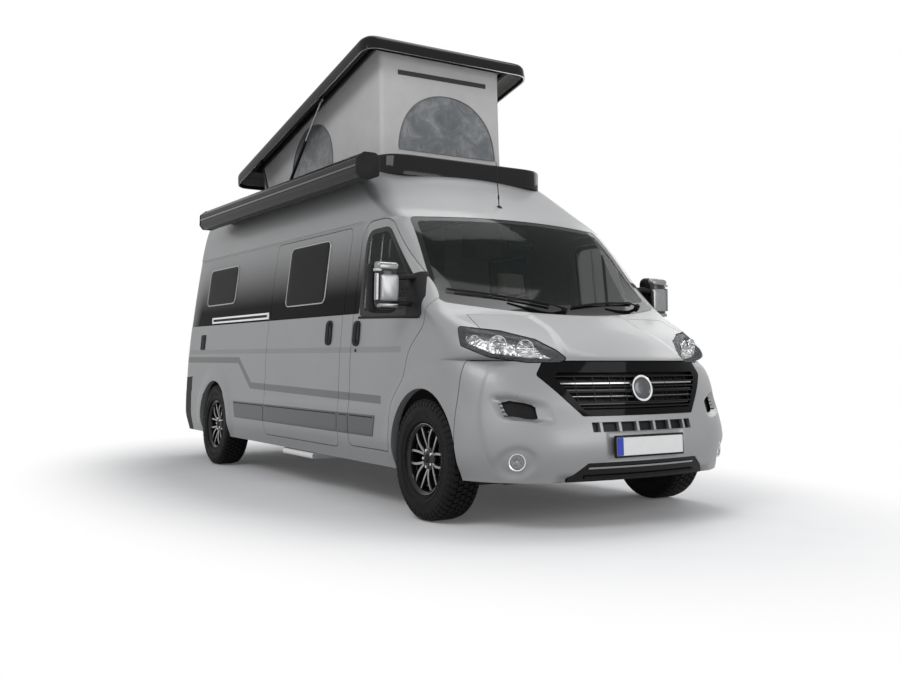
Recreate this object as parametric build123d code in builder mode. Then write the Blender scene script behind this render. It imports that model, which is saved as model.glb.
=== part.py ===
from build123d import *
import os
from math import atan2, cos, degrees, hypot, pi, radians, sin, sqrt

# Camper van: a long high-roof panel van with a rear-hinged lifting roof.
# Frame: +X forward, +Y to the van's left, +Z up; the origin is on the floor, mid-length. Millimetres.

os.makedirs("parts", exist_ok=True)

# ---------- overall sizes ----------
LENGTH = 5998.0
BODY_WIDTH = 2040.0
MIRROR_SPAN = 2508.0
WHEELBASE = 4035.0
FRONT_OVERHANG = 948.0
FRONT_TRACK = 1810.0
REAR_TRACK = 1790.0
ROOF_Z = 2470.0

NOSE_X = LENGTH / 2
TAIL_X = -LENGTH / 2
HALF_WIDTH = BODY_WIDTH / 2
FRONT_AXLE_X = NOSE_X - FRONT_OVERHANG
REAR_AXLE_X = FRONT_AXLE_X - WHEELBASE

# ---------- body shell ----------
WALL = 50.0            # a double-skinned wall or door, outer to inner face
ROOF_WALL = 40.0
FLOOR_Z = 560.0        # load floor
FLOOR_THICK = 45.0
PANEL_GAP = 6.0        # gap round a fixed panel
DOOR_GAP = 9.0         # gap round a hinged door
GLASS_FIT = 0.3        # glass to the panel that carries it
TRIM_GAP = 0.5         # round the grille
GLASS_THICK = 7.0
GLASS_INSET = 4.0
TAIL_CORNER = 150.0

# One row per level of the body: height, how far the nose and tail stand back, how far each side
# tucks in, the radius of the nose in plan and the radius of its corners.
#    z     nose  tail  tuck  nose_r  corner_r
LEVELS = [
    (280, 45, 40, 40, 2400, 600),
    (470, 0, 0, 5, 2400, 600),
    (720, 55, 8, 0, 1800, 580),
    (975, 102, 12, 8, 1200, 450),
    (1130, 385, 18, 16, 3000, 330),
    (1300, 750, 24, 28, 3000, 130),
    (1970, 1425, 50, 95, 2600, 150),
    (2120, 1660, 60, 115, 2600, 190),
    (2290, 1920, 80, 150, 2600, 240),
    (2400, 2080, 110, 205, 2600, 300),
    (ROOF_Z, 2250, 160, 300, 2600, 380),
]
NOSE_BANDS = ((0, 4), (3, 6))   # rows of the nose that run smoothly, with a crease between the two
BELT_Z = 975.0
RAIN_LINE_Z = 1965.0


def plan_section(row, inset):
    """The body's outline at one level, drawn in by inset."""
    z, nose_back, tail_back, tuck, nose_radius, corner_radius = row
    half = HALF_WIDTH - tuck - inset
    nose = NOSE_X - nose_back - inset
    tail = TAIL_X + tail_back + inset
    corner = max(corner_radius - inset, 40.0)
    rear_corner = max(TAIL_CORNER - inset, 40.0)
    nose_centre = nose - nose_radius
    corner_x = nose_centre + sqrt((nose_radius - corner) ** 2 - (half - corner) ** 2)
    meet = atan2(half - corner, corner_x - nose_centre)
    middle = (meet + pi / 2) / 2
    right = [
        (tail, -(half - rear_corner)),
        (tail + rear_corner * (1 - cos(pi / 4)), -(half - rear_corner * (1 - sin(pi / 4)))),
        (tail + rear_corner, -half),
        (corner_x, -half),
        (corner_x + corner * cos(middle), -(half - corner + corner * sin(middle))),
        (nose_centre + nose_radius * cos(meet), -nose_radius * sin(meet)),
    ]
    left = [(x, -y) for x, y in right]
    with BuildSketch(Plane.XY.offset(z)) as outline:
        with BuildLine():
            Line(left[0], right[0])
            ThreePointArc(*right[0:3])
            Line(right[2], right[3])
            ThreePointArc(*right[3:6])
            ThreePointArc(right[5], (nose, 0), left[5])
            ThreePointArc(*left[5:2:-1])
            Line(left[3], left[2])
            ThreePointArc(*left[2::-1])
        make_face()
    return outline.sketch


def body_form(inset=0.0):
    """The whole body as one solid of straight bands, drawn in by inset all round (not top and bottom)."""
    with BuildPart() as form:
        loft([plan_section(row, inset) for row in LEVELS], ruled=True)
    return form.part


def nose_form(inset=0.0):
    """The lower body up to the windscreen's foot, with the nose curved smoothly from level to level."""
    with BuildPart() as form:
        for first, last in NOSE_BANDS:
            loft([plan_section(row, inset) for row in LEVELS[first:last]])
    return form.part


def block(x, y, z):
    """A plain box between two X, two Y and two Z values."""
    with BuildPart() as solid:
        with Locations(((x[0] + x[1]) / 2, (y[0] + y[1]) / 2, (z[0] + z[1]) / 2)):
            Box(abs(x[1] - x[0]), abs(y[1] - y[0]), abs(z[1] - z[0]))
    return solid.part


def polygon_face(plane, points, radius=0.0, grow=0.0):
    """A closed outline on a plane, its corners rounded, then grown or shrunk."""
    with BuildSketch(plane) as face:
        with BuildLine():
            Polyline(*points, close=True)
        make_face()
        if radius:
            fillet(face.vertices(), radius)
        if grow:
            offset(amount=grow, kind=Kind.ARC)
    return face.sketch


def rounded_face(plane, across, up, radius, grow=0.0):
    """A rounded rectangle on a plane, between two values across and two up."""
    with BuildSketch(plane) as face:
        with Locations(((across[0] + across[1]) / 2, (up[0] + up[1]) / 2)):
            RectangleRounded(across[1] - across[0] + 2 * grow, up[1] - up[0] + 2 * grow, radius + grow)
    return face.sketch


def prism(face, amount, both=False):
    with BuildPart() as solid:
        extrude(face, amount=amount, both=both)
    return solid.part


def side_prism(face, side):
    """A side-view outline, drawn on Plane.XZ, run out through one side of the body (-1 is the right)."""
    return prism(face, -side * (HALF_WIDTH + 100))


def keep(part, *tools):
    """What part shares with every tool."""
    with BuildPart() as solid:
        add(part)
        for tool in tools:
            add(tool, mode=Mode.INTERSECT)
    return solid.part


def cut(part, *tools):
    """Part less every tool."""
    with BuildPart() as solid:
        add(part)
        for tool in tools:
            add(tool, mode=Mode.SUBTRACT)
    return solid.part


def join(*parts):
    with BuildPart() as solid:
        for part in parts:
            add(part)
    return solid.part


def largest(part):
    """The biggest solid of a cut piece, without its offcuts."""
    return part.solids().sort_by(SortBy.VOLUME)[-1]


def rounded_block(x, y, z, radius):
    """A plain box with every edge rounded."""
    with BuildPart() as solid:
        add(block(x, y, z))
        fillet(solid.edges(), radius)
    return solid.part


def cushion(points, corner, y, edge):
    """A padded form: its side view with rounded corners, run between two Y values, its rims rounded."""
    with BuildPart() as solid:
        with BuildSketch(Plane.XZ.offset(-y[1])) as view:
            with BuildLine():
                Polyline(*points, close=True)
            make_face()
            fillet(view.vertices(), corner)
        extrude(amount=y[1] - y[0])
        rims = solid.faces().filter_by(Axis.Y).edges()
        fillet(rims, edge)
    return solid.part


def finish(part, name):
    """Labels a finished piece and writes it."""
    part.label = name
    export_step(part, f"parts/{name}.step")


def finish_pair(right_part, name):
    """Writes a piece of the right side and its mirror image on the left."""
    finish(right_part, f"{name}_right")
    finish(mirror(right_part, Plane.XZ), f"{name}_left")


SIDES = {"right": -1, "left": 1}
FAR = LENGTH           # longer than anything that has to be cut through

outer = body_form()
inner = keep(body_form(WALL), block((-FAR, FAR), (-FAR, FAR), (0, ROOF_Z - ROOF_WALL)))
skin = cut(outer, inner)
glass_skin = cut(body_form(GLASS_INSET), body_form(GLASS_INSET + GLASS_THICK))
nose_zone = block((NOSE_X - 850, FAR), (-FAR, FAR), (0, 1300))
nose_skin = cut(keep(nose_form(), nose_zone), nose_form(WALL))

# ---------- wheels ----------
TYRE_R = 372.0
TYRE_WIDTH = 225.0
RIM_R = 203.0
RIM_WIDTH = 190.0
RIM_LIP = 13.0         # width of the rim's flange
BEAD_HALF = RIM_WIDTH / 2 - RIM_LIP - 0.3
HUB_BORE_R = 32.0
SPOKES = 6             # each spoke is a V of two arms
WINDOW_R = 180.0
# the windows inside and between the Vs: turn in degrees, inner radius, half widths at that radius and at WINDOW_R
WHEEL_WINDOWS = [
    (0, 96, 5, 48),
    (30, 80, 15, 20),
]
RUNNING_GAP = 0.3
ARCH_R = 400.0
ARCH_RISE = 30.0       # the arch's centre above the wheel's
REAR_ARCH_R = 392.0
REAR_ARCH_RISE = 10.0
WHEELHOUSE_R = 450.0
WHEELHOUSE_INNER_Y = 560.0

# ---------- openings in the body ----------
# front door, in side view: the rear edge, the roof rail, the windscreen pillar, then the wing and arch
DOOR_REAR_X = FRONT_AXLE_X - 1066
DOOR_FRONT_X = FRONT_AXLE_X - 25
DOOR_BOTTOM_Z = 385.0
DOOR_TOP_Z = 1955.0
DOOR_OUTLINE = [
    (DOOR_REAR_X, DOOR_BOTTOM_Z),
    (DOOR_REAR_X, DOOR_TOP_Z),
    (DOOR_FRONT_X - 640, DOOR_TOP_Z),
    (DOOR_FRONT_X, 1360),
    (DOOR_FRONT_X, 1200),
    (DOOR_FRONT_X - 190, 1040),
    (DOOR_FRONT_X - 235, 860),
    (DOOR_FRONT_X - 395, 700),
    (DOOR_FRONT_X - 420, DOOR_BOTTOM_Z),
]
DOOR_WINDOW_OUTLINE = [
    (DOOR_REAR_X + 75, 1270),
    (DOOR_REAR_X + 75, 1895),
    (DOOR_FRONT_X - 620, 1895),
    (DOOR_FRONT_X - 75, 1380),
    (DOOR_FRONT_X - 40, 1235),
]
DOOR_CORNER = 45.0
PANE_CORNER = 35.0

SLIDE_DOOR_REAR_X = DOOR_REAR_X - 1660
SLIDE_DOOR_FRONT_X = DOOR_REAR_X - 185
SLIDE_DOOR_Z = (360.0, 1940.0)

STEP_X = (SLIDE_DOOR_REAR_X + 350, SLIDE_DOOR_REAR_X + 950)
STEP_Y = (-975.0, -720.0)
STEP_Z = (225.0, 275.0)

REAR_DOOR_HALF = 790.0
REAR_DOOR_Z = (530.0, 2240.0)

# fixed side windows: side, rear edge and front edge from the rear axle, sill and head heights
#                     name         side     x0     x1     z0     z1
SIDE_WINDOWS = [
    ("rear_right", -1, -435.0, 340.0, 1510.0, 1825.0),
    ("door_right", -1, 1650.0, 2400.0, 1420.0, 1865.0),
    ("rear_left", 1, -435.0, 340.0, 1510.0, 1825.0),
    ("lounge_left", 1, 1650.0, 2400.0, 1420.0, 1865.0),
]
WINDOW_CORNER = 45.0
WINDOW_FRAME = 22.0    # the frame laps the panel by this much
WINDOW_PROUD = 7.0


def arch_cutter(axle_x, radius, rise, depth_from, depth_to):
    """A round-topped arch with straight legs, cut across both sides between two distances from mid-plane."""
    with BuildSketch(Plane.XZ) as face:
        with Locations((axle_x, TYRE_R + rise)):
            Circle(radius)
        with Locations((axle_x, (TYRE_R + rise) / 2)):
            Rectangle(2 * radius, TYRE_R + rise)
    across = prism(face.sketch, depth_to, both=True)
    return cut(across, block((-FAR, FAR), (-depth_from, depth_from), (0, FAR)))


front_arch = arch_cutter(FRONT_AXLE_X, ARCH_R, ARCH_RISE, WHEELHOUSE_INNER_Y, HALF_WIDTH + 50)
rear_arch = arch_cutter(REAR_AXLE_X, REAR_ARCH_R, REAR_ARCH_RISE, WHEELHOUSE_INNER_Y, HALF_WIDTH + 50)
front_house = arch_cutter(FRONT_AXLE_X, WHEELHOUSE_R, ARCH_RISE, WHEELHOUSE_INNER_Y, HALF_WIDTH - WALL)
rear_house = arch_cutter(REAR_AXLE_X, WHEELHOUSE_R, REAR_ARCH_RISE, WHEELHOUSE_INNER_Y, HALF_WIDTH - WALL)

# front view outlines
WINDSCREEN_OUTLINE = [(-900, 1345), (-815, 1962), (815, 1962), (900, 1345)]
WINDSCREEN_SILL_Z = 1268.0
WINDSCREEN_HEAD_Z = 1985.0
GRILLE_OUTLINE = [(-430, 652), (-655, 890), (-600, BELT_Z - 4), (600, BELT_Z - 4), (655, 890), (430, 652)]
BUMPER_REAR_X = NOSE_X - 555
# headlight, seen square to the body's corner: distance from its outer tip, then height
HEADLIGHT_OUTLINE = [
    (0, 1180), (250, 1152), (464, 1100), (598, 1035), (668, 985),
    (630, 964), (440, 964), (230, 992), (45, 1062),
]
HEADLIGHT_TIP = (NOSE_X - 640, HALF_WIDTH - 55)
BONNET_HALF_REAR = 800.0


def windscreen_face(grow=0.0):
    with BuildSketch(Plane.YZ) as face:
        with BuildLine():
            Line(WINDSCREEN_OUTLINE[0], WINDSCREEN_OUTLINE[1])
            ThreePointArc(WINDSCREEN_OUTLINE[1], (0, WINDSCREEN_HEAD_Z), WINDSCREEN_OUTLINE[2])
            Line(WINDSCREEN_OUTLINE[2], WINDSCREEN_OUTLINE[3])
            ThreePointArc(WINDSCREEN_OUTLINE[3], (0, WINDSCREEN_SILL_Z), WINDSCREEN_OUTLINE[0])
        make_face()
        fillet(face.vertices(), 55)
        if grow:
            offset(amount=grow, kind=Kind.ARC)
    return face.sketch


def forward_prism(face):
    """A front-view outline run forward from behind the windscreen."""
    return Pos(1000, 0, 0) * prism(face, FAR)


def bonnet_face(grow=0.0):
    """The bonnet in plan: an arc along the cowl, swept shoulders, and a front edge beyond the nose."""
    rear, shoulder, waist, front = (
        (NOSE_X - 780, BONNET_HALF_REAR), (NOSE_X - 520, 835), (NOSE_X - 330, 725), (NOSE_X - 215, 520))
    with BuildSketch(Plane.XY) as face:
        with BuildLine():
            ThreePointArc((rear[0], -rear[1]), (NOSE_X - 665, 0), rear)
            Polyline(rear, shoulder, waist, front, (NOSE_X + 50, front[1] - 10))
            Line((NOSE_X + 50, front[1] - 10), (NOSE_X + 50, -(front[1] - 10)))
            Polyline((NOSE_X + 50, -(front[1] - 10)), (front[0], -front[1]), (waist[0], -waist[1]),
                     (shoulder[0], -shoulder[1]), (rear[0], -rear[1]))
        make_face()
        if grow:
            offset(amount=grow, kind=Kind.ARC)
    return face.sketch


def bonnet_prism(grow=0.0):
    return Pos(0, 0, BELT_Z - grow) * prism(bonnet_face(grow), 500)


def headlight_prism(side, grow=0.0):
    """The headlight's outline on a plane square to the body's corner, run out through the skin."""
    diagonal = sqrt(0.5)
    inside = 250 * diagonal
    corner_plane = Plane(
        origin=(HEADLIGHT_TIP[0] - inside, side * (HEADLIGHT_TIP[1] - inside), 0),
        x_dir=(-side * diagonal, diagonal, 0),
        z_dir=(diagonal, side * diagonal, 0),
    )
    points = [(-side * u, z) for u, z in HEADLIGHT_OUTLINE]
    return prism(polygon_face(corner_plane, points, 15, grow), 600)


# ---------- doors ----------
HANDLE_WIDTH = 110.0
HANDLE_PROUD = 16.0    # beyond the skin at the handle's foot


def handle_pod(x, z_low, z_high):
    """An upright pull handle on the right side, let into the door's skin."""
    skin_y = HALF_WIDTH - LEVELS[4][3]
    return rounded_block((x, x + HANDLE_WIDTH), (-skin_y - HANDLE_PROUD, -skin_y + WALL / 2), (z_low, z_high), 14)


door_opening = side_prism(polygon_face(Plane.XZ, DOOR_OUTLINE, DOOR_CORNER, DOOR_GAP), -1)
door_prism = side_prism(polygon_face(Plane.XZ, DOOR_OUTLINE, DOOR_CORNER), -1)
pane_hole = side_prism(polygon_face(Plane.XZ, DOOR_WINDOW_OUTLINE, PANE_CORNER), -1)
pane_prism = side_prism(polygon_face(Plane.XZ, DOOR_WINDOW_OUTLINE, PANE_CORNER, -GLASS_FIT), -1)
front_handle = handle_pod(DOOR_REAR_X + 20, 1070, 1250)
finish_pair(join(cut(keep(skin, door_prism), pane_hole, front_arch), front_handle), "front_door")
finish_pair(keep(glass_skin, pane_prism), "door_window")
door_openings = [door_opening, mirror(door_opening, Plane.XZ)]

# sliding door, with its window opening
slide_door_face = rounded_face(Plane.XZ, (SLIDE_DOOR_REAR_X, SLIDE_DOOR_FRONT_X), SLIDE_DOOR_Z, 60)
slide_opening = side_prism(
    rounded_face(Plane.XZ, (SLIDE_DOOR_REAR_X, SLIDE_DOOR_FRONT_X), SLIDE_DOOR_Z, 60, PANEL_GAP), -1)
window_holes = []
window_parts = []
proud_skin = cut(body_form(-WINDOW_PROUD), body_form(0.0))
plug_skin = cut(body_form(-WINDOW_PROUD), body_form(20.0))
for _, side, x0, x1, z0, z1 in SIDE_WINDOWS:
    across, up = (REAR_AXLE_X + x0, REAR_AXLE_X + x1), (z0, z1)
    window_holes.append(side_prism(rounded_face(Plane.XZ, across, up, WINDOW_CORNER), side))
    plug = keep(plug_skin, side_prism(rounded_face(Plane.XZ, across, up, WINDOW_CORNER, -GLASS_FIT), side))
    lap = keep(proud_skin, side_prism(rounded_face(Plane.XZ, across, up, WINDOW_CORNER, WINDOW_FRAME), side))
    window_parts += [plug, lap]
slide_handle = handle_pod(SLIDE_DOOR_FRONT_X - 270, 1080, 1265)
finish(join(cut(keep(skin, side_prism(slide_door_face, -1)), *window_holes), slide_handle), "sliding_door")
finish(join(*window_parts), "side_windows")

# rear doors, each with a window
TAIL_DEPTH = 320.0
REAR_WINDOW = (130.0, 690.0)
REAR_WINDOW_Z = (1430.0, 1950.0)


def tail_prism(face):
    """A rear-view outline, drawn on Plane.YZ, run through the tail only."""
    return Pos(TAIL_X - 50, 0, 0) * prism(face, TAIL_DEPTH)


tail_slab = block((TAIL_X - 50, TAIL_X + 220), (-FAR, FAR), (0, FAR))
leaf_face = rounded_face(Plane.YZ, (-REAR_DOOR_HALF, -PANEL_GAP / 2), REAR_DOOR_Z, 5)
rear_pane = (-REAR_WINDOW[1], -REAR_WINDOW[0])
rear_pane_hole = tail_prism(rounded_face(Plane.YZ, rear_pane, REAR_WINDOW_Z, 50))
rear_pane_prism = tail_prism(rounded_face(Plane.YZ, rear_pane, REAR_WINDOW_Z, 50, -GLASS_FIT))
finish_pair(cut(keep(skin, tail_prism(leaf_face), tail_slab), rear_pane_hole), "rear_door")
finish_pair(keep(glass_skin, rear_pane_prism), "rear_window")
rear_opening = tail_prism(rounded_face(
    Plane.YZ, (-REAR_DOOR_HALF - DOOR_GAP, REAR_DOOR_HALF + DOOR_GAP),
    (REAR_DOOR_Z[0] - DOOR_GAP, REAR_DOOR_Z[1] + DOOR_GAP), 8))

# ---------- bonnet, grille, lamps, bumpers, windscreen ----------
bonnet_zone = keep(nose_skin, bonnet_prism())
windscreen_opening = forward_prism(windscreen_face())
grille_prism = forward_prism(polygon_face(Plane.YZ, GRILLE_OUTLINE, 20))
headlight_gaps = [headlight_prism(side, PANEL_GAP) for side in SIDES.values()]
finish(largest(cut(bonnet_zone, windscreen_opening, *headlight_gaps)), "bonnet")
finish(keep(glass_skin, forward_prism(windscreen_face(-GLASS_FIT))), "windscreen")

headlight_cutters = [headlight_prism(side) for side in SIDES.values()]
lamps = [keep(nose_skin, tool) for tool in headlight_cutters]
finish(join(*lamps), "headlights")

GRILLE_DEPTH = 30.0
GRILLE_BARS = 5
GRILLE_FRAME = 38.0    # width of the surround
EMBLEM_R = 82.0        # the round blank in the middle
EMBLEM_X = (NOSE_X - 130, NOSE_X - 62)
EMBLEM_Z = 812.0
GRILLE_Z = (GRILLE_OUTLINE[0][1], BELT_Z - 4)
bar_pitch = (GRILLE_Z[1] - GRILLE_Z[0]) / (GRILLE_BARS + 1)
bar_levels = [GRILLE_Z[0] + number * bar_pitch for number in range(1, GRILLE_BARS + 1)]
bars = join(*[block((0, FAR), (-FAR, FAR), (level - 7, level + 7)) for level in bar_levels])
grille_cavity = nose_form(GRILLE_DEPTH)
grille_inside = forward_prism(polygon_face(Plane.YZ, GRILLE_OUTLINE, 20, -GRILLE_FRAME))
grille_form = forward_prism(polygon_face(Plane.YZ, GRILLE_OUTLINE, 20, -TRIM_GAP))
surround = cut(keep(nose_skin, grille_form), grille_inside)
grille_back = keep(cut(grille_cavity, nose_form(WALL)), grille_form)
grille_front = keep(cut(nose_form(8), grille_cavity), grille_form, bars)
with BuildPart() as emblem:
    with BuildSketch(Plane.YZ.offset(EMBLEM_X[0])):
        with Locations((0, EMBLEM_Z)):
            Circle(EMBLEM_R)
    extrude(amount=EMBLEM_X[1] - EMBLEM_X[0])
    fillet(emblem.faces().sort_by(Axis.X)[-1].edges(), 8)
finish(cut(join(grille_back, surround, grille_front, emblem.part), *headlight_gaps), "grille")

bumper_zone = block((BUMPER_REAR_X, FAR), (-FAR, FAR), (0, BELT_Z - PANEL_GAP))
SLOT_Z = (568.0, 616.0)
SLOT_HALF = 389.0
SLOT_RIBS = 6
SLOT_RIB = 18.0
slot_pitch = (2 * SLOT_HALF + SLOT_RIB) / (SLOT_RIBS + 1)
air_slots = []
for number in range(SLOT_RIBS + 1):
    start = -SLOT_HALF + number * slot_pitch
    air_slots.append(block((NOSE_X - 200, FAR), (start, start + slot_pitch - SLOT_RIB), SLOT_Z))
INSERT_OUTLINE = [(-530, 300), (-430, 388), (430, 388), (530, 300)]
INSERT_DEPTH = 12.0
insert_well = cut(forward_prism(polygon_face(Plane.YZ, INSERT_OUTLINE, 12)), nose_form(INSERT_DEPTH))
FOG_R = 52.0
FOG_PLACE = (NOSE_X - 232, 800.0, 400.0)
FOG_TURN = 30.0        # the fog lamp looks this far out to its side
fog_wells = [Pos(FOG_PLACE[0], side * FOG_PLACE[1], FOG_PLACE[2]) * Rot(0, 0, side * FOG_TURN) * Rot(0, 90, 0)
             * Pos(0, 0, 60) * Cylinder(FOG_R, 120) for side in SIDES.values()]
front_bumper = cut(keep(nose_skin, bumper_zone), grille_prism, *headlight_cutters, front_arch,
                   *air_slots, insert_well, *fog_wells)
finish(front_bumper, "front_bumper")

BUMPER_TOP_Z = 800.0
REAR_BUMPER_X = TAIL_X + 300
rear_bumper_zone = block((-FAR, REAR_BUMPER_X), (-FAR, FAR), (0, BUMPER_TOP_Z))
finish(cut(keep(skin, rear_bumper_zone), rear_opening), "rear_bumper")

LAMP_Y = (815.0, 925.0)
LAMP_Z = (1000.0, 1480.0)
tail_lamp_cutters = []
for side in SIDES.values():
    across = LAMP_Y if side > 0 else (-LAMP_Y[1], -LAMP_Y[0])
    tail_lamp_cutters.append(tail_prism(rounded_face(Plane.YZ, across, LAMP_Z, 30)))
tail_zone = block((-FAR, TAIL_X + 120), (-FAR, FAR), (0, FAR))
finish(join(*[keep(skin, tail_zone, tool) for tool in tail_lamp_cutters]), "tail_lights")

# ---------- fixed panels ----------
openings = door_openings + window_holes + [
    rear_opening, slide_opening, windscreen_opening, front_arch, rear_arch]
solid_fronts = [bonnet_prism(PANEL_GAP), grille_prism, bumper_zone, rear_bumper_zone] + headlight_cutters
tail_lamps = [keep(tail_zone, tool) for tool in tail_lamp_cutters]
fixed_skin = cut(skin, *openings, *solid_fronts, *tail_lamps)
WING_REAR_X = DOOR_REAR_X - DOOR_GAP
below_rain_line = block((-FAR, WING_REAR_X), (0, FAR), (0, RAIN_LINE_Z))
finish(keep(fixed_skin, below_rain_line), "side_wall_left")
SLIDE_RAIL_X = (SLIDE_DOOR_REAR_X - 1530, SLIDE_DOOR_REAR_X - 10)
SLIDE_RAIL_Z = (1312.0, 1372.0)
rail_y = HALF_WIDTH - LEVELS[5][3]
slide_rail = cut(rounded_block(SLIDE_RAIL_X, (-rail_y - 10, -rail_y + WALL / 2), SLIDE_RAIL_Z, 5),
                 block((SLIDE_RAIL_X[0] + 60, SLIDE_RAIL_X[1] - 10), (-FAR, -rail_y + 2),
                       (sum(SLIDE_RAIL_Z) / 2 - 8, sum(SLIDE_RAIL_Z) / 2 + 8)))
right_wall = keep(fixed_skin, block((-FAR, WING_REAR_X), (-FAR, 0), (0, RAIN_LINE_Z)))
finish(join(right_wall, slide_rail), "side_wall_right")
finish(keep(fixed_skin, block((WING_REAR_X, FAR), (-FAR, FAR), (0, RAIN_LINE_Z))), "front_wings")

# lifting roof, in its closed place first
HATCH_X = (FRONT_AXLE_X - 2500, FRONT_AXLE_X - 1450)
HATCH_HALF = 480.0
hatch = block(HATCH_X, (-HATCH_HALF, HATCH_HALF), (ROOF_Z - 200, ROOF_Z + 200))
finish(cut(keep(fixed_skin, block((-FAR, FAR), (-FAR, FAR), (RAIN_LINE_Z, FAR))), hatch), "high_roof")

# ---------- floor, rails and engine ----------
floor = keep(inner, block((TAIL_X, FRONT_AXLE_X + 150), (-FAR, FAR), (FLOOR_Z - FLOOR_THICK, FLOOR_Z)))
FIREWALL_X = FRONT_AXLE_X + 100
firewall = keep(inner, block((FIREWALL_X, FIREWALL_X + 50), (-FAR, FAR), (FLOOR_Z - FLOOR_THICK, 1180)))
RAIL_Y = 480.0
RAIL_WIDTH = 70.0
RAIL_Z = (430.0, FLOOR_Z - FLOOR_THICK)
rails = []
for side in SIDES.values():
    rails.append(block((TAIL_X + 120, NOSE_X - 260),
                       sorted((side * RAIL_Y, side * (RAIL_Y - RAIL_WIDTH))), RAIL_Z))
cross_members = [
    block((x, x + 80), (-RAIL_Y, RAIL_Y), (RAIL_Z[0] + 20, RAIL_Z[1]))
    for x in (TAIL_X + 120, REAR_AXLE_X + 700, 0.0, FRONT_AXLE_X - 700)
]
LOWER_ARM_Z = (195.0, 225.0)
subframe = [block((FRONT_AXLE_X - 130, FRONT_AXLE_X + 130), (-RAIL_Y, RAIL_Y), (LOWER_ARM_Z[0], RAIL_Z[0]))]
ARM_ROOT = (FRONT_AXLE_X - 210, FRONT_AXLE_X + 70)
BALL_JOINT = (FRONT_AXLE_X, 775.0)
BALL_JOINT_R = 26.0
with BuildPart() as lower_arm:
    with BuildSketch(Plane.XY.offset(LOWER_ARM_Z[0])):
        with BuildLine():
            Line((ARM_ROOT[0], RAIL_Y - 10), (ARM_ROOT[1], RAIL_Y - 10))
        with Locations(BALL_JOINT):
            Circle(BALL_JOINT_R)
        with Locations(((ARM_ROOT[0] + ARM_ROOT[1]) / 2, RAIL_Y - 5)):
            Rectangle(ARM_ROOT[1] - ARM_ROOT[0], 10)
        make_hull()
    extrude(amount=LOWER_ARM_Z[1] - LOWER_ARM_Z[0])
subframe += [lower_arm.part, mirror(lower_arm.part, Plane.XZ)]
RADIATOR_X = NOSE_X - 299
radiator_frame = cut(
    block((RADIATOR_X, RADIATOR_X + 40), (-RAIL_Y, RAIL_Y), (RAIL_Z[0], FAR)),
    block((0, FAR), (-RAIL_Y + RAIL_WIDTH, RAIL_Y - RAIL_WIDTH), (RAIL_Z[1] + 30, BELT_Z - 40)),
)
bonnet_seat = keep(radiator_frame, nose_form(WALL + RUNNING_GAP))
LINER = 10.0
liners = []
for axle_x, rise in ((FRONT_AXLE_X, ARCH_RISE), (REAR_AXLE_X, REAR_ARCH_RISE)):
    liner_form = arch_cutter(axle_x, WHEELHOUSE_R + LINER, rise, WHEELHOUSE_INNER_Y - LINER, HALF_WIDTH - WALL - 30)
    liners.append(keep(liner_form, inner, block((-FAR, FAR), (-FAR, FAR), (RAIL_Z[1], FAR))))
floor_pan = cut(join(floor, firewall, *liners), front_house, rear_house)
SILL_INNER_Y = HALF_WIDTH - LEVELS[0][3] - WALL
step_carrier = [block(STEP_X, (-SILL_INNER_Y + RUNNING_GAP, -RAIL_Y), (STEP_Z[1] + RUNNING_GAP, STEP_Z[1] + 25))]
for x in STEP_X:
    hanger_x = (x, x + 40) if x < sum(STEP_X) / 2 else (x - 40, x)
    step_carrier.append(block(hanger_x, (-RAIL_Y - 60, -RAIL_Y + RAIL_WIDTH / 2), (STEP_Z[1] + 20, RAIL_Z[1])))
AISLE_HALF = 405.0     # the floor covering between the furniture
COVERING = 6.0
SEAT_X = FRONT_AXLE_X - 960
aisle = block((SLIDE_DOOR_REAR_X - 230, SEAT_X), (-AISLE_HALF, AISLE_HALF), (FLOOR_Z - 1, FLOOR_Z + COVERING))
frame = join(floor_pan, aisle, *rails, *cross_members, *subframe, bonnet_seat, *step_carrier)
BAR_HOLE_R = 6.5
BAR_SPACING = (120.0, 40.0)
BAR_CENTRE = (TAIL_X + 320, (RAIL_Z[0] + RAIL_Z[1]) / 2)
with BuildPart() as bar_holes:
    with BuildSketch(Plane.XZ):
        with Locations(BAR_CENTRE):
            with GridLocations(*BAR_SPACING, 2, 2):
                Circle(BAR_HOLE_R)
    extrude(amount=RAIL_Y + 20, both=True)
finish(cut(frame, bar_holes.part), "floor_pan")

ENGINE_Z = (450.0, 900.0)
engine = block((FRONT_AXLE_X + 160, FRONT_AXLE_X + 640), (-400, 330), ENGINE_Z)
mount_half = RAIL_Y - RAIL_WIDTH - RUNNING_GAP
engine_mounts = block((FRONT_AXLE_X + 350, FRONT_AXLE_X + 450), (-mount_half, mount_half), (460, 510))
finish(join(engine, engine_mounts), "engine_block")

# ---------- axles and wheels ----------
STUB_R = HUB_BORE_R - RUNNING_GAP


def across_cylinder(x, z, y_from, y_to, radius):
    """A cylinder along Y between two Y values."""
    plane = Plane(origin=(x, y_from, z), x_dir=(1, 0, 0), z_dir=(0, 1, 0))
    with BuildPart() as solid:
        with BuildSketch(plane):
            Circle(radius)
        extrude(amount=y_to - y_from)
    return solid.part


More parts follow.
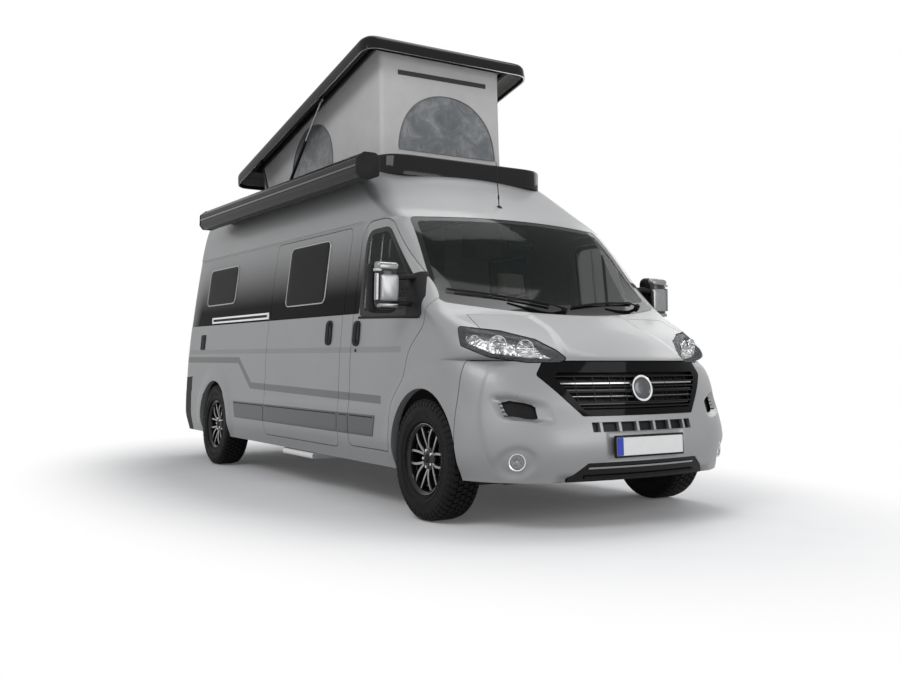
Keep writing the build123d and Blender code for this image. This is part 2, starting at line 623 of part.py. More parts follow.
HUB_FACE = 45.0        # the wheel's disc stands this far out of its middle plane
HUB_REACH = HUB_FACE + 20
AXLE_BEAM_R = 45.0
beam = across_cylinder(REAR_AXLE_X, TYRE_R, -700, 700, AXLE_BEAM_R)
stub = across_cylinder(REAR_AXLE_X, TYRE_R, -REAR_TRACK / 2 - HUB_REACH, REAR_TRACK / 2 + HUB_REACH, STUB_R)
springs = [block((REAR_AXLE_X - 620, REAR_AXLE_X + 620), sorted((side * RAIL_Y, side * (RAIL_Y - RAIL_WIDTH))),
                 (TYRE_R + AXLE_BEAM_R - 10, RAIL_Z[0] - RUNNING_GAP)) for side in SIDES.values()]
drums = [across_cylinder(REAR_AXLE_X, TYRE_R, side * 700, side * (REAR_TRACK / 2 - 75), 135)
         for side in SIDES.values()]
finish(join(beam, stub, *springs, *drums), "rear_axle")


def wheel_profile_tyre():
    half = TYRE_WIDTH / 2
    bead = RIM_R + RUNNING_GAP
    with BuildSketch(Plane.XY) as face:
        with BuildLine():
            Polyline((-BEAD_HALF, bead), (BEAD_HALF, bead), (BEAD_HALF, bead + 16), (half - 8, bead + 30))
            ThreePointArc((half - 8, bead + 30), (half, (bead + TYRE_R) / 2), (half - 12, TYRE_R - 22))
            Line((half - 12, TYRE_R - 22), (half - 34, TYRE_R))
            Line((half - 34, TYRE_R), (-half + 34, TYRE_R))
            Line((-half + 34, TYRE_R), (-half + 12, TYRE_R - 22))
            ThreePointArc((-half + 12, TYRE_R - 22), (-half, (bead + TYRE_R) / 2), (-half + 8, bead + 30))
            Polyline((-half + 8, bead + 30), (-BEAD_HALF, bead + 16), (-BEAD_HALF, bead))
        make_face()
    return face.sketch


def spun(face):
    """A profile drawn with Y as radius and X as width, spun about its X axis."""
    with BuildPart() as solid:
        revolve(face, axis=Axis.X)
    return solid.part


tyre_form = spun(wheel_profile_tyre())


def rim_form():
    half = RIM_WIDTH / 2
    with BuildSketch(Plane.XY) as barrel:
        with BuildLine():
            Polyline((-half, RIM_R + 14), (-half + RIM_LIP, RIM_R + 14), (-half + RIM_LIP, RIM_R),
                     (half - RIM_LIP, RIM_R), (half - RIM_LIP, RIM_R + 14), (half, RIM_R + 14),
                     (half - 10, RIM_R - 12), (-half + 10, RIM_R - 12), close=True)
        make_face()
    with BuildSketch(Plane.XY) as disc:
        with BuildLine():
            Polyline((HUB_FACE, HUB_BORE_R), (HUB_FACE + 25, HUB_BORE_R), (HUB_FACE + 32, 90),
                     (HUB_FACE + 30, RIM_R - 5), (HUB_FACE + 5, RIM_R - 5), (HUB_FACE - 5, 90), close=True)
        make_face()
    with BuildPart() as rim:
        revolve(barrel.sketch, axis=Axis.X)
        revolve(disc.sketch, axis=Axis.X)
    holes = []
    for turn, inner_r, inner_half, outer_half in WHEEL_WINDOWS:
        outline = [(inner_r, -inner_half), (inner_r, inner_half), (WINDOW_R, outer_half), (WINDOW_R, -outer_half)]
        window = prism(polygon_face(Plane.YZ, outline), 2 * half)
        holes += [window.rotate(Axis.X, turn + step * 360 / SPOKES) for step in range(SPOKES)]
    cap = Pos(HUB_FACE + 26, 0, 0) * Rot(0, 90, 0) * Cylinder(HUB_BORE_R - 1, 8)
    bezel = Pos(HUB_FACE + 26, 0, 0) * Rot(0, 90, 0) * (Cylinder(HUB_BORE_R + 12, 6) - Cylinder(HUB_BORE_R - 2, 6))
    return join(cut(rim.part, *holes), cap, bezel)


rim_solid = rim_form()
WHEELS = [
    ("front_right", FRONT_AXLE_X, -1, FRONT_TRACK),
    ("front_left", FRONT_AXLE_X, 1, FRONT_TRACK),
    ("rear_right", REAR_AXLE_X, -1, REAR_TRACK),
    ("rear_left", REAR_AXLE_X, 1, REAR_TRACK),
]
for name, axle_x, side, track in WHEELS:
    place = Pos(axle_x, side * track / 2, TYRE_R) * Rot(0, 0, side * 90)
    finish(place * tyre_form, f"tyre_{name}")
    finish(place * rim_solid, f"rim_{name}")

BRAKE_R = 150.0
for name, side in SIDES.items():
    centre_y = side * FRONT_TRACK / 2
    hub_end = centre_y + side * HUB_REACH
    knuckle = join(
        across_cylinder(FRONT_AXLE_X, TYRE_R, side * 800, hub_end, STUB_R),
        across_cylinder(FRONT_AXLE_X, TYRE_R, side * 838, side * 862, BRAKE_R),
        block((FRONT_AXLE_X - 45, FRONT_AXLE_X + 45), sorted((side * 740, side * 810)),
              (LOWER_ARM_Z[1] + RUNNING_GAP, TYRE_R + 150)),
    )
    finish(knuckle, f"knuckle_{name}")

# ---------- cab ----------
STEER_WHEEL_CENTRE = (FRONT_AXLE_X - 430, 430.0, 1195.0)
STEER_WHEEL_R = 190.0
STEER_TILT = 40.0      # the column's angle above level
COLUMN_R = 22.0
COLUMN_LENGTH = 300.0
with BuildPart() as steering_wheel:
    with BuildSketch(Plane.XZ):
        with Locations((STEER_WHEEL_R, 0)):
            Circle(15)
    revolve(axis=Axis.Z)
    Cylinder(48, 45)
    for angle in (0, 180, 270):
        with Locations(Location((0, 0, 0), (0, 0, angle))):
            with Locations((STEER_WHEEL_R / 2, 0, 0)):
                Box(STEER_WHEEL_R, 38, 14)
    with Locations((0, 0, -COLUMN_LENGTH / 2)):
        Cylinder(COLUMN_R, COLUMN_LENGTH)
column = Pos(*STEER_WHEEL_CENTRE) * Rot(0, -90 + STEER_TILT, 0)
finish(column * steering_wheel.part, "steering_wheel")

DASH_BOTTOM_Z = 880.0
DASH_FRONT_X = FIREWALL_X - RUNNING_GAP
with BuildPart() as dashboard:
    with BuildSketch(Plane.XZ) as dashboard_view:
        with BuildLine():
            Polyline((FRONT_AXLE_X - 230, DASH_BOTTOM_Z), (FRONT_AXLE_X - 260, 1060), (FRONT_AXLE_X - 150, 1160),
                     (FRONT_AXLE_X + 40, 1170), (DASH_FRONT_X, 1150), (DASH_FRONT_X, DASH_BOTTOM_Z), close=True)
        make_face()
        fillet(dashboard_view.vertices(), 24)
    extrude(amount=900, both=True)
column_bore = column * Pos(0, 0, -COLUMN_LENGTH) * Cylinder(COLUMN_R + RUNNING_GAP, 2 * COLUMN_LENGTH)
dash = cut(keep(dashboard.part, body_form(WALL + 12)), column_bore)
finish(dash, "dashboard")

SEAT_Y = 430.0
SEAT_HALF = 245.0
SEAT_BACK = (SEAT_X - 60, 850.0)
SEAT_RECLINE = 12.0
HEADREST_HALF = 125.0
seats = []
for side in SIDES.values():
    middle = side * SEAT_Y
    across = (middle - SEAT_HALF, middle + SEAT_HALF)
    squab = cushion([(SEAT_X - 60, 770), (SEAT_X - 60, 880), (SEAT_X + 90, 880), (SEAT_X + 440, 925),
                     (SEAT_X + 475, 900), (SEAT_X + 450, 790)], 24, across, 30)
    back = cushion([(-60, -40), (-60, 600), (0, 640), (60, 590), (75, 120), (60, -40)], 24, across, 30)
    headrest = cushion([(-45, 655), (-55, 830), (0, 850), (40, 820), (40, 660)], 20,
                       (middle - HEADREST_HALF, middle + HEADREST_HALF), 20)
    posts = [Pos(-5, middle + offset, 640) * Cylinder(7, 60) for offset in (-60, 60)]
    lean = Pos(SEAT_BACK[0], 0, SEAT_BACK[1]) * Rot(0, -SEAT_RECLINE, 0)
    armrest = rounded_block((SEAT_X + 10, SEAT_X + 330), sorted((middle - side * 215, middle - side * 275)),
                            (1075, 1130), 20)
    arm_pivot = block((SEAT_X - 40, SEAT_X + 60), sorted((middle - side * 215, middle - side * 275)), (1080, 1120))
    pedestal = block((SEAT_X + 20, SEAT_X + 380), (middle - 180, middle + 180), (FLOOR_Z, 700))
    swivel = Pos(SEAT_X + 200, middle, 740) * Cylinder(150, 90)
    seats.append(join(squab, lean * join(back, headrest, *posts), armrest, arm_pivot, pedestal, swivel))
finish(join(*seats), "cab_seats")

# ---------- living space ----------
KITCHEN_X = (SLIDE_DOOR_REAR_X - 250, SLIDE_DOOR_REAR_X + 750)
KITCHEN_FACE = AISLE_HALF + 15
WORKTOP_Z = (1370.0, 1400.0)
WORKTOP_LAP = 18.0
LOCKER_Z = (1890.0, 2200.0)
LOCKER_X = (TAIL_X + 520, SLIDE_DOOR_REAR_X + 740)
LOCKER_FACE = 600.0
FRONT_PITCH = 330.0    # width of one cupboard front
FRONT_JOINT = 4.0      # gap between fronts, and its depth
BED_BASE_Z = 1000.0
bed_x = (TAIL_X + 500, SLIDE_DOOR_REAR_X - 260)
furniture = [
    block(KITCHEN_X, (-900, -KITCHEN_FACE), (FLOOR_Z, WORKTOP_Z[0])),
    block((KITCHEN_X[0], KITCHEN_X[1] + WORKTOP_LAP), (-900, -KITCHEN_FACE + WORKTOP_LAP), WORKTOP_Z),
    block(bed_x, (560, 900), (FLOOR_Z, BED_BASE_Z)),
    block(bed_x, (-900, -560), (FLOOR_Z, BED_BASE_Z)),
    block((SLIDE_DOOR_REAR_X - 240, SLIDE_DOOR_REAR_X + 500), (KITCHEN_FACE, 900), (FLOOR_Z, 2150)),
]
joints = [block((x, x + FRONT_JOINT), (-KITCHEN_FACE - FRONT_JOINT, KITCHEN_FACE + FRONT_JOINT),
                (FLOOR_Z + 90, WORKTOP_Z[0] - 20))
          for x in (KITCHEN_X[0] + FRONT_PITCH, KITCHEN_X[0] + 2 * FRONT_PITCH)]
joints.append(block((KITCHEN_X[0] + 2 * FRONT_PITCH, KITCHEN_X[1]), (-KITCHEN_FACE - FRONT_JOINT, 0), (1100, 1104)))
cabin_form = body_form(WALL + 3)
clear_of_wheels = [arch_cutter(REAR_AXLE_X, WHEELHOUSE_R + 20, REAR_ARCH_RISE, 500, HALF_WIDTH)]
lockers = []
for side in SIDES.values():
    lockers.append(cushion([(LOCKER_X[0], LOCKER_Z[0]), (LOCKER_X[0], LOCKER_Z[1]), (LOCKER_X[1], LOCKER_Z[1]),
                            (LOCKER_X[1], LOCKER_Z[0])], 20, sorted((side * LOCKER_FACE, side * 900)), 15))
wall_fit = body_form(WALL + RUNNING_GAP)
finish(join(cut(keep(join(*furniture), cabin_form), *clear_of_wheels, *joints), keep(join(*lockers), wall_fit)),
       "living_furniture")
mattress = block(bed_x, (-895, 895), (BED_BASE_Z + RUNNING_GAP, BED_BASE_Z + 140))
finish(keep(mattress, cabin_form), "rear_bed")

# ---------- mirrors ----------
MIRROR_WIDTH = 195.0
MIRROR_X = (FRONT_AXLE_X - 345, FRONT_AXLE_X - 205)
MIRROR_Z = (1270.0, 1610.0)
MIRROR_ARM_Z = (1325.0, 1500.0)
MIRROR_MIDDLE = (-(MIRROR_SPAN - MIRROR_WIDTH) / 2, sum(MIRROR_Z) / 2)
GLASS_SUNK = 8.0
with BuildPart() as mirror_head:
    with BuildSketch(Plane.YZ.offset(MIRROR_X[0])):
        with Locations(MIRROR_MIDDLE):
            RectangleRounded(MIRROR_WIDTH, MIRROR_Z[1] - MIRROR_Z[0], 50)
    extrude(amount=MIRROR_X[1] - MIRROR_X[0], taper=8)
    fillet(mirror_head.faces().sort_by(Axis.X)[-1].edges(), 22)
    with BuildSketch(Plane.YZ.offset(MIRROR_X[0])):
        with Locations(MIRROR_MIDDLE):
            RectangleRounded(MIRROR_WIDTH - 22, MIRROR_Z[1] - MIRROR_Z[0] - 22, 40)
    extrude(amount=GLASS_SUNK, mode=Mode.SUBTRACT)
    for arm_z in MIRROR_ARM_Z:
        with BuildSketch(Plane.XZ.offset(960)):
            with Locations((FRONT_AXLE_X - 265, arm_z)):
                SlotOverall(64, 34)
        extrude(amount=MIRROR_SPAN / 2 - MIRROR_WIDTH - 940)
mirror_right = cut(mirror_head.part, body_form(-RUNNING_GAP))
finish_pair(mirror_right, "mirror")

# ---------- lifting roof ----------
RING_Z = ROOF_Z + 50
RING_HALF = 745.0
RING_X = (TAIL_X + 390, FRONT_AXLE_X - 1100)
RING_FOOT_Z = ROOF_Z - 110
SHELL_HALF = 780.0
SHELL_X = (TAIL_X + 480, FRONT_AXLE_X - 1520)
SHELL_DEPTH = 140.0
SHELL_WALL = 28.0
SHELL_GAP = 10.0       # shell to ring, when closed
RAISE_ANGLE = 13.5
SHELL_Z = RING_Z + SHELL_GAP
CEILING_Z = SHELL_Z + SHELL_DEPTH - SHELL_WALL

# rear links: they swing the shell's rear end up and forward
LINK_FOOT = (TAIL_X + 1400, RING_Z + 30)
LINK_LENGTH = 370.0
LINK_OPEN = 122.8      # the link's angle above +X when the roof is up
LINK_SHUT = 176.0
LINK_Y = 690.0
LINK_THICK = 10.0
EYE_R = 16.0           # outside radius of every eye
PIN_R = 7.0
PLATE = 8.0            # thickness of a bracket

# gas struts
STRUT_Y = 710.0
STRUT_FOOT = (LINK_FOOT[0] + 550, RING_Z + 24)
STRUT_HEAD_SHUT = (STRUT_FOOT[0] + 560, SHELL_Z + 30)
BARREL_R = 14.0
BARREL_START = 24.0    # the barrel starts this far from the eye
ROD_R = 6.0
TONGUE = 12.0          # thickness of a strut's flat eye


def link_end(angle):
    return (LINK_FOOT[0] + LINK_LENGTH * cos(radians(angle)), LINK_FOOT[1] + LINK_LENGTH * sin(radians(angle)))


pivot_shut = link_end(LINK_SHUT)
pivot_open = link_end(LINK_OPEN)


def raised(part):
    """A piece of the roof, from its closed place to its raised one."""
    return (Pos(pivot_open[0], 0, pivot_open[1]) * Rot(0, -RAISE_ANGLE, 0)
            * Pos(-pivot_shut[0], 0, -pivot_shut[1]) * part)


def lift_point(x, z):
    """Where a point of the closed roof stands when it is raised."""
    dx, dz = x - pivot_shut[0], z - pivot_shut[1]
    turn = radians(RAISE_ANGLE)
    return (pivot_open[0] + dx * cos(turn) - dz * sin(turn), pivot_open[1] + dx * sin(turn) + dz * cos(turn))


def both_sides(part):
    return join(part, mirror(part, Plane.XZ))


def bar_between(start, end, half, y):
    """A flat bar with round ends between two (x, z) points, across two Y values."""
    run, rise = end[0] - start[0], end[1] - start[1]
    with BuildPart() as bar:
        with BuildSketch(Plane.XZ.offset(-y[1])):
            with Locations((start[0] + run / 2, start[1] + rise / 2)):
                SlotCenterToCenter(hypot(run, rise), 2 * half, rotation=degrees(atan2(rise, run)))
        extrude(amount=y[1] - y[0])
    return bar.part


def bracket(eye, foot_z, foot_x, y):
    """A tapered plate from its round eye to a flat foot, whose ends are given from the eye."""
    with BuildPart() as plate:
        with BuildSketch(Plane.XZ.offset(-y[1])):
            with Locations(eye):
                Circle(EYE_R)
            with Locations((eye[0] + (foot_x[0] + foot_x[1]) / 2, foot_z)):
                Rectangle(foot_x[1] - foot_x[0], 2)
            make_hull()
        extrude(amount=y[1] - y[0])
    return plate.part


def pin(eye, y):
    return across_cylinder(*eye, y[0], y[1], PIN_R)


link_y = (LINK_Y, LINK_Y + LINK_THICK)
link_plate_y = (link_y[1] + RUNNING_GAP, link_y[1] + RUNNING_GAP + PLATE)
link_pin_y = (link_y[0] - RUNNING_GAP, link_plate_y[1])
link_washer_y = (link_pin_y[0] - 4, link_pin_y[0])
tongue_y = (STRUT_Y - TONGUE / 2, STRUT_Y + TONGUE / 2)
strut_plate_y = (tongue_y[1] + RUNNING_GAP, tongue_y[1] + RUNNING_GAP + PLATE)

link = bar_between(LINK_FOOT, pivot_open, EYE_R, link_y)
link_eyes = [across_cylinder(*end, link_y[0] - 1, link_y[1] + 1, PIN_R + RUNNING_GAP)
             for end in (LINK_FOOT, pivot_open)]
finish(both_sides(cut(link, *link_eyes)), "roof_links")

with BuildPart() as shell:
    with BuildSketch(Plane.XY.offset(SHELL_Z)):
        with Locations(((SHELL_X[0] + SHELL_X[1]) / 2, 0)):
            RectangleRounded(SHELL_X[1] - SHELL_X[0], 2 * SHELL_HALF, 140)
    extrude(amount=SHELL_DEPTH)
    fillet(shell.faces().sort_by(Axis.Z)[-1].edges(), 60)
    with BuildSketch(Plane.XY.offset(SHELL_Z)):
        with Locations(((SHELL_X[0] + SHELL_X[1]) / 2, 0)):
            RectangleRounded(SHELL_X[1] - SHELL_X[0] - 2 * SHELL_WALL, 2 * (SHELL_HALF - SHELL_WALL), 110)
    extrude(amount=CEILING_Z - SHELL_Z, mode=Mode.SUBTRACT)
shell_fittings = both_sides(join(
    bracket(pivot_shut, CEILING_Z, (-60, 60), link_plate_y),
    pin(pivot_shut, link_pin_y),
    across_cylinder(*pivot_shut, *link_washer_y, EYE_R - 3),
    bracket(STRUT_HEAD_SHUT, CEILING_Z, (-40, 40), strut_plate_y),
))
finish(raised(join(shell.part, shell_fittings)), "roof_shell")

TENT_HALF = 575.0
TENT_WALL = 8.0
TENT_FRONT_GAP = 160.0
ceiling_front = lift_point(SHELL_X[1] - TENT_FRONT_GAP, CEILING_Z - RUNNING_GAP)
ceiling_rear = lift_point(SHELL_X[0] + 250, CEILING_Z - RUNNING_GAP)
tent_foot_z = ROOF_Z + RUNNING_GAP
tent_foot_front = ceiling_front[0] + 70
tent_foot_rear = ceiling_rear[0] + 30
tent_side = [(tent_foot_rear, tent_foot_z), ceiling_rear, ceiling_front, (tent_foot_front, tent_foot_z)]
tent_hollow = [
    (tent_foot_rear + TENT_WALL, tent_foot_z - 50),
    (ceiling_rear[0] + TENT_WALL, ceiling_rear[1] + 60),
    (ceiling_front[0] - TENT_WALL, ceiling_front[1] + 60),
    (tent_foot_front - TENT_WALL, tent_foot_z - 50),
]
tent_body = prism(polygon_face(Plane.XZ, tent_side), TENT_HALF, both=True)
tent_void = prism(polygon_face(Plane.XZ, tent_hollow), TENT_HALF - TENT_WALL, both=True)
finish(cut(tent_body, tent_void), "roof_tent")

RING_OPENING_X = (tent_foot_rear - 15, tent_foot_front + 15)
with BuildPart() as ring:
    with BuildSketch(Plane.XY.offset(RING_FOOT_Z)):
        with Locations(((RING_X[0] + RING_X[1]) / 2, 0)):
            RectangleRounded(RING_X[1] - RING_X[0], 2 * RING_HALF, 250)
        with Locations(((RING_OPENING_X[0] + RING_OPENING_X[1]) / 2, 0)):
            Rectangle(RING_OPENING_X[1] - RING_OPENING_X[0], 2 * (TENT_HALF + 15), mode=Mode.SUBTRACT)
    extrude(amount=RING_Z - RING_FOOT_Z)
ring_fittings = both_sides(join(
    bracket(LINK_FOOT, RING_Z, (-60, 60), link_plate_y),
    pin(LINK_FOOT, link_pin_y),
    across_cylinder(*LINK_FOOT, *link_washer_y, EYE_R - 3),
    bracket(STRUT_FOOT, RING_Z, (-50, 5), strut_plate_y),
    pin(STRUT_FOOT, (tongue_y[0] - 3, strut_plate_y[1])),
))
finish(join(cut(ring.part, outer), ring_fittings), "roof_frame")

strut_head = lift_point(*STRUT_HEAD_SHUT)
strut_angle = degrees(atan2(strut_head[1] - STRUT_FOOT[1], strut_head[0] - STRUT_FOOT[0]))
strut_length = hypot(strut_head[1] - STRUT_FOOT[1], strut_head[0] - STRUT_FOOT[0])
shut_length = hypot(STRUT_HEAD_SHUT[1] - STRUT_FOOT[1], STRUT_HEAD_SHUT[0] - STRUT_FOOT[0])
along_strut = (cos(radians(strut_angle)), sin(radians(strut_angle)))


def up_strut(distance):
    return (STRUT_FOOT[0] + distance * along_strut[0], STRUT_FOOT[1] + distance * along_strut[1])


def strut_cylinder(radius, start, end):
    origin = up_strut(start)
    with BuildPart() as solid:
        with BuildSketch(Plane(origin=(origin[0], STRUT_Y, origin[1]), z_dir=(along_strut[0], 0, along_strut[1]))):
            Circle(radius)
        extrude(amount=end - start)
    return solid.part


barrel_end = shut_length - 60
barrel = cut(
    join(strut_cylinder(BARREL_R, BARREL_START, barrel_end),
         bar_between(STRUT_FOOT, up_strut(BARREL_START + 10), EYE_R - 3, tongue_y)),
    strut_cylinder(ROD_R + RUNNING_GAP, BARREL_START + 20, barrel_end + 1),
    across_cylinder(*STRUT_FOOT, tongue_y[0] - 1, tongue_y[1] + 1, PIN_R + RUNNING_GAP),
)
finish(both_sides(barrel), "strut_barrels")
rod = join(strut_cylinder(ROD_R, strut_length - shut_length + BARREL_START + 30, strut_length - 5),
           bar_between(up_strut(strut_length - 14), strut_head, EYE_R - 4, tongue_y))
finish(both_sides(rod), "strut_rods")

# ---------- awning ----------
AWNING_X = (REAR_AXLE_X - 320, REAR_AXLE_X + 3240)
AWNING_Z = (2235.0, 2425.0)
AWNING_Y = (-1125.0, -945.0)
AWNING_CAP = 16.0      # thickness of an end cap
AWNING_RAIL_Z = 2312.0
awning_outline = [
    (AWNING_Y[1], AWNING_Z[0] + 26), (AWNING_Y[1], AWNING_Z[1] - 22), (AWNING_Y[1] - 34, AWNING_Z[1]),
    (AWNING_Y[0] + 58, AWNING_Z[1]), (AWNING_Y[0], AWNING_Z[1] - 48), (AWNING_Y[0], AWNING_Z[0] + 40),
    (AWNING_Y[0] + 34, AWNING_Z[0]), (AWNING_Y[1] - 60, AWNING_Z[0]),
]
awning_run = AWNING_X[1] - AWNING_X[0]
awning_tube = Pos(AWNING_X[0], 0, 0) * prism(polygon_face(Plane.YZ, awning_outline, 18, -4), awning_run)
awning_cap_face = polygon_face(Plane.YZ, awning_outline, 18)
awning_caps = [Pos(x, 0, 0) * prism(awning_cap_face, AWNING_CAP) for x in (AWNING_X[0], AWNING_X[1] - AWNING_CAP)]
lead_rail = block((AWNING_X[0] + AWNING_CAP, AWNING_X[1] - AWNING_CAP), (AWNING_Y[0] - 10, AWNING_Y[0] + 12),
                  (AWNING_RAIL_Z, AWNING_RAIL_Z + 6))
brackets = [block((x, x + 120), (AWNING_Y[1] - 6, -820), (AWNING_Z[0] + 60, AWNING_Z[1] - 60))
            for x in (AWNING_X[0] + 150, (AWNING_X[0] + AWNING_X[1]) / 2, AWNING_X[1] - 620)]
finish(cut(join(cut(awning_tube, lead_rail), *awning_caps, *brackets), outer), "awning_case")

# ---------- entry step ----------
TREAD_GROOVES = 5
GROOVE_PITCH = 30.0
GROOVE_WIDTH = 8.0
GROOVE_DEPTH = 3.0
TREAD_MARGIN = (30.0, 20.0)   # from the tread's ends and outer edge to its grooves
TREAD_RIM = 12.0
TREAD_THICK = 14.0
tread = rounded_face(Plane.XY, STEP_X, STEP_Y, 18)
grooves = []
for number in range(TREAD_GROOVES):
    groove_y = STEP_Y[0] + TREAD_MARGIN[1] + number * GROOVE_PITCH
    grooves.append(block((STEP_X[0] + TREAD_MARGIN[0], STEP_X[1] - TREAD_MARGIN[0]),
                         (groove_y, groove_y + GROOVE_WIDTH), (STEP_Z[1] - GROOVE_DEPTH, FAR)))
under_tread = block((STEP_X[0] + TREAD_RIM, STEP_X[1] - TREAD_RIM), (STEP_Y[0] + TREAD_RIM, STEP_Y[1] - TREAD_RIM),
                    (0, STEP_Z[1] - TREAD_THICK))
finish(cut(Pos(0, 0, STEP_Z[0]) * prism(tread, STEP_Z[1] - STEP_Z[0]), *grooves, under_tread), "entry_step")
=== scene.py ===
import math
import random
import bpy
import bmesh
import numpy as np
from mathutils import Matrix, Vector, noise


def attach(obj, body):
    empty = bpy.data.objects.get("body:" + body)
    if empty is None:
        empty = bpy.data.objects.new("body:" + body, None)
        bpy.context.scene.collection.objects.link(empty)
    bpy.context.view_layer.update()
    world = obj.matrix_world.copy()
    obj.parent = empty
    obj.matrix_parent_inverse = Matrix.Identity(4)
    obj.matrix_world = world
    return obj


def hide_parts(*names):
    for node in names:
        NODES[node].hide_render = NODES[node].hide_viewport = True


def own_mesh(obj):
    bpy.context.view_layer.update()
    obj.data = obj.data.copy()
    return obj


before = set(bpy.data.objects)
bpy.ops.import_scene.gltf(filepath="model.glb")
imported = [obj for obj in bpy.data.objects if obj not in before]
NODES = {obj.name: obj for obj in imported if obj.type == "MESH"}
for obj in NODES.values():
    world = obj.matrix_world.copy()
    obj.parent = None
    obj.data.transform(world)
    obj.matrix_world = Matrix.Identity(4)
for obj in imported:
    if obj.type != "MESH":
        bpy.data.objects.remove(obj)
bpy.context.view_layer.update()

random.seed(7)
scene = bpy.context.scene

# ------------------------------------------------------------------ materials
def node_material(name):
    m = bpy.data.materials.new(name)
    m.use_nodes = True
    t = m.node_tree
    t.nodes.clear()
    out = t.nodes.new("ShaderNodeOutputMaterial")
    bsdf = t.nodes.new("ShaderNodeBsdfPrincipled")
    t.links.new(bsdf.outputs[0], out.inputs[0])
    return m, t, bsdf


class Tree:
    """Small helper that adds nodes with their inputs in one call."""
    def __init__(self, tree):
        self.t = tree

    def __call__(self, kind, inputs=(), **props):
        n = self.t.nodes.new("ShaderNode" + kind)
        for k, v in props.items():
            setattr(n, k, v)
        for key, value in dict(inputs).items():
            if isinstance(value, bpy.types.NodeSocket):
                self.t.links.new(value, n.inputs[key])
            else:
                n.inputs[key].default_value = value
        return n

    def math(self, op, a, b=0.0, clamp=False):
        n = self("Math", {0: a, 1: b}, operation=op)
        n.use_clamp = clamp
        return n.outputs[0]

    def ramp(self, fac, stops, interp="LINEAR"):
        n = self("ValToRGB", {"Fac": fac})
        n.color_ramp.interpolation = interp
        els = n.color_ramp.elements
        while len(els) < len(stops):
            els.new(0.5)
        for e, (p, c) in zip(els, stops):
            e.position = p
            e.color = (*c, 1) if len(c) == 3 else c
        return n.outputs[0]

    def mix(self, fac, a, b):
        n = self("Mix", {0: fac}, data_type="RGBA")
        for s, v in ((n.inputs[6], a), (n.inputs[7], b)):
            if isinstance(v, bpy.types.NodeSocket):
                self.t.links.new(v, s)
            else:
                s.default_value = (*v, 1)
        return n.outputs[2]

    def coords(self):
        return self("TexCoord").outputs["Object"]

    def xyz(self):
        s = self("SeparateXYZ", {0: self.coords()})
        return s.outputs[0], s.outputs[1], s.outputs[2]

    def step(self, value, edge, soft):
        """0 below edge, 1 above it, over a soft width."""
        return self("MapRange", {0: value, 1: edge - soft / 2, 2: edge + soft / 2, 3: 0.0, 4: 1.0}).outputs[0]

    def bump(self, bsdf, height, strength, distance):
        b = self("Bump", {"Strength": strength, "Distance": distance, "Height": height})
        self.t.links.new(b.outputs[0], bsdf.inputs["Normal"])


def surface(name, color, rough, metal=0.0, vary=0.06, scale=30.0, bump=0.0, bump_scale=400.0, coat=0.0,
            coat_rough=0.08, spec=0.5, rough_vary=0.08, sheen=0.0, alpha=1.0):
    """A base surface with slight mottling, roughness variation and an optional fine grain."""
    m, t, b = node_material(name)
    n = Tree(t)
    co = n.coords()
    cloud = n("TexNoise", {"Vector": co, "Scale": scale, "Detail": 5.0, "Roughness": 0.6}).outputs[0]
    lo = tuple(c * (1 - vary) for c in color)
    hi = tuple(min(1, c * (1 + vary)) for c in color)
    t.links.new(n.ramp(cloud, [(0.3, lo), (0.7, hi)]), b.inputs["Base Color"])
    r = n("MapRange", {0: cloud, 3: max(0.02, rough - rough_vary / 2), 4: rough + rough_vary / 2})
    t.links.new(r.outputs[0], b.inputs["Roughness"])
    b.inputs["Metallic"].default_value = metal
    b.inputs["Specular IOR Level"].default_value = spec
    b.inputs["Coat Weight"].default_value = coat
    b.inputs["Coat Roughness"].default_value = coat_rough
    b.inputs["Sheen Weight"].default_value = sheen
    b.inputs["Alpha"].default_value = alpha
    if bump:
        grain = n("TexNoise", {"Vector": co, "Scale": bump_scale, "Detail": 2.0}).outputs[0]
        n.bump(b, grain, bump, 0.002)
    return m


SILVER = (0.268, 0.271, 0.274)
GRAPHITE = (0.10, 0.102, 0.105)


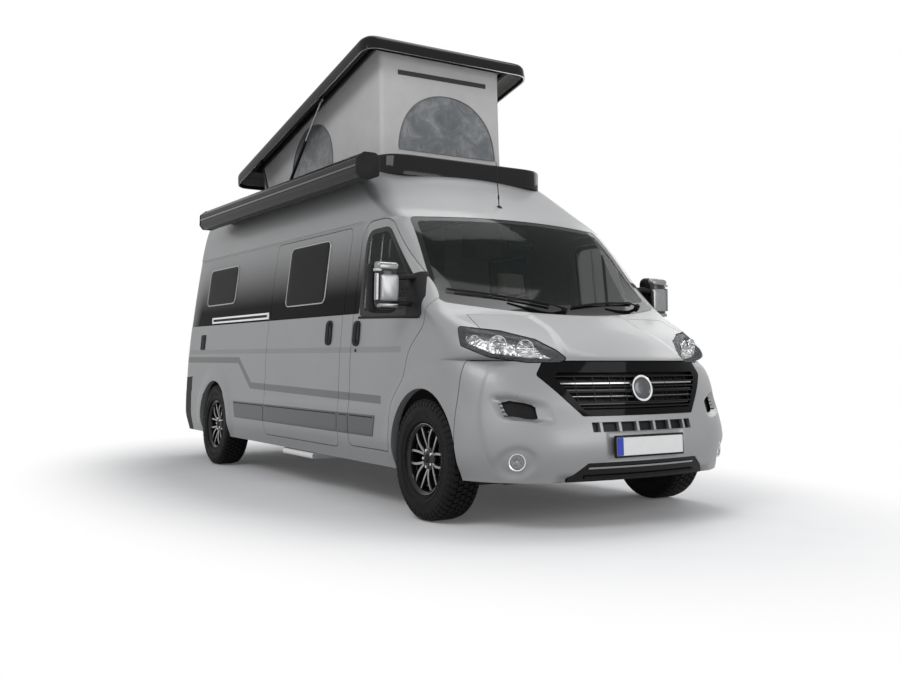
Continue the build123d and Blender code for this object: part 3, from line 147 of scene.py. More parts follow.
def paint(name, decor=False):
    """Light grey metallic paint with flakes. decor adds the side's fading dark band, the lower stripe, and a faint
    band of painted shade along the body crease.
    """
    m, t, b = node_material(name)
    n = Tree(t)
    co = n.coords()
    flakes = n("TexVoronoi", {"Vector": co, "Scale": 1400.0}).outputs["Color"]
    tone = n("TexNoise", {"Vector": co, "Scale": 1.3, "Detail": 3.0}).outputs[0]
    base = n.ramp(tone, [(0.3, tuple(c * 0.97 for c in SILVER)), (0.7, tuple(c * 1.03 for c in SILVER))])
    spark = n("SeparateColor", {0: flakes}).outputs[0]
    colour = n.mix(n.math("MULTIPLY", spark, 0.10), base, (0.48, 0.48, 0.49))
    dark = None
    if decor:
        x, _, z = n.xyz()
        # the dark band is deepest at the waist line and thins out in fine dots towards the rain channel
        # and the rear edge
        inside = n.math("MULTIPLY", n.step(z, 1.298, 0.004), n.math("SUBTRACT", 1.0, n.step(z, 1.957, 0.004)))
        rear = n("MapRange", {0: n.math("SUBTRACT", x, n.math("MULTIPLY", n.math("SUBTRACT", z, 1.3), 0.30)),
                              1: -3.02, 2: -2.62, 3: 0.35, 4: 1.0}, interpolation_type="SMOOTHSTEP").outputs[0]
        front = n("MapRange", {0: x, 1: 1.055, 2: 1.060, 3: 1.0, 4: 0.0}).outputs[0]
        height = n("MapRange", {0: z, 1: 1.42, 2: 2.00, 3: 1.0, 4: 0.10}, interpolation_type="SMOOTHSTEP").outputs[0]
        grains = n("TexNoise", {"Vector": co, "Scale": 900.0, "Detail": 1.0}).outputs[0]
        fade = n.math("MULTIPLY", n.math("MULTIPLY", rear, front), height)
        fade = n.math("ADD", fade, n.math("MULTIPLY", n.math("SUBTRACT", grains, 0.5), n.math(
            "MULTIPLY", n.math("MULTIPLY", fade, n.math("SUBTRACT", 1.0, fade)), 0.8)), clamp=True)
        band = n.math("MULTIPLY", inside, fade)
        # stripe: level at the rear, a diagonal, then low and level to the front wheel
        def strip(x0, x1, z0, z1, half, soft=0.004):
            slope = (z1 - z0) / (x1 - x0)
            mid = n.math("ADD", z0, n.math("MULTIPLY", n.math("SUBTRACT", x, x0), slope))
            away = n.math("ABSOLUTE", n.math("SUBTRACT", z, mid))
            on = n.math("SUBTRACT", 1.0, n.step(away, half * math.hypot(1, slope), soft))
            on = n.math("MULTIPLY", on, n.step(x, x0, 0.002))
            return n.math("MULTIPLY", on, n.math("SUBTRACT", 1.0, n.step(x, x1, 0.002)))
        line = strip(-2.96, -1.345, 0.968, 0.968, 0.027)
        for piece in (strip(-1.345, -1.02, 0.968, 0.752, 0.027), strip(-1.02, 1.48, 0.752, 0.712, 0.027)):
            line = n.math("MAXIMUM", line, piece)
        # a faint graphite band at z 1.045: painted shade of the body crease above the stripe
        line = n.math("MAXIMUM", line, n.math("MULTIPLY", strip(-2.80, 1.74, 1.045, 1.045, 0.020), 0.38))
        colour = n.mix(n.math("MULTIPLY", line, 0.85), colour, GRAPHITE)
        colour = n.mix(band, colour, (0.006, 0.0055, 0.0065))
        dark = band
    t.links.new(colour, b.inputs["Base Color"])
    if dark is not None:
        t.links.new(n.math("SUBTRACT", 0.5, n.math("MULTIPLY", dark, 0.5)), b.inputs["Metallic"])
        t.links.new(n.math("SUBTRACT", 0.16, n.math("MULTIPLY", dark, 0.04)), b.inputs["Coat Weight"])
        t.links.new(n.math("SUBTRACT", 0.5, n.math("MULTIPLY", dark, 0.5)), b.inputs["Specular IOR Level"])
    else:
        b.inputs["Metallic"].default_value = 0.5
    rough = n("MapRange", {0: spark, 3: 0.44, 4: 0.54}).outputs[0]
    t.links.new(rough, b.inputs["Roughness"])
    if dark is None:
        b.inputs["Coat Weight"].default_value = 0.16
    b.inputs["Coat Roughness"].default_value = 0.12
    return m


def reflector():
    """Bright reflector made of small facets that turn every way, each facet's colour painted from dark to bright as
    painted reflections and glints.
    """
    m, t, b = node_material("faceted_reflector_painted_glints")
    n = Tree(t)
    co = n.coords()
    cells = n("TexVoronoi", {"Vector": co, "Scale": 55.0})
    tone = n("SeparateColor", {0: cells.outputs["Color"]}).outputs[0]
    # painted reflections: each facet gets a random painted brightness, from a dark facet to a bright glint
    t.links.new(n.ramp(tone, [(0.15, (0.16, 0.165, 0.17)), (0.5, (0.50, 0.51, 0.52)), (0.85, (0.90, 0.91, 0.92))]),
                b.inputs["Base Color"])
    b.inputs["Metallic"].default_value = 0.85
    b.inputs["Roughness"].default_value = 0.22
    n.bump(b, cells.outputs["Distance"], 0.6, 0.01)
    return m


def glass(name, tint, alpha, rough=0.02, coat=0.55):
    """Tinted glass: mostly clear straight on, more mirror-like at a low angle."""
    m, t, b = node_material(name)
    n = Tree(t)
    dust = n("TexNoise", {"Vector": n.coords(), "Scale": 14.0, "Detail": 6.0}).outputs[0]
    t.links.new(n.ramp(dust, [(0.3, tint), (0.8, tuple(c * 1.25 + 0.002 for c in tint))]), b.inputs["Base Color"])
    t.links.new(n("MapRange", {0: dust, 3: rough, 4: rough + 0.03}).outputs[0], b.inputs["Roughness"])
    b.inputs["Alpha"].default_value = alpha
    b.inputs["Specular IOR Level"].default_value = 0.0
    b.inputs["Coat Weight"].default_value = coat
    b.inputs["Coat Roughness"].default_value = rough
    return m


PAINT = paint("silver_paint")
PAINT_SIDE = paint("silver_paint_side", decor=True)
GLOSS_BLACK = surface("gloss_black", (0.006, 0.006, 0.0065), 0.12, vary=0.1, spec=0.0, coat=0.45, coat_rough=0.06)
SATIN_BLACK = surface("satin_black", (0.011, 0.011, 0.012), 0.4, vary=0.15, bump=0.05, bump_scale=900, spec=0.0,
                      coat=0.25, coat_rough=0.34)
GRAIN_BLACK = surface("grained_black_plastic", (0.016, 0.016, 0.017), 0.55, vary=0.12, bump=0.25, bump_scale=700,
                      spec=0.05, coat=0.15, coat_rough=0.5)
RUBBER = surface("seal_rubber", (0.010, 0.010, 0.010), 0.6, vary=0.15, bump=0.1, spec=0.05, coat=0.12, coat_rough=0.5)
GRAPHITE_PANEL = surface("graphite_cladding", (0.085, 0.087, 0.09), 0.42, metal=0.3, vary=0.08, bump=0.08,
                         bump_scale=900)
CHROME = surface("chrome", (0.78, 0.79, 0.80), 0.10, metal=1.0, vary=0.03)
BRIGHT = surface("bright_trim", (0.72, 0.72, 0.73), 0.24, metal=1.0, vary=0.04, bump=0.04, bump_scale=1200)
GLINT_PAINTED_REFLECTOR = reflector()
DARK_CHROME = surface("dark_chrome", (0.30, 0.30, 0.31), 0.16, metal=1.0, vary=0.05)
WINDSHIELD = glass("windscreen_glass", (0.010, 0.014, 0.013), 0.40, coat=0.30)
CLEAR = glass("lamp_glass", (0.70, 0.72, 0.73), 0.05, 0.01, coat=0.25)
SIDE_GLASS = glass("door_glass", (0.008, 0.010, 0.010), 0.58, coat=0.30)
GRILLE_BLACK = surface("grille_gloss_black", (0.005, 0.005, 0.0055), 0.14, vary=0.1, spec=0.0, coat=0.14,
                       coat_rough=0.06)
ACRYLIC = surface("dark_acrylic", (0.003, 0.003, 0.0035), 0.1, vary=0.2, spec=0.0, coat=0.22, coat_rough=0.05)
ALLOY_BLACK = surface("alloy_black", (0.008, 0.008, 0.009), 0.2, vary=0.1, spec=0.05, coat=0.5, coat_rough=0.08)
ALLOY_CUT = surface("alloy_machined", (0.30, 0.30, 0.31), 0.28, metal=1.0, vary=0.05, bump=0.06, bump_scale=1500)
STEEL = surface("brushed_steel", (0.42, 0.42, 0.42), 0.35, metal=1.0, vary=0.1, bump=0.08)
CAST = surface("cast_iron", (0.14, 0.135, 0.13), 0.62, metal=0.6, vary=0.2, bump=0.3, bump_scale=300)
CHASSIS = surface("underbody_black", (0.010, 0.010, 0.010), 0.6, vary=0.3, bump=0.2, bump_scale=200, spec=0.05,
                  coat=0.08, coat_rough=0.5)
ALU = surface("anodised_aluminium", (0.62, 0.62, 0.63), 0.34, metal=1.0, vary=0.05, bump=0.06)
RED_LENS = surface("red_lens", (0.28, 0.008, 0.008), 0.10, vary=0.12, coat=0.5)
CLEAR_LENS = surface("reversing_lens", (0.42, 0.42, 0.43), 0.12, vary=0.1, coat=0.4)
EMBLEM_BLANK = surface("emblem_blank", (0.07, 0.072, 0.078), 0.25, metal=0.7, vary=0.1, coat=0.3)
WHITE_PLATE = surface("plate_white", (0.72, 0.73, 0.72), 0.4, vary=0.02)
BLUE_PLATE = surface("plate_blue", (0.01, 0.04, 0.42), 0.4, vary=0.05)
LINING = surface("pale_lining", (0.24, 0.235, 0.225), 0.8, vary=0.06, bump=0.2, bump_scale=500, spec=0.2)
DASH = surface("dash_plastic", (0.014, 0.014, 0.015), 0.62, vary=0.12, bump=0.25, bump_scale=500, spec=0.1)


def fabric(name, color, weave=900.0, rough=0.85, dirt=0.08, fold=0.15):
    """Woven cloth: warp and weft waves, soft folds and a little sheen."""
    m, t, b = node_material(name)
    n = Tree(t)
    co = n.coords()
    cloud = n("TexNoise", {"Vector": co, "Scale": 3.0, "Detail": 6.0, "Roughness": 0.65}).outputs[0]
    threads = n("TexNoise", {"Vector": co, "Scale": weave, "Detail": 1.0}).outputs[0]
    base = n.ramp(cloud, [(0.25, tuple(c * (1 - dirt) for c in color)),
                          (0.75, tuple(min(1, c * (1 + dirt)) for c in color))])
    t.links.new(n.mix(n.math("MULTIPLY", threads, 0.25), base, tuple(c * 0.75 for c in color)),
                b.inputs["Base Color"])
    warp = n("TexWave", {"Vector": co, "Scale": weave * 0.35, "Distortion": 0.3}, bands_direction="Z").outputs[1]
    weft = n("TexWave", {"Vector": co, "Scale": weave * 0.35, "Distortion": 0.3},
             bands_direction="DIAGONAL").outputs[1]
    height = n.math("ADD", n.math("MULTIPLY", n.math("MAXIMUM", warp, weft), 0.5),
                    n.math("MULTIPLY", cloud, fold * 6))
    n.bump(b, height, 0.25, 0.003)
    b.inputs["Roughness"].default_value = rough
    b.inputs["Sheen Weight"].default_value = 0.15
    b.inputs["Specular IOR Level"].default_value = 0.25
    return m


SEAT = fabric("beige_upholstery", (0.52, 0.49, 0.42), weave=700)
SEAT_DARK = fabric("dark_upholstery", (0.06, 0.058, 0.055), weave=700)
MATTRESS = fabric("mattress_cover", (0.55, 0.54, 0.52), weave=600)
GRAPHITE_SHEEN = surface("mirror_graphite", (0.016, 0.016, 0.017), 0.2, metal=0.1, vary=0.1, spec=0.4)
MIRROR_SILVER = surface("mirror_silver_pad", (0.24, 0.243, 0.247), 0.25, metal=0.7, vary=0.08, coat=0.2)
AMBER = surface("amber_lens", (0.45, 0.16, 0.02), 0.15, vary=0.1, coat=0.5)
AWNING_BLACK = surface("awning_black_paint", (0.006, 0.006, 0.0065), 0.3, vary=0.12, bump=0.03, bump_scale=1200,
                       spec=0.0, coat=0.4, coat_rough=0.16)
BRIGHT_BLACK = surface("sheen_black_rail", (0.03, 0.03, 0.032), 0.2, metal=0.4, vary=0.1, spec=0.2, coat=0.3)
SHELL_BLACK = surface("roof_shell_black", (0.006, 0.006, 0.0065), 0.2, vary=0.15, bump=0.02, bump_scale=300,
                      spec=0.0, coat=0.35, coat_rough=0.12)
TENT_TAPE = fabric("tent_tape", (0.17, 0.165, 0.165), weave=1400)
TENT_VENT = fabric("tent_vent_net", (0.05, 0.052, 0.056), weave=1600, rough=0.7)


# the tent's half-moon windows: middle, half width, foot and height; MOON_POWER is how square they are
FRONT_MOON = (.045, .455, 2.650, .497)
SIDE_MOON = (-.86, .46, 2.640, .435)
MOON_POWER = 2.15


def tent_material():
    """Grey canvas whose half-moon windows, clear creased foil behind a net, are drawn opaque: a dark painted shade
    stands for the tent's inside, with lighter painted reflections along the creases.
    """
    m = fabric("tent_canvas_with_windows", (0.63, 0.615, 0.61), fold=0.2)
    t = m.node_tree
    n = Tree(t)
    bsdf = next(q for q in t.nodes if q.type == "BSDF_PRINCIPLED")
    out = next(q for q in t.nodes if q.type == "OUTPUT_MATERIAL")
    x, y, z = n.xyz()

    def moon(across, centre, half, foot, height):
        u = n.math("POWER", n.math("DIVIDE", n.math("ABSOLUTE", n.math("SUBTRACT", across, centre)), half), MOON_POWER)
        w = n.math("POWER", n.math("MAXIMUM", n.math("DIVIDE", n.math("SUBTRACT", z, foot), height), 0.0), MOON_POWER)
        inside = n.math("LESS_THAN", n.math("ADD", u, w), 1.0)
        return n.math("MULTIPLY", inside, n.math("GREATER_THAN", z, foot))

    front = n.math("MULTIPLY", moon(y, *FRONT_MOON), n.math("GREATER_THAN", x, .40))
    sides = n.math("MULTIPLY", moon(x, *SIDE_MOON), n.math("GREATER_THAN", n.math("ABSOLUTE", y), .54))
    mask = n.math("MAXIMUM", front, sides)
    co = n.coords()
    crease = n("TexNoise", {"Vector": co, "Scale": 7.0, "Detail": 8.0, "Roughness": 0.72,
                            "Distortion": 0.6}).outputs[0]
    # painted light on the foil: dark painted shade of the inside behind it, lighter painted reflections where the
    # creases rise
    colour = n.ramp(crease, [(0.30, (0.10, 0.108, 0.115)), (0.48, (0.165, 0.175, 0.182)),
                             (0.62, (0.26, 0.27, 0.275)), (0.75, (0.42, 0.43, 0.43))])
    foil = n("BsdfPrincipled", {"Base Color": colour, "Roughness": 0.28, "Specular IOR Level": 0.4})
    bump = n("Bump", {"Strength": 0.35, "Distance": 0.01, "Height": crease})
    t.links.new(bump.outputs[0], foil.inputs["Normal"])
    mixed = n("MixShader", {0: mask, 1: bsdf.outputs[0], 2: foil.outputs[0]})
    t.links.new(mixed.outputs[0], out.inputs[0])
    return m


TENT_WINDOWED = tent_material()

# ------------------------------------------------------------------ mesh helpers
def new_object(name, verts, faces, mat, body=None, slot=None, angle=35, materials=()):
    me = bpy.data.meshes.new(name)
    me.from_pydata([tuple(v) for v in verts], [], [tuple(int(i) for i in f) for f in faces])
    me.validate()
    o = bpy.data.objects.new(name, me)
    scene.collection.objects.link(o)
    me.materials.append(mat)
    for extra in materials:
        me.materials.append(extra)
    shade(o, angle)
    if body:
        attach(o, body)
    return o


def shade(o, angle=35):
    me = o.data
    bm = bmesh.new()
    bm.from_mesh(me)
    bmesh.ops.remove_doubles(bm, verts=bm.verts, dist=1e-6)
    bmesh.ops.recalc_face_normals(bm, faces=bm.faces)
    limit = math.radians(angle)
    for f in bm.faces:
        f.smooth = True
    for e in bm.edges:
        e.smooth = not (len(e.link_faces) == 2 and e.calc_face_angle(0) > limit)
    bm.to_mesh(me)
    bm.free()


def boolean(o, cutters, op="DIFFERENCE", solver="MANIFOLD"):
    """Applies cutters to o and puts the result back in its mesh."""
    for c in cutters:
        md = o.modifiers.new("cut", "BOOLEAN")
        md.operation = op
        md.object = c
        md.solver = solver
    bpy.context.view_layer.update()
    done = bpy.data.meshes.new_from_object(o.evaluated_get(bpy.context.evaluated_depsgraph_get()))
    o.modifiers.clear()
    mats = list(o.data.materials)
    old = o.data
    o.data = done
    bpy.data.meshes.remove(old)
    if not len(o.data.materials):
        for m in mats:
            o.data.materials.append(m)


def tool(verts, faces):
    me = bpy.data.meshes.new("tool")
    me.from_pydata([tuple(v) for v in verts], [], [tuple(f) for f in faces])
    o = bpy.data.objects.new("tool", me)
    scene.collection.objects.link(o)
    bm = bmesh.new()
    bm.from_mesh(me)
    bmesh.ops.recalc_face_normals(bm, faces=bm.faces)
    bmesh.ops.triangulate(bm, faces=bm.faces)
    bm.to_mesh(me)
    bm.free()
    TOOLS.append(o)
    return o


TOOLS = []


def copy_of(o, name=None):
    c = o.copy()
    c.data = o.data.copy()
    if name:
        c.name = name
        c.data.name = name
    scene.collection.objects.link(c)
    return c


def rounded(points, radius, steps=5):
    """A closed outline with each corner rounded; a radius per corner may be given."""
    out = []
    k = len(points)
    radii = radius if isinstance(radius, (list, tuple)) else [radius] * k
    for i, p in enumerate(points):
        a, b, c = Vector(points[i - 1]), Vector(p), Vector(points[(i + 1) % k])
        u, v = (a - b).normalized(), (c - b).normalized()
        turn = math.acos(max(-1, min(1, u.dot(v))))
        r = radii[i]
        cut = min(r / max(math.tan(turn / 2), 1e-6), (a - b).length * 0.49, (c - b).length * 0.49)
        if cut < 1e-5 or turn > 3.1:
            out.append((b.x, b.y))
            continue
        s, e = b + u * cut, b + v * cut
        for j in range(steps + 1):
            w = j / steps
            q = s.lerp(b, w).lerp(b.lerp(e, w), w)
            out.append((q.x, q.y))
    return out


def prism_points(outline, place0, place1):
    """Vertices and faces of a closed prism between two placings of an outline."""
    k = len(outline)
    verts = [place0(a, b) for a, b in outline] + [place1(a, b) for a, b in outline]
    faces = [tuple(range(k)), tuple(range(2 * k - 1, k - 1, -1))]
    faces += [(i, i + k, (i + 1) % k + k, (i + 1) % k) for i in range(k)]
    return verts, faces


def prism_y(outline, y0, y1):
    return prism_points(outline, lambda a, b: (a, y0, b), lambda a, b: (a, y1, b))


def prism_x(outline, x0, x1):
    return prism_points(outline, lambda a, b: (x0, a, b), lambda a, b: (x1, a, b))


def prism_z(outline, z0, z1):
    return prism_points(outline, lambda a, b: (a, b, z0), lambda a, b: (a, b, z1))


def rect(a0, a1, b0, b1):
    return [(a0, b0), (a1, b0), (a1, b1), (a0, b1)]


def bevelled_box(name, lo, hi, r, mat, body, seg=3, matrix=None):
    """A box with rounded edges."""
    bm = bmesh.new()
    bmesh.ops.create_cube(bm, size=1.0)
    lo, hi = Vector(lo), Vector(hi)
    for v in bm.verts:
        v.co = Vector(((lo[i] + hi[i]) / 2 + v.co[i] * (hi[i] - lo[i])) for i in range(3))
    bmesh.ops.bevel(bm, geom=bm.edges[:], offset=r, segments=seg, affect="EDGES", profile=0.5)
    if matrix:
        bmesh.ops.transform(bm, matrix=matrix, verts=bm.verts)
    me = bpy.data.meshes.new(name)
    bm.to_mesh(me)
    bm.free()
    o = bpy.data.objects.new(name, me)
    scene.collection.objects.link(o)
    me.materials.append(mat)
    shade(o, 40)
    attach(o, body)
    return o


def frames_along(path, up=Vector((0, 0, 1))):
    out = []
    for i, p in enumerate(path):
        a = path[max(i - 1, 0)]
        b = path[min(i + 1, len(path) - 1)]
        t = (Vector(b) - Vector(a)).normalized()
        side = t.cross(up)
        if side.length < 1e-4:
            side = t.cross(Vector((0, 1, 0)))
        side.normalize()
        out.append((Vector(p), side, side.cross(t).normalized()))
    return out


def sweep(path, profile, closed=False, up=Vector((0, 0, 1)), scales=None):
    """A profile of (side, up) pairs run along a path, with flat ends."""
    k = len(profile)
    verts, faces = [], []
    rings = frames_along(path, up)
    for j, (p, s, u) in enumerate(rings):
        g = scales[j] if scales else 1.0
        verts += [p + s * (a * g) + u * (b * g) for a, b in profile]
    count = len(rings)
    for j in range(count if closed else count - 1):
        for i in range(k):
            n2 = (j + 1) % count
            faces.append((j * k + i, j * k + (i + 1) % k, n2 * k + (i + 1) % k, n2 * k + i))
    if not closed:
        faces += [tuple(range(k - 1, -1, -1)), tuple((count - 1) * k + i for i in range(k))]
    return verts, faces


def circle(r, n=16, ry=None):
    return [(r * math.cos(2 * math.pi * i / n), (ry or r) * math.sin(2 * math.pi * i / n)) for i in range(n)]


def smooth_path(points, steps=6):
    """Catmull-Rom through the points."""
    pts = [Vector(p) for p in points]
    out = []
    for i in range(len(pts) - 1):
        p0, p1, p2, p3 = pts[max(i - 1, 0)], pts[i], pts[i + 1], pts[min(i + 2, len(pts) - 1)]
        for j in range(steps):
            t = j / steps
            out.append(0.5 * ((2 * p1) + (p2 - p0) * t + (2 * p0 - 5 * p1 + 4 * p2 - p3) * t * t
                              + (3 * p1 - p0 - 3 * p2 + p3) * t ** 3))
    out.append(pts[-1])
    return out


def tube(name, points, r, mat, body, slot=None, n=12, steps=6):
    v, f = sweep(smooth_path(points, steps) if steps > 1 else [Vector(p) for p in points], circle(r, n))
    return new_object(name, v, f, mat, body, slot, 50)


def revolve(profile, steps=64, centre=(0, 0, 0), axis="y"):
    """(radius, along) pairs spun about an axis through centre."""
    verts, faces = [], []
    k = len(profile)
    for j in range(steps):
        a = 2 * math.pi * j / steps
        for r, w in profile:
            c, s = r * math.cos(a), r * math.sin(a)
            p = {"y": (c, w, s), "x": (w, c, s), "z": (c, s, w)}[axis]
            verts.append(tuple(p[i] + centre[i] for i in range(3)))
    for j in range(steps):
        for i in range(k - 1):
            a, b = j * k + i, j * k + i + 1
            c, d = ((j + 1) % steps) * k + i + 1, ((j + 1) % steps) * k + i
            faces.append((a, b, c, d))
    return verts, faces


def merged(parts):
    verts, faces = [], []
    for v, f in parts:
        base = len(verts)
        verts += [tuple(p) for p in v]
        faces += [tuple(i + base for i in face) for face in f]
    return verts, faces


# ------------------------------------------------------------------ body surface
# One row per level: height, how far the nose and tail stand back, side tuck, plan radius of nose and of
# its corners.
LEVELS = [
    (.280, .045, .040, .040, 2.4, .60), (.470, .0, .0, .005, 2.4, .60), (.720, .055, .008, .0, 1.8, .58),
    (.975, .102, .012, .008, 1.2, .45), (1.130, .385, .018, .016, 3.0, .33), (1.300, .750, .024, .028, 3.0, .13),
    (1.970, 1.425, .050, .095, 2.6, .15), (2.120, 1.660, .060, .115, 2.6, .19), (2.290, 1.920, .080, .150, 2.6, .24),
    (2.400, 2.080, .110, .205, 2.6, .30), (2.470, 2.250, .160, .300, 2.6, .38)]
NOSE_X, HALF, TAIL_CORNER = 2.999, 1.02, .15
BELT, ROOF = .975, 2.470
FRONT_AXLE, REAR_AXLE, TYRE_R = 2.051, -1.984, .372


def monotone(xs, ys):
    """Smooth curve through the points that never overshoots them."""
    xs, ys = np.array(xs, float), np.array(ys, float)
    h = np.diff(xs)
    d = np.diff(ys) / h
    m = np.zeros_like(xs)
    for i in range(1, len(xs) - 1):
        if d[i - 1] * d[i] > 0:
            w1, w2 = 2 * h[i] + h[i - 1], h[i] + 2 * h[i - 1]
            m[i] = (w1 + w2) / (w1 / d[i - 1] + w2 / d[i])
    m[0], m[-1] = d[0], d[-1]

    def f(x):
        i = min(max(int(np.searchsorted(xs, x, side="right")) - 1, 0), len(xs) - 2)
        t = (x - xs[i]) / h[i]
        return ((2 * t**3 - 3 * t**2 + 1) * ys[i] + (t**3 - 2 * t**2 + t) * h[i] * m[i]
                + (3 * t**2 - 2 * t**3) * ys[i + 1] + (t**3 - t**2) * h[i] * m[i + 1])
    return f


def column(k):
    low = monotone([r[0] for r in LEVELS[:4]], [r[k] for r in LEVELS[:4]])
    high = monotone([r[0] for r in LEVELS[3:]], [r[k] for r in LEVELS[3:]])
    return lambda z: low(z) if z <= BELT else high(z)


COLUMNS = [column(k) for k in range(1, 6)]


def outline(z, inset, counts):
    nose_back, tail_back, tuck, big, r = (c(z) for c in COLUMNS)
    half, nose, tail = HALF - tuck - inset, NOSE_X - nose_back - inset, -NOSE_X + tail_back + inset
    r, rear = max(r - inset, .04), max(TAIL_CORNER - inset, .04)
    big_c = nose - big
    cx = big_c + math.sqrt((big - r) ** 2 - (half - r) ** 2)
    meet = math.atan2(half - r, cx - big_c)
    n = counts
    pts = [(tail, -(half - rear) * t) for t in np.linspace(0, 1, n[0], endpoint=False)]
    for t in np.linspace(0, 1, n[1], endpoint=False):
        a = t * math.pi / 2
        pts.append((tail + rear * (1 - math.cos(a)), -(half - rear) - rear * math.sin(a)))
    pts += [(tail + rear + (cx - tail - rear) * t, -half) for t in np.linspace(0, 1, n[2], endpoint=False)]
    for t in np.linspace(0, 1, n[3], endpoint=False):
        a = math.pi / 2 + (meet - math.pi / 2) * t
        pts.append((cx + r * math.cos(a), -(half - r) - r * math.sin(a)))
    for t in np.linspace(0, 1, n[4] + 1):
        a = meet * (1 - t)
        pts.append((big_c + big * math.cos(a), -big * math.sin(a)))
    return np.array(pts)


def smooth(x, a, b):
    t = np.clip((x - a) / (b - a), 0, 1)
    return t * t * (3 - 2 * t)


def signed_distance(px, py, poly):
    """Distance to a closed polygon, negative inside."""
    best = np.full(px.shape, 1e9)
    inside = np.zeros(px.shape, bool)
    k = len(poly)
    for i in range(k):
        (ax, ay), (bx, by) = poly[i], poly[(i + 1) % k]
        vx, vy = bx - ax, by - ay
        t = np.clip(((px - ax) * vx + (py - ay) * vy) / (vx * vx + vy * vy), 0, 1)
        best = np.minimum(best, np.hypot(px - ax - t * vx, py - ay - t * vy))
        cross = ((ay > py) != (by > py)) & (px < (bx - ax) * (py - ay) / ((by - ay) if by != ay else 1e-9) + ax)
        inside ^= cross
    return np.where(inside, -best, best)


# |y| and z of the bumper's vent recess
VENT = [(.585, .600), (.870, .640), (.905, .775), (.815, .785), (.620, .742)]
FOG = (.808, .400)
# wheel arches: axle's X, radius, and the arch's centre above the wheel's
FRONT_ARCH, REAR_ARCH = (FRONT_AXLE, .400, .030), (REAR_AXLE, .392, .010)
CREASE = [(.62, 1.34), (.40, 1.262), (.385, 1.18), (.43, 1.09), (.47, .96), (-.47, .96), (-.43, 1.09),
          (-.385, 1.18), (-.40, 1.262), (-.62, 1.34)]
PLATE_BAY = rect(-.30, .30, .385, .575)


def sculpt(p):
    """How far the outer skin stands out (+) or in (-) of the plain form."""
    x, y, z = p[..., 0], p[..., 1], p[..., 2]
    ay = np.abs(y)
    d = np.zeros(x.shape)
    nose = smooth(x, 2.35, 2.45)
    low = 1 - smooth(z, .93, .97)
    # recess with vents below each headlight, deepest at its outer end
    s = signed_distance(ay, z, rounded(VENT, .05))
    d -= .042 * smooth(-s, -.004, .040) * smooth(ay, .56, .74) * nose * low
    # dish round the fog lamp
    r = np.hypot(ay - FOG[0], z - FOG[1])
    d -= .020 * (1 - smooth(r, .062, .105)) * nose
    # raised middle of the bonnet
    s = signed_distance(y, z, CREASE)
    d += .011 * smooth(-s, -.014, .022) * smooth(x, 2.14, 2.24) * smooth(z, .965, .985)
    # number plate's bay
    s = signed_distance(y, z, rounded(PLATE_BAY, .02))
    d -= .010 * smooth(-s, -.002, .016) * nose
    # bumper's chin turns in below
    d -= .030 * smooth(.335 - z, 0, .055) * smooth(x, 2.5, 2.7) * (1 - smooth(ay, .56, .62))
    # crease from the headlight's tip down the bumper's corner
    edge = 2.585 + .10 * smooth(.75 - z, 0, .45) - x
    d += (.008 * smooth(-edge, -.012, .012) * (1 - smooth(-edge, .02, .22)) * low * smooth(z, .30, .36)
          * smooth(ay, .5, .7))
    # arch flares
    for ax, ar, rise in (FRONT_ARCH, REAR_ARCH):
        r = np.hypot(x - ax, np.maximum(z - (TYRE_R + rise), 0))
        d += .012 * (1 - smooth(r, ar + .03, ar + .17)) * smooth(ay, .6, .8) * smooth(z, .28, .40)
    # side: waist line, and a slight hollow under it
    side = smooth(ay, .80, .86) * (1 - smooth(x, 1.2, 1.9)) * smooth(x, -2.95, -2.80)
    d -= .006 * smooth(z, 1.30, 1.306) * (1 - smooth(z, 1.952, 1.960)) * side
    d -= .006 * smooth(z, .64, .68) * (1 - smooth(z, .80, .98)) * side
    # rain channel
    d -= (.006 * smooth(z, 1.957, 1.961) * (1 - smooth(z, 1.969, 1.973)) * smooth(ay, .7, .8)
          * (1 - smooth(x, .95, .99)))
    # the high roof's slight stand-out above the channel and its two shallow pressings are not drawn
    return d


LEVELS_FINE = sorted(set([round(v, 4) for v in np.concatenate([
    np.arange(.280, 1.296, .0121), [BELT, .976, 1.300, 1.306], np.arange(1.32, 1.95, .03),
    [1.952, 1.957, 1.961, 1.965, 1.969, 1.973],
    np.arange(1.985, 2.395, .021), np.arange(2.40, 2.4701, .010), [ROOF]])]))
LEVELS_COARSE = sorted(set([round(v, 4) for v in np.concatenate([
    np.arange(.280, 1.3, .04), [BELT, 1.3], np.arange(1.36, 2.38, .07), np.arange(2.40, 2.4701, .014), [ROOF]])]))
FINE, COARSE = (10, 8, 190, 44, 44), (6, 5, 50, 14, 14)


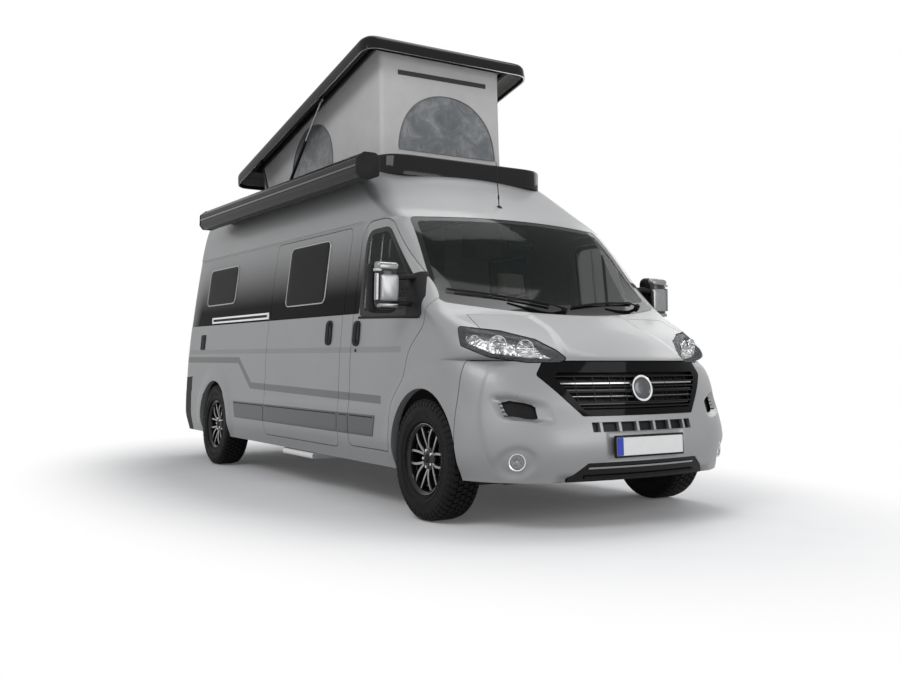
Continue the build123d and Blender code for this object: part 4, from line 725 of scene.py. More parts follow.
def body_solid(inset=0.0, fine=True, z_low=.280, z_high=ROOF, grow=None):
    """The closed body form as a dense grid, drawn in by inset."""
    zs = [z for z in (LEVELS_FINE if fine else LEVELS_COARSE)]
    counts = FINE if fine else COARSE
    half = np.array([[(x, y, z) for x, y in outline(z, inset, counts)] for z in zs])
    grid = np.concatenate([half, (half * (1, -1, 1))[:, -2:0:-1]], axis=1)
    if grow is not None:
        du = np.roll(grid, -1, axis=1) - np.roll(grid, 1, axis=1)
        dv = np.gradient(grid, axis=0)
        nrm = np.cross(du, dv)
        nrm /= np.linalg.norm(nrm, axis=2, keepdims=True) + 1e-12
        out = np.sign((nrm * (grid - np.array([0, 0, 1.2]))).sum(axis=2).mean())
        grid = grid + nrm * out * grow(grid)[..., None]
    grid[0, :, 2], grid[-1, :, 2] = z_low, z_high
    rows, cols = grid.shape[:2]
    verts = grid.reshape(-1, 3).tolist()
    faces = []
    for j in range(rows - 1):
        for i in range(cols):
            k = (i + 1) % cols
            faces.append((j * cols + i, j * cols + k, (j + 1) * cols + k, (j + 1) * cols + i))
    # caps: strips across the van between matching points of its two sides
    m = half.shape[1]
    for row, flip in ((0, True), (rows - 1, False)):
        base = row * cols
        for i in range(m - 1):
            a, b = base + i, base + i + 1
            c, d = base + (cols - i - 1) % cols if i + 1 < m - 1 else base + m - 1, base + (cols - i) % cols
            quad = [a, b, c, d]
            quad = [q for n2, q in enumerate(quad) if q not in quad[:n2]]
            if len(quad) > 2:
                faces.append(tuple(reversed(quad)) if flip else tuple(quad))
    return verts, faces


outer_tool = tool(*body_solid(grow=sculpt))
inner_tool = tool(*body_solid(.038, fine=False, z_low=.15, z_high=ROOF - .035))
for t in (outer_tool, inner_tool):
    t.data.materials.append(PAINT)
    t.data.materials.append(LINING)
for poly in inner_tool.data.polygons:
    poly.material_index = 1
print("outer", len(outer_tool.data.polygons))
shell = copy_of(outer_tool, "shell")
boolean(shell, [inner_tool])
glass_outer = tool(*body_solid(.004, fine=True))
glass_inner = tool(*body_solid(.009, fine=True, z_low=.2, z_high=ROOF - .01))
panes = copy_of(glass_outer, "panes")
boolean(panes, [glass_inner])
print("shell", len(shell.data.polygons), "panes", len(panes.data.polygons))

# ------------------------------------------------------------------ openings and panels
def grown(poly, g):
    """The outline moved out by g."""
    area = sum(poly[i - 1][0] * poly[i][1] - poly[i][0] * poly[i - 1][1] for i in range(len(poly)))
    turn = 1 if area > 0 else -1
    out = []
    for i, p in enumerate(poly):
        a, b, c = Vector(poly[i - 1]), Vector(p), Vector(poly[(i + 1) % len(poly)])
        u, v = (b - a).normalized(), (c - b).normalized()
        n1, n2 = Vector((u.y, -u.x)) * turn, Vector((v.y, -v.x)) * turn
        n = n1 + n2
        out.append(tuple(b + n * (g / max(n.length_squared / 2, 0.3))))
    return out


def on_side(poly, side, y0=.5, y1=1.25):
    return tool(*prism_y(poly, side * y0, side * y1))


def box_tool(x0, x1, y0, y1, z0, z1):
    return tool(*prism_y(rect(x0, x1, z0, z1), y0, y1))


def arch_tool(ax, r, rise, y0=.56, y1=1.25, side=None):
    az = TYRE_R + rise
    arc = [(ax + r * math.cos(a), az + r * math.sin(a)) for a in np.linspace(0, math.pi, 41)]
    poly = arc + [(ax - r, .10), (ax + r, .10)]
    sides = (side,) if side else (-1, 1)
    return tool(*merged([prism_y(poly, s * y0, s * y1) for s in sides]))


SEAM = .005
DOOR_R, DOOR_F = FRONT_AXLE - 1.066, FRONT_AXLE - .025
DOOR = rounded([(DOOR_R, .385), (DOOR_R, 1.955), (DOOR_F - .64, 1.955), (DOOR_F, 1.36), (DOOR_F, 1.20),
                (DOOR_F - .19, 1.04), (DOOR_F - .235, .86), (DOOR_F - .395, .70), (DOOR_F - .42, .385)],
               [.05, .16, .22, .05, .10, .25, .15, .15, .04], 7)
DOOR_PANE = rounded([(DOOR_R + .075, 1.27), (DOOR_R + .075, 1.895), (DOOR_F - .62, 1.895), (DOOR_F - .075, 1.38),
                     (DOOR_F - .04, 1.235)], [.10, .12, .16, .05, .05], 7)
SLIDE_R, SLIDE_F = DOOR_R - 1.66, DOOR_R - .185
SLIDE = rounded(rect(SLIDE_R, SLIDE_F, .360, 1.940), .06)
SCREEN = [(-.90, 1.345), (-.815, 1.962)]
arc_top = [(y, 1.985 - .023 * (y / .815) ** 2) for y in np.linspace(-.815, .815, 21)]
arc_low = [(y, 1.268 + .077 * (y / .90) ** 2) for y in np.linspace(.90, -.90, 21)]
SCREEN = rounded(arc_top + arc_low, [.05 if i in (0, 20, 21, 41) else .0005 for i in range(42)])
GRILLE = rounded([(-.430, .652), (-.655, .890), (-.600, .971), (.600, .971), (.655, .890), (.430, .652)], .02)
LAMP = rounded([(0, 1.180), (.250, 1.152), (.464, 1.100), (.598, 1.035), (.668, .985), (.630, .964), (.440, .964),
                (.230, .992), (.045, 1.062)], .015)
LAMP_TIP = (NOSE_X - .640, HALF - .055)
BONNET = [(NOSE_X - .780, .800), (NOSE_X - .520, .835), (NOSE_X - .330, .725), (NOSE_X - .215, .520),
          (NOSE_X + .05, .510)]
cowl = [(NOSE_X - .665 - .115 * (y / .8) ** 2, y) for y in np.linspace(-.8, .8, 17)]
BONNET = cowl + BONNET[1:] + [(x, -y) for x, y in reversed(BONNET[1:])]
TAIL_HALF = .790
LEAF = rect(-TAIL_HALF, -.003, .530, 2.240)
REAR_PANE = rounded(rect(-.690, -.130, 1.430, 1.950), .05)
TAIL_LAMP = rounded(rect(-.925, -.815, 1.000, 1.480), .03)
WINDOWS = {"rear_right": (-1, -.435, .340, 1.510, 1.825), "door_right": (-1, 1.650, 2.400, 1.420, 1.865),
           "rear_left": (1, -.435, .340, 1.510, 1.825), "lounge_left": (1, 1.650, 2.400, 1.420, 1.865)}
RAIN = 1.965


def lamp_tool(side, grow=0.0, back=0.0):
    g = math.sqrt(.5)
    ox, oy = LAMP_TIP[0] - .25 * g, LAMP_TIP[1] - .25 * g

    def at(depth):
        return lambda u, z: (ox + g * depth + g * u, side * (oy + g * depth - g * u), z)
    poly = grown(LAMP, grow) if grow else LAMP
    return tool(*prism_points(poly, at(back), at(.6)))


screen_cut = tool(*prism_x(SCREEN, 1.0, 3.4))
door_cut = {s: on_side(grown(DOOR, SEAM), s) for s in (-1, 1)}
slide_cut = on_side(grown(SLIDE, SEAM), -1)
bonnet_cut = tool(*prism_z(grown(BONNET, SEAM), BELT - SEAM, 1.5))
lamp_gap = {s: lamp_tool(s, .004) for s in (-1, 1)}
grille_cut = tool(*prism_x(GRILLE, 2.2, 3.4))
arch_f = arch_tool(*FRONT_ARCH)
arch_r = arch_tool(*REAR_ARCH)
tail_cut = tool(*prism_x(rounded(rect(-TAIL_HALF - SEAM, TAIL_HALF + SEAM, .530 - SEAM, 2.240 + SEAM), .02), -3.3,
                         -2.73))
window_cut = [on_side(rounded(rect(REAR_AXLE + a, REAR_AXLE + b, c, d), .045), s)
              for s, a, b, c, d in WINDOWS.values()]
tail_lamp_cut = [tool(*prism_x([(s * a * -1, b) for a, b in TAIL_LAMP], -3.3, -2.70)) for s in (-1, 1)]
bumper_zone = box_tool(NOSE_X - .555, 3.4, -1.3, 1.3, 0, BELT - SEAM)
rear_zone = box_tool(-3.4, -NOSE_X + .300, -1.3, 1.3, 0, .800)
hatch_cut = box_tool(FRONT_AXLE - 2.5, FRONT_AXLE - 1.45, -.48, .48, 2.27, 2.67)


def panel(name, keep_tools, cut_tools, mat, body, replaces, source=None, inside=None):
    """A piece of the shell between cutters; faces on its inner side take the second material."""
    o = copy_of(source or shell, name)
    if source:
        o.data.materials.clear()
        o.data.materials.append(mat)
    else:
        o.data.materials[0] = mat
        o.data.materials[1] = inside or LINING
    for t in keep_tools:
        boolean(o, [t], "INTERSECT")
    if cut_tools:
        boolean(o, cut_tools)
    shade(o, 32)
    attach(o, body)
    if replaces:
        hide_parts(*replaces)
    return o


panel("front_door_skin_right", [on_side(DOOR, -1)], [on_side(DOOR_PANE, -1), arch_f], PAINT_SIDE,
      "front_door_right", ["front_door_right"])
panel("front_door_skin_left", [on_side(DOOR, 1)], [on_side(DOOR_PANE, 1), arch_f], PAINT_SIDE,
      "front_door_left", ["front_door_left"])
panel("sliding_door_skin", [on_side(SLIDE, -1)], window_cut[1:2], PAINT_SIDE, "body", ["sliding_door"])
rear_keep = {s: tool(*prism_x([(-s * a, b) for a, b in rounded(LEAF, .012)], -3.3, -2.73)) for s in (-1, 1)}
rear_pane_cut = {s: tool(*prism_x([(-s * a, b) for a, b in REAR_PANE], -3.3, -2.7)) for s in (-1, 1)}
for s, side in ((-1, "right"), (1, "left")):
    panel(f"rear_door_skin_{side}", [rear_keep[s]], [rear_pane_cut[s]], PAINT, f"rear_door_{side}",
          [f"rear_door_{side}"])
panel("bonnet_skin", [tool(*prism_z(BONNET, BELT, 1.5)), box_tool(2.0, 3.4, -1.2, 1.2, 0, 2)],
      [lamp_gap[-1], lamp_gap[1], screen_cut], PAINT, "bonnet", ["bonnet"], inside=PAINT)
SLOT = rect(-.386, .386, .562, .618)
slot_cut = tool(*prism_x(rounded(SLOT, .006), 2.5, 3.4))
INSERT = rounded([(-.53, .20), (-.53, .304), (-.42, .388), (.42, .388), (.53, .304), (.53, .20)], .02)
insert_cut = tool(*prism_x(INSERT, 2.3, 3.4))
fog_cut = []
for s in (-1, 1):
    c = Vector((2.789, s * .808, .400))
    aim = Vector((.80, s * .60, 0)).normalized()
    f0 = c - aim * .3
    ring = circle(.050, 32)
    side_v, up_v = Vector((0, 0, 1)).cross(aim), Vector((0, 0, 1))
    fog_cut.append(tool(*prism_points(ring, lambda a, b: tuple(f0 + side_v * a + up_v * b),
                                      lambda a, b: tuple(f0 + aim * .5 + side_v * a + up_v * b))))
VENT_HOLES = []
for s in (-1, 1):
    for k in range(4):
        z = .657 + k * .0225
        a, b = .715 + .006 * k, .842 + .003 * k
        VENT_HOLES.append(tool(*prism_x([(s * u, v) for u, v in rounded(rect(a, b, z - .003, z + .003), .0028)], 2.2,
                                        3.4)))
panel("front_bumper_skin", [bumper_zone], [grille_cut, lamp_gap[-1], lamp_gap[1], arch_f, slot_cut, insert_cut]
      + fog_cut + VENT_HOLES, PAINT, "body", ["front_bumper"], inside=CHASSIS)
panel("rear_bumper_skin", [rear_zone], [tail_cut], GRAIN_BLACK, "body", ["rear_bumper"],
      inside=CHASSIS)
WING_R = DOOR_R - SEAM
panel("front_wing_skin", [box_tool(WING_R, 3.4, -1.3, 1.3, 0, RAIN)],
      [door_cut[-1], door_cut[1], bonnet_cut, box_tool(NOSE_X - .555 - SEAM, 3.4, -1.3, 1.3, 0, BELT), screen_cut,
       lamp_gap[-1], lamp_gap[1], arch_f], PAINT, "body", ["front_wings"])
for s, side in ((-1, "right"), (1, "left")):
    cuts = [arch_r, tail_cut, box_tool(-3.4, -NOSE_X + .300 + SEAM, -1.3, 1.3, 0, .800 + SEAM)] + tail_lamp_cut
    cuts += ([slide_cut, window_cut[0], door_cut[-1]] if s < 0 else window_cut[2:] + [door_cut[1]])
    panel(f"side_skin_{side}", [box_tool(-3.4, WING_R - .001, *sorted((0, s * 1.3)), 0, RAIN)], cuts, PAINT_SIDE,
          "body",
          [f"side_wall_{side}"])
panel("roof_skin", [box_tool(-3.4, 3.4, -1.3, 1.3, RAIN + .0005, 2.6)], [screen_cut, hatch_cut, tail_cut], PAINT,
      "body",
      ["high_roof"])

# windows
clear_zone = [(y * .955, 1.985 - .032 - .023 * (y / .815) ** 2) for y in np.linspace(-.815, .815, 21)]
clear_zone += [(y * .955, 1.268 + .075 + .060 * (y / .90) ** 2) for y in np.linspace(.90, -.90, 21)]
clear_zone = rounded(clear_zone, [.07 if i in (0, 20, 21, 41) else .0005 for i in range(42)])
SCREEN_PANE = tool(*prism_x(grown(SCREEN, -.002), 1.2, 3.3))
CLEAR_PANE = tool(*prism_x(clear_zone, 1.0, 3.4))
panel("windscreen_frit", [SCREEN_PANE], [CLEAR_PANE], GLOSS_BLACK, "body", ["windscreen"], panes)
panel("windscreen_pane", [CLEAR_PANE], [], WINDSHIELD, "body", ["windscreen"], panes)
FRAME_IN = rounded([(DOOR_R + .115, 1.315), (DOOR_R + .115, 1.860), (DOOR_F - .635, 1.860), (DOOR_F - .20, 1.445),
                    (DOOR_F - .17, 1.300)], [.09, .10, .13, .04, .04], 7)
for s, side in ((-1, "right"), (1, "left")):
    inner_pane = on_side(FRAME_IN, s)
    panel(f"door_pane_frame_{side}", [on_side(grown(DOOR_PANE, -.001), s)], [inner_pane], GLOSS_BLACK,
          f"front_door_{side}",
          [f"door_window_{side}"], panes)
    panel(f"door_pane_{side}", [inner_pane], [], SIDE_GLASS, f"front_door_{side}",
          [f"door_window_{side}"], panes)
    panel(f"rear_pane_{side}", [tool(*prism_x([(-s * a, b) for a, b in grown(REAR_PANE, -.001)], -3.3, -2.7))], [],
          ACRYLIC,
          f"rear_door_{side}", [f"rear_window_{side}"], panes)

# ------------------------------------------------------------------ points on the nose
_nose_cache = {}


def nose_point(y, z, out=0.0):
    """The point of the body's front at a width and height, and its outward normal; out moves it off the surface."""
    def x_at(yy, zz):
        key = round(zz, 4)
        if key not in _nose_cache:
            pts = outline(zz, 0.0, (4, 4, 60, 60, 60))
            _nose_cache[key] = pts[68:]
        pts = _nose_cache[key]
        return float(np.interp(abs(yy), -pts[::-1, 1] * 1.0, pts[::-1, 0]))
    x = x_at(y, z)
    e = .004
    dxdy = (x_at(y + e, z) - x_at(y - e, z)) / (2 * e)
    dxdz = (x_at(y, z + e) - x_at(y, z - e)) / (2 * e)
    n = Vector((1, -dxdy, -dxdz)).normalized()
    return Vector((x, y, z)) + n * out, n


def side_y(z, side, out=0.0):
    return side * (HALF - COLUMNS[2](z) + out)


SOLIDS = {}


def between(a, b):
    """The skin between two insets of the body form."""
    for inset in (a, b):
        if inset not in SOLIDS:
            SOLIDS[inset] = tool(*body_solid(inset, fine=True, z_low=.28 if inset == a else .2,
                                             z_high=ROOF if inset == a else ROOF - .005))
    o = copy_of(SOLIDS[a], "layer")
    boolean(o, [box_tool(2.0, 3.5, -1.3, 1.3, .25, 1.5)], "INTERSECT")
    boolean(o, [SOLIDS[b]])
    TOOLS.append(o)
    return o


# ------------------------------------------------------------------ headlights
lens_layer = between(.001, .005)
bowl_layer = between(.008, .075)
floor_layer = between(.062, .100)
for s, side in ((-1, "right"), (1, "left")):
    lens_cut, well = lamp_tool(s, -.001), lamp_tool(s, -.024)
    panel(f"headlight_lens_{side}", [lens_cut], [], CLEAR, "body", ["headlights"], lens_layer)
    panel(f"headlight_housing_{side}", [lamp_tool(s, -.002)], [well], GRILLE_BLACK, "body", [], bowl_layer)
    panel(f"headlight_back_{side}", [lamp_tool(s, -.003)], [], GLINT_PAINTED_REFLECTOR, "body", [], floor_layer)
    for k, (y, z, r) in enumerate(((.800, 1.085, .050), (.655, 1.060, .050), (.905, 1.105, .032))):
        c, n = nose_point(s * y, z, -.020)
        aim = Vector((1, s * .42, .0)).normalized()
        c = c - aim * .012
        prof = [(r * 1.06, .004), (r * 1.06, 0), (r, 0), (r * .92, -.020), (r * .66, -.042), (r * .3, -.052),
                (.001, -.054)]
        v, f = revolve(prof, 40, axis="x")
        m = aim.to_track_quat("X", "Z").to_matrix().to_4x4()
        m.translation = c
        new_object(f"headlight_bowl_{side}_{k}", [m @ Vector(p) for p in v], f, CHROME, "body", "lamp", 30)
        if k < 2:
            v, f = revolve([(.001, .0), (.012, -.002), (.020, -.010), (.023, -.022), (.023, -.050)], 32, axis="x")
            new_object(f"headlight_bulb_shield_{side}_{k}", [m @ Vector(p) for p in v], f,
                       CLEAR if k else DARK_CHROME, "body", "lamp", 30)
    # bright ribs between the two large bowls
    for k in range(5):
        z = 1.012 + k * .014
        pts = [nose_point(s * y, z, -.030)[0] for y in np.linspace(.58, .70, 6)]
        v, f = sweep(pts, rect(-.004, .004, -.002, .002))
        new_object(f"headlight_rib_{side}_{k}", v, f, BRIGHT, "body", "lamp", 30)

# ------------------------------------------------------------------ grille
GRILLE_IN = rounded([(-.418, .690), (-.560, .880), (-.535, .905), (.535, .905), (.560, .880), (.418, .690)], .02)
grille_layer = between(-.003, .036)
back_layer = between(.046, .056)
bar_layer = between(.006, .020)
g_in = tool(*prism_x(GRILLE_IN, 2.1, 3.5))
panel("grille_surround", [tool(*prism_x(grown(GRILLE, -.003), 2.1, 3.5))], [g_in, lamp_gap[-1], lamp_gap[1]],
      GRILLE_BLACK,
      "body", ["grille"], grille_layer)
panel("grille_back", [tool(*prism_x(grown(GRILLE, -.004), 2.1, 3.5))], [lamp_gap[-1], lamp_gap[1]], SATIN_BLACK,
      "body",
      [], back_layer)
bars = [box_tool(2, 3.5, -.7, .7, z - .0045, z + .0045) for z in (.722, .762, .802, .842, .880)]
for k, b in enumerate(bars):
    panel(f"grille_bar_{k}", [b, g_in], [], GLOSS_BLACK if k % 2 == 0 else DARK_CHROME, "body", [],
          bar_layer)
for k, y in enumerate((-.44, -.33, -.22, -.11, .11, .22, .33, .44)):
    panel(f"grille_post_{k}", [box_tool(2, 3.5, y - .003, y + .003, .735, .889), g_in], [], SATIN_BLACK, "body",
          [], bar_layer)
for k in range(7):
    z = .702 + .04 * (k / 1.0) * .75
    panel(f"grille_slat_{k}", [box_tool(2, 3.5, -.7, .7, z - .003, z + .003), g_in], [], SATIN_BLACK, "body",
          [], grille_layer)
c, n = nose_point(0, .808, .004)
m = n.to_track_quat("X", "Z").to_matrix().to_4x4()
m.translation = c
v, f = revolve([(.001, .016), (.030, .0155), (.052, .013), (.062, .010), (.064, .008)], 64, axis="x")
new_object("emblem_disc_blank", [m @ Vector(p) for p in v], f, EMBLEM_BLANK, "body", "black_plastic", 40)
v, f = revolve([(.064, .004), (.066, .014), (.072, .018), (.079, .014), (.082, .004), (.082, -.03), (.064, -.03),
                (.064, .004)],
               72, axis="x")
new_object("emblem_ring", [m @ Vector(p) for p in v], f, CHROME, "body", "black_plastic", 40)

# ------------------------------------------------------------------ bumper slot, insert, plate, fog lamps
slot_layer = between(.030, .040)
panel("bumper_slot_back", [tool(*prism_x(grown(SLOT, .004), 2.5, 3.4))], [], SATIN_BLACK, "body", [],
      slot_layer)
rib_layer = between(.003, .032)
for k, y in enumerate((-.325, -.195, -.065, .065, .195, .325)):
    panel(f"bumper_rib_{k}", [box_tool(2.5, 3.4, y - .009, y + .009, SLOT[0][1], SLOT[2][1])], [], PAINT, "body",
          [],
          rib_layer)
insert_layer = between(.012, .050)
panel("lower_insert", [tool(*prism_x(grown(INSERT, -.002), 2.3, 3.4))], [], GLOSS_BLACK, "body", [],
      insert_layer)
lip_layer = between(-.000, .030)
panel("lower_insert_lip", [tool(*prism_x(grown(rect(-.43, .43, .296, .312), -.001), 2.3, 3.4))], [], SATIN_BLACK,
      "body",
      [], lip_layer)
panel("lower_insert_bar", [tool(*prism_x(rect(-.41, .41, .352, .362), 2.3, 3.4))], [], DARK_CHROME, "body",
      [], between(.004, .022))


def plate(name, centre, nrm, body, slot):
    m = Vector(nrm).to_track_quat("X", "Z").to_matrix().to_4x4()
    m.translation = Vector(centre)
    a = bevelled_box(name + "_holder", (-.018, -.268, -.064), (.002, .268, .064), .006, SATIN_BLACK, body, 3, m)
    v, f = prism_x(rounded(rect(-.260, .260, -.055, .055), .010), .002, .0045)
    new_object(name + "_blank", [m @ Vector(p) for p in v], f, WHITE_PLATE, body, slot, 30)
    v, f = prism_x(rounded(rect(-.256, -.212, -.051, .051), .006), .0045, .0050)
    new_object(name + "_band", [m @ Vector(p) for p in v], f, BLUE_PLATE, body, slot, 30)
    rim = rounded(rect(-.260, .260, -.055, .055), .010)
    inner = grown(rim, -.003)
    k = len(rim)
    v = [(x, a, b) for x in (.0045, .0056) for loop in (rim, inner) for a, b in loop]
    f = []
    for i in range(k):
        j = (i + 1) % k
        f += [(2 * k + i, 2 * k + j, 3 * k + j, 3 * k + i), (i, j, 2 * k + j, 2 * k + i),
              (k + i, 3 * k + i, 3 * k + j, k + j),
              (i, k + i, k + j, j)]
    new_object(name + "_edge", [m @ Vector(p) for p in v], f, SATIN_BLACK, body, slot, 30)


front_c = nose_point(0, .477, .012)[0]
plate("front_plate", front_c, (1, 0, .03), "body", "black_plastic")
for s, side in ((-1, "right"), (1, "left")):
    aim = Vector((.86, s * .50, 0)).normalized()
    c = Vector((2.776, s * .800, .400))
    m = aim.to_track_quat("X", "Z").to_matrix().to_4x4()
    m.translation = c
    v, f = revolve([(.050, -.020), (.052, -.002), (.049, .004), (.043, .002), (.041, -.010), (.041, -.020),
                    (.050, -.020)], 56, axis="x")
    new_object(f"fog_ring_{side}", [m @ Vector(p) for p in v], f, BRIGHT, "body", "lamp", 40)
    v, f = revolve([(.041, -.006), (.03, -.001), (.015, .001), (.0005, .0015)], 48, axis="x")
    new_object(f"fog_lens_{side}", [m @ Vector(p) for p in v], f, CLEAR, "body", "lamp", 40)
    v, f = revolve([(.041, -.012), (.034, -.028), (.020, -.040), (.0005, -.044)], 48, axis="x")
    new_object(f"fog_bowl_{side}", [m @ Vector(p) for p in v], f, CHROME, "body", "lamp", 40)
    v, f = revolve([(.0005, -.010), (.010, -.012), (.013, -.020), (.013, -.040)], 24, axis="x")
    new_object(f"fog_bulb_{side}", [m @ Vector(p) for p in v], f, DARK_CHROME, "body", "lamp", 40)
vent_back = between(.060, .070)
panel("bumper_vent_back", [box_tool(2.4, 3.4, -.90, .90, .60, .76)], [box_tool(2.3, 3.5, -.66, .66, .5, .8)],
      SATIN_BLACK, "body",
      [], vent_back)
# ------------------------------------------------------------------ wheels
RIM_R = .203
WHEELS = (("front_right", 2.051, -1, 1.810), ("front_left", 2.051, 1, 1.810),
          ("rear_right", -1.984, -1, 1.790), ("rear_left", -1.984, 1, 1.790))


def tread_blocks():
    """The tread: rows of lugs round the crown and the shoulders, as one mesh spun about Y; +Y is the outside."""
    parts = []
    count = 54
    half_t = math.pi / count
    rows = ((-.094, -.062, .30, .0), (-.055, -.022, -.28, .5), (-.016, .016, .20, .0), (.022, .055, -.28, .5),
            (.062, .094, .30, .0))
    top, foot = TYRE_R - .0006, TYRE_R - .012
    for y0, y1, skew, shift in rows:
        for k in range(count):
            a = 2 * math.pi * (k + shift) / count
            v = []
            for r, w in ((foot, .40), (top, .37)):
                for yy, sg in ((y0, -1), (y1, -1), (y1, 1), (y0, 1)):
                    t = a + half_t * 2 * w * sg + skew * (yy - (y0 + y1) / 2) / .05 * half_t
                    edge = .0 if abs(yy) < .08 else .007
                    rr = r - edge
                    v.append((rr * math.cos(t), yy, rr * math.sin(t)))
            f = [(4, 5, 6, 7), (0, 4, 7, 3), (1, 2, 6, 5), (0, 1, 5, 4), (3, 7, 6, 2)]
            parts.append((v, f))
    # shoulder lugs running down the sidewall
    for side in (-1, 1):
        for k in range(count):
            a = 2 * math.pi * (k + .25) / count
            long = .030 if k % 2 else .018
            v = []
            for yy, r in ((.0935, TYRE_R - .0075), (.1085, TYRE_R - .026), (.1120, TYRE_R - .026 - long)):
                for sg in (-1, 1):
                    t = a + half_t * .72 * sg
                    v.append((r * math.cos(t), side * yy, r * math.sin(t)))
            for yy, r in ((.085, TYRE_R - .020), (.100, TYRE_R - .032), (.1060, TYRE_R - .030 - long)):
                for sg in (-1, 1):
                    t = a + half_t * .78 * sg
                    v.append((r * math.cos(t), side * yy, r * math.sin(t)))
            f = [(0, 1, 3, 2), (2, 3, 5, 4), (0, 2, 8, 6), (2, 4, 10, 8), (1, 7, 9, 3), (3, 9, 11, 5), (0, 6, 7, 1),
                 (4, 5, 11, 10)]
            parts.append((v, f))
    return merged(parts)


def carcass():
    c = .1125
    prof = [(RIM_R + .001, -.078), (RIM_R + .014, -.086), (RIM_R + .030, -.104), (RIM_R + .055, -.1105), (.290, -c),
            (.318, -.1105),
            (.340, -.106), (.352, -.100), (.3595, -.088), (.3605, -.05), (.3610, 0), (.3605, .05), (.3595, .088),
            (.352, .100),
            (.340, .106), (.318, .1105), (.290, c), (RIM_R + .055, .1105), (RIM_R + .030, .104),
            (RIM_R + .014, .086), (RIM_R + .001, .078)]
    fine = []
    for a, b in zip(prof, prof[1:]):
        fine += [a, ((a[0] + b[0]) / 2, (a[1] + b[1]) / 2)]
    fine.append(prof[-1])
    # the plain carcass; the raised rings on the sidewall are the bands added in wheel_meshes
    return revolve(fine, 128, axis="y")


def ring_band(r, w, y, lift, n=128):
    prof = [(r - w, y), (r - w * .6, y + lift), (r + w * .6, y + lift), (r + w, y)]
    return revolve(prof, n, axis="y")


def arm(a0, a1, r0, r1, wide0, wide1, y0, y1, thick):
    """One arm of a V spoke: a crowned bar between two angles and radii. Returns its body and its machined edges."""
    n, k = 9, 6
    v, fv = [], []
    for i in range(n):
        t = i / (n - 1)
        r = r0 + (r1 - r0) * t
        a = a0 + (a1 - a0) * t
        w = wide0 + (wide1 - wide0) * t
        y = y0 + (y1 - y0) * t + .007 * math.sin(math.pi * t)
        th = thick * (1 - .2 * t)
        c, s = math.cos(a), math.sin(a)
        for x, yy in ((-w, y - th), (-w, y - .004), (-w * .74, y), (w * .74, y), (w, y - .004), (w, y - th)):
            v.append((x * c + r * s, yy, -x * s + r * c))
        for x in (-.70 * w, .70 * w):
            fv.append((x * c + r * s, y + .0007, -x * s + r * c))
    f = []
    for i in range(n - 1):
        for j in range(k):
            p, q = i * k + j, i * k + (j + 1) % k
            f.append((p, p + k, q + k, q))
    f.append(tuple(range(k)))
    f.append(tuple((n - 1) * k + j for j in range(k))[::-1])
    ff = [(2 * i, 2 * i + 2, 2 * i + 3, 2 * i + 1) for i in range(n - 1)]
    return (v, f), (fv, ff)


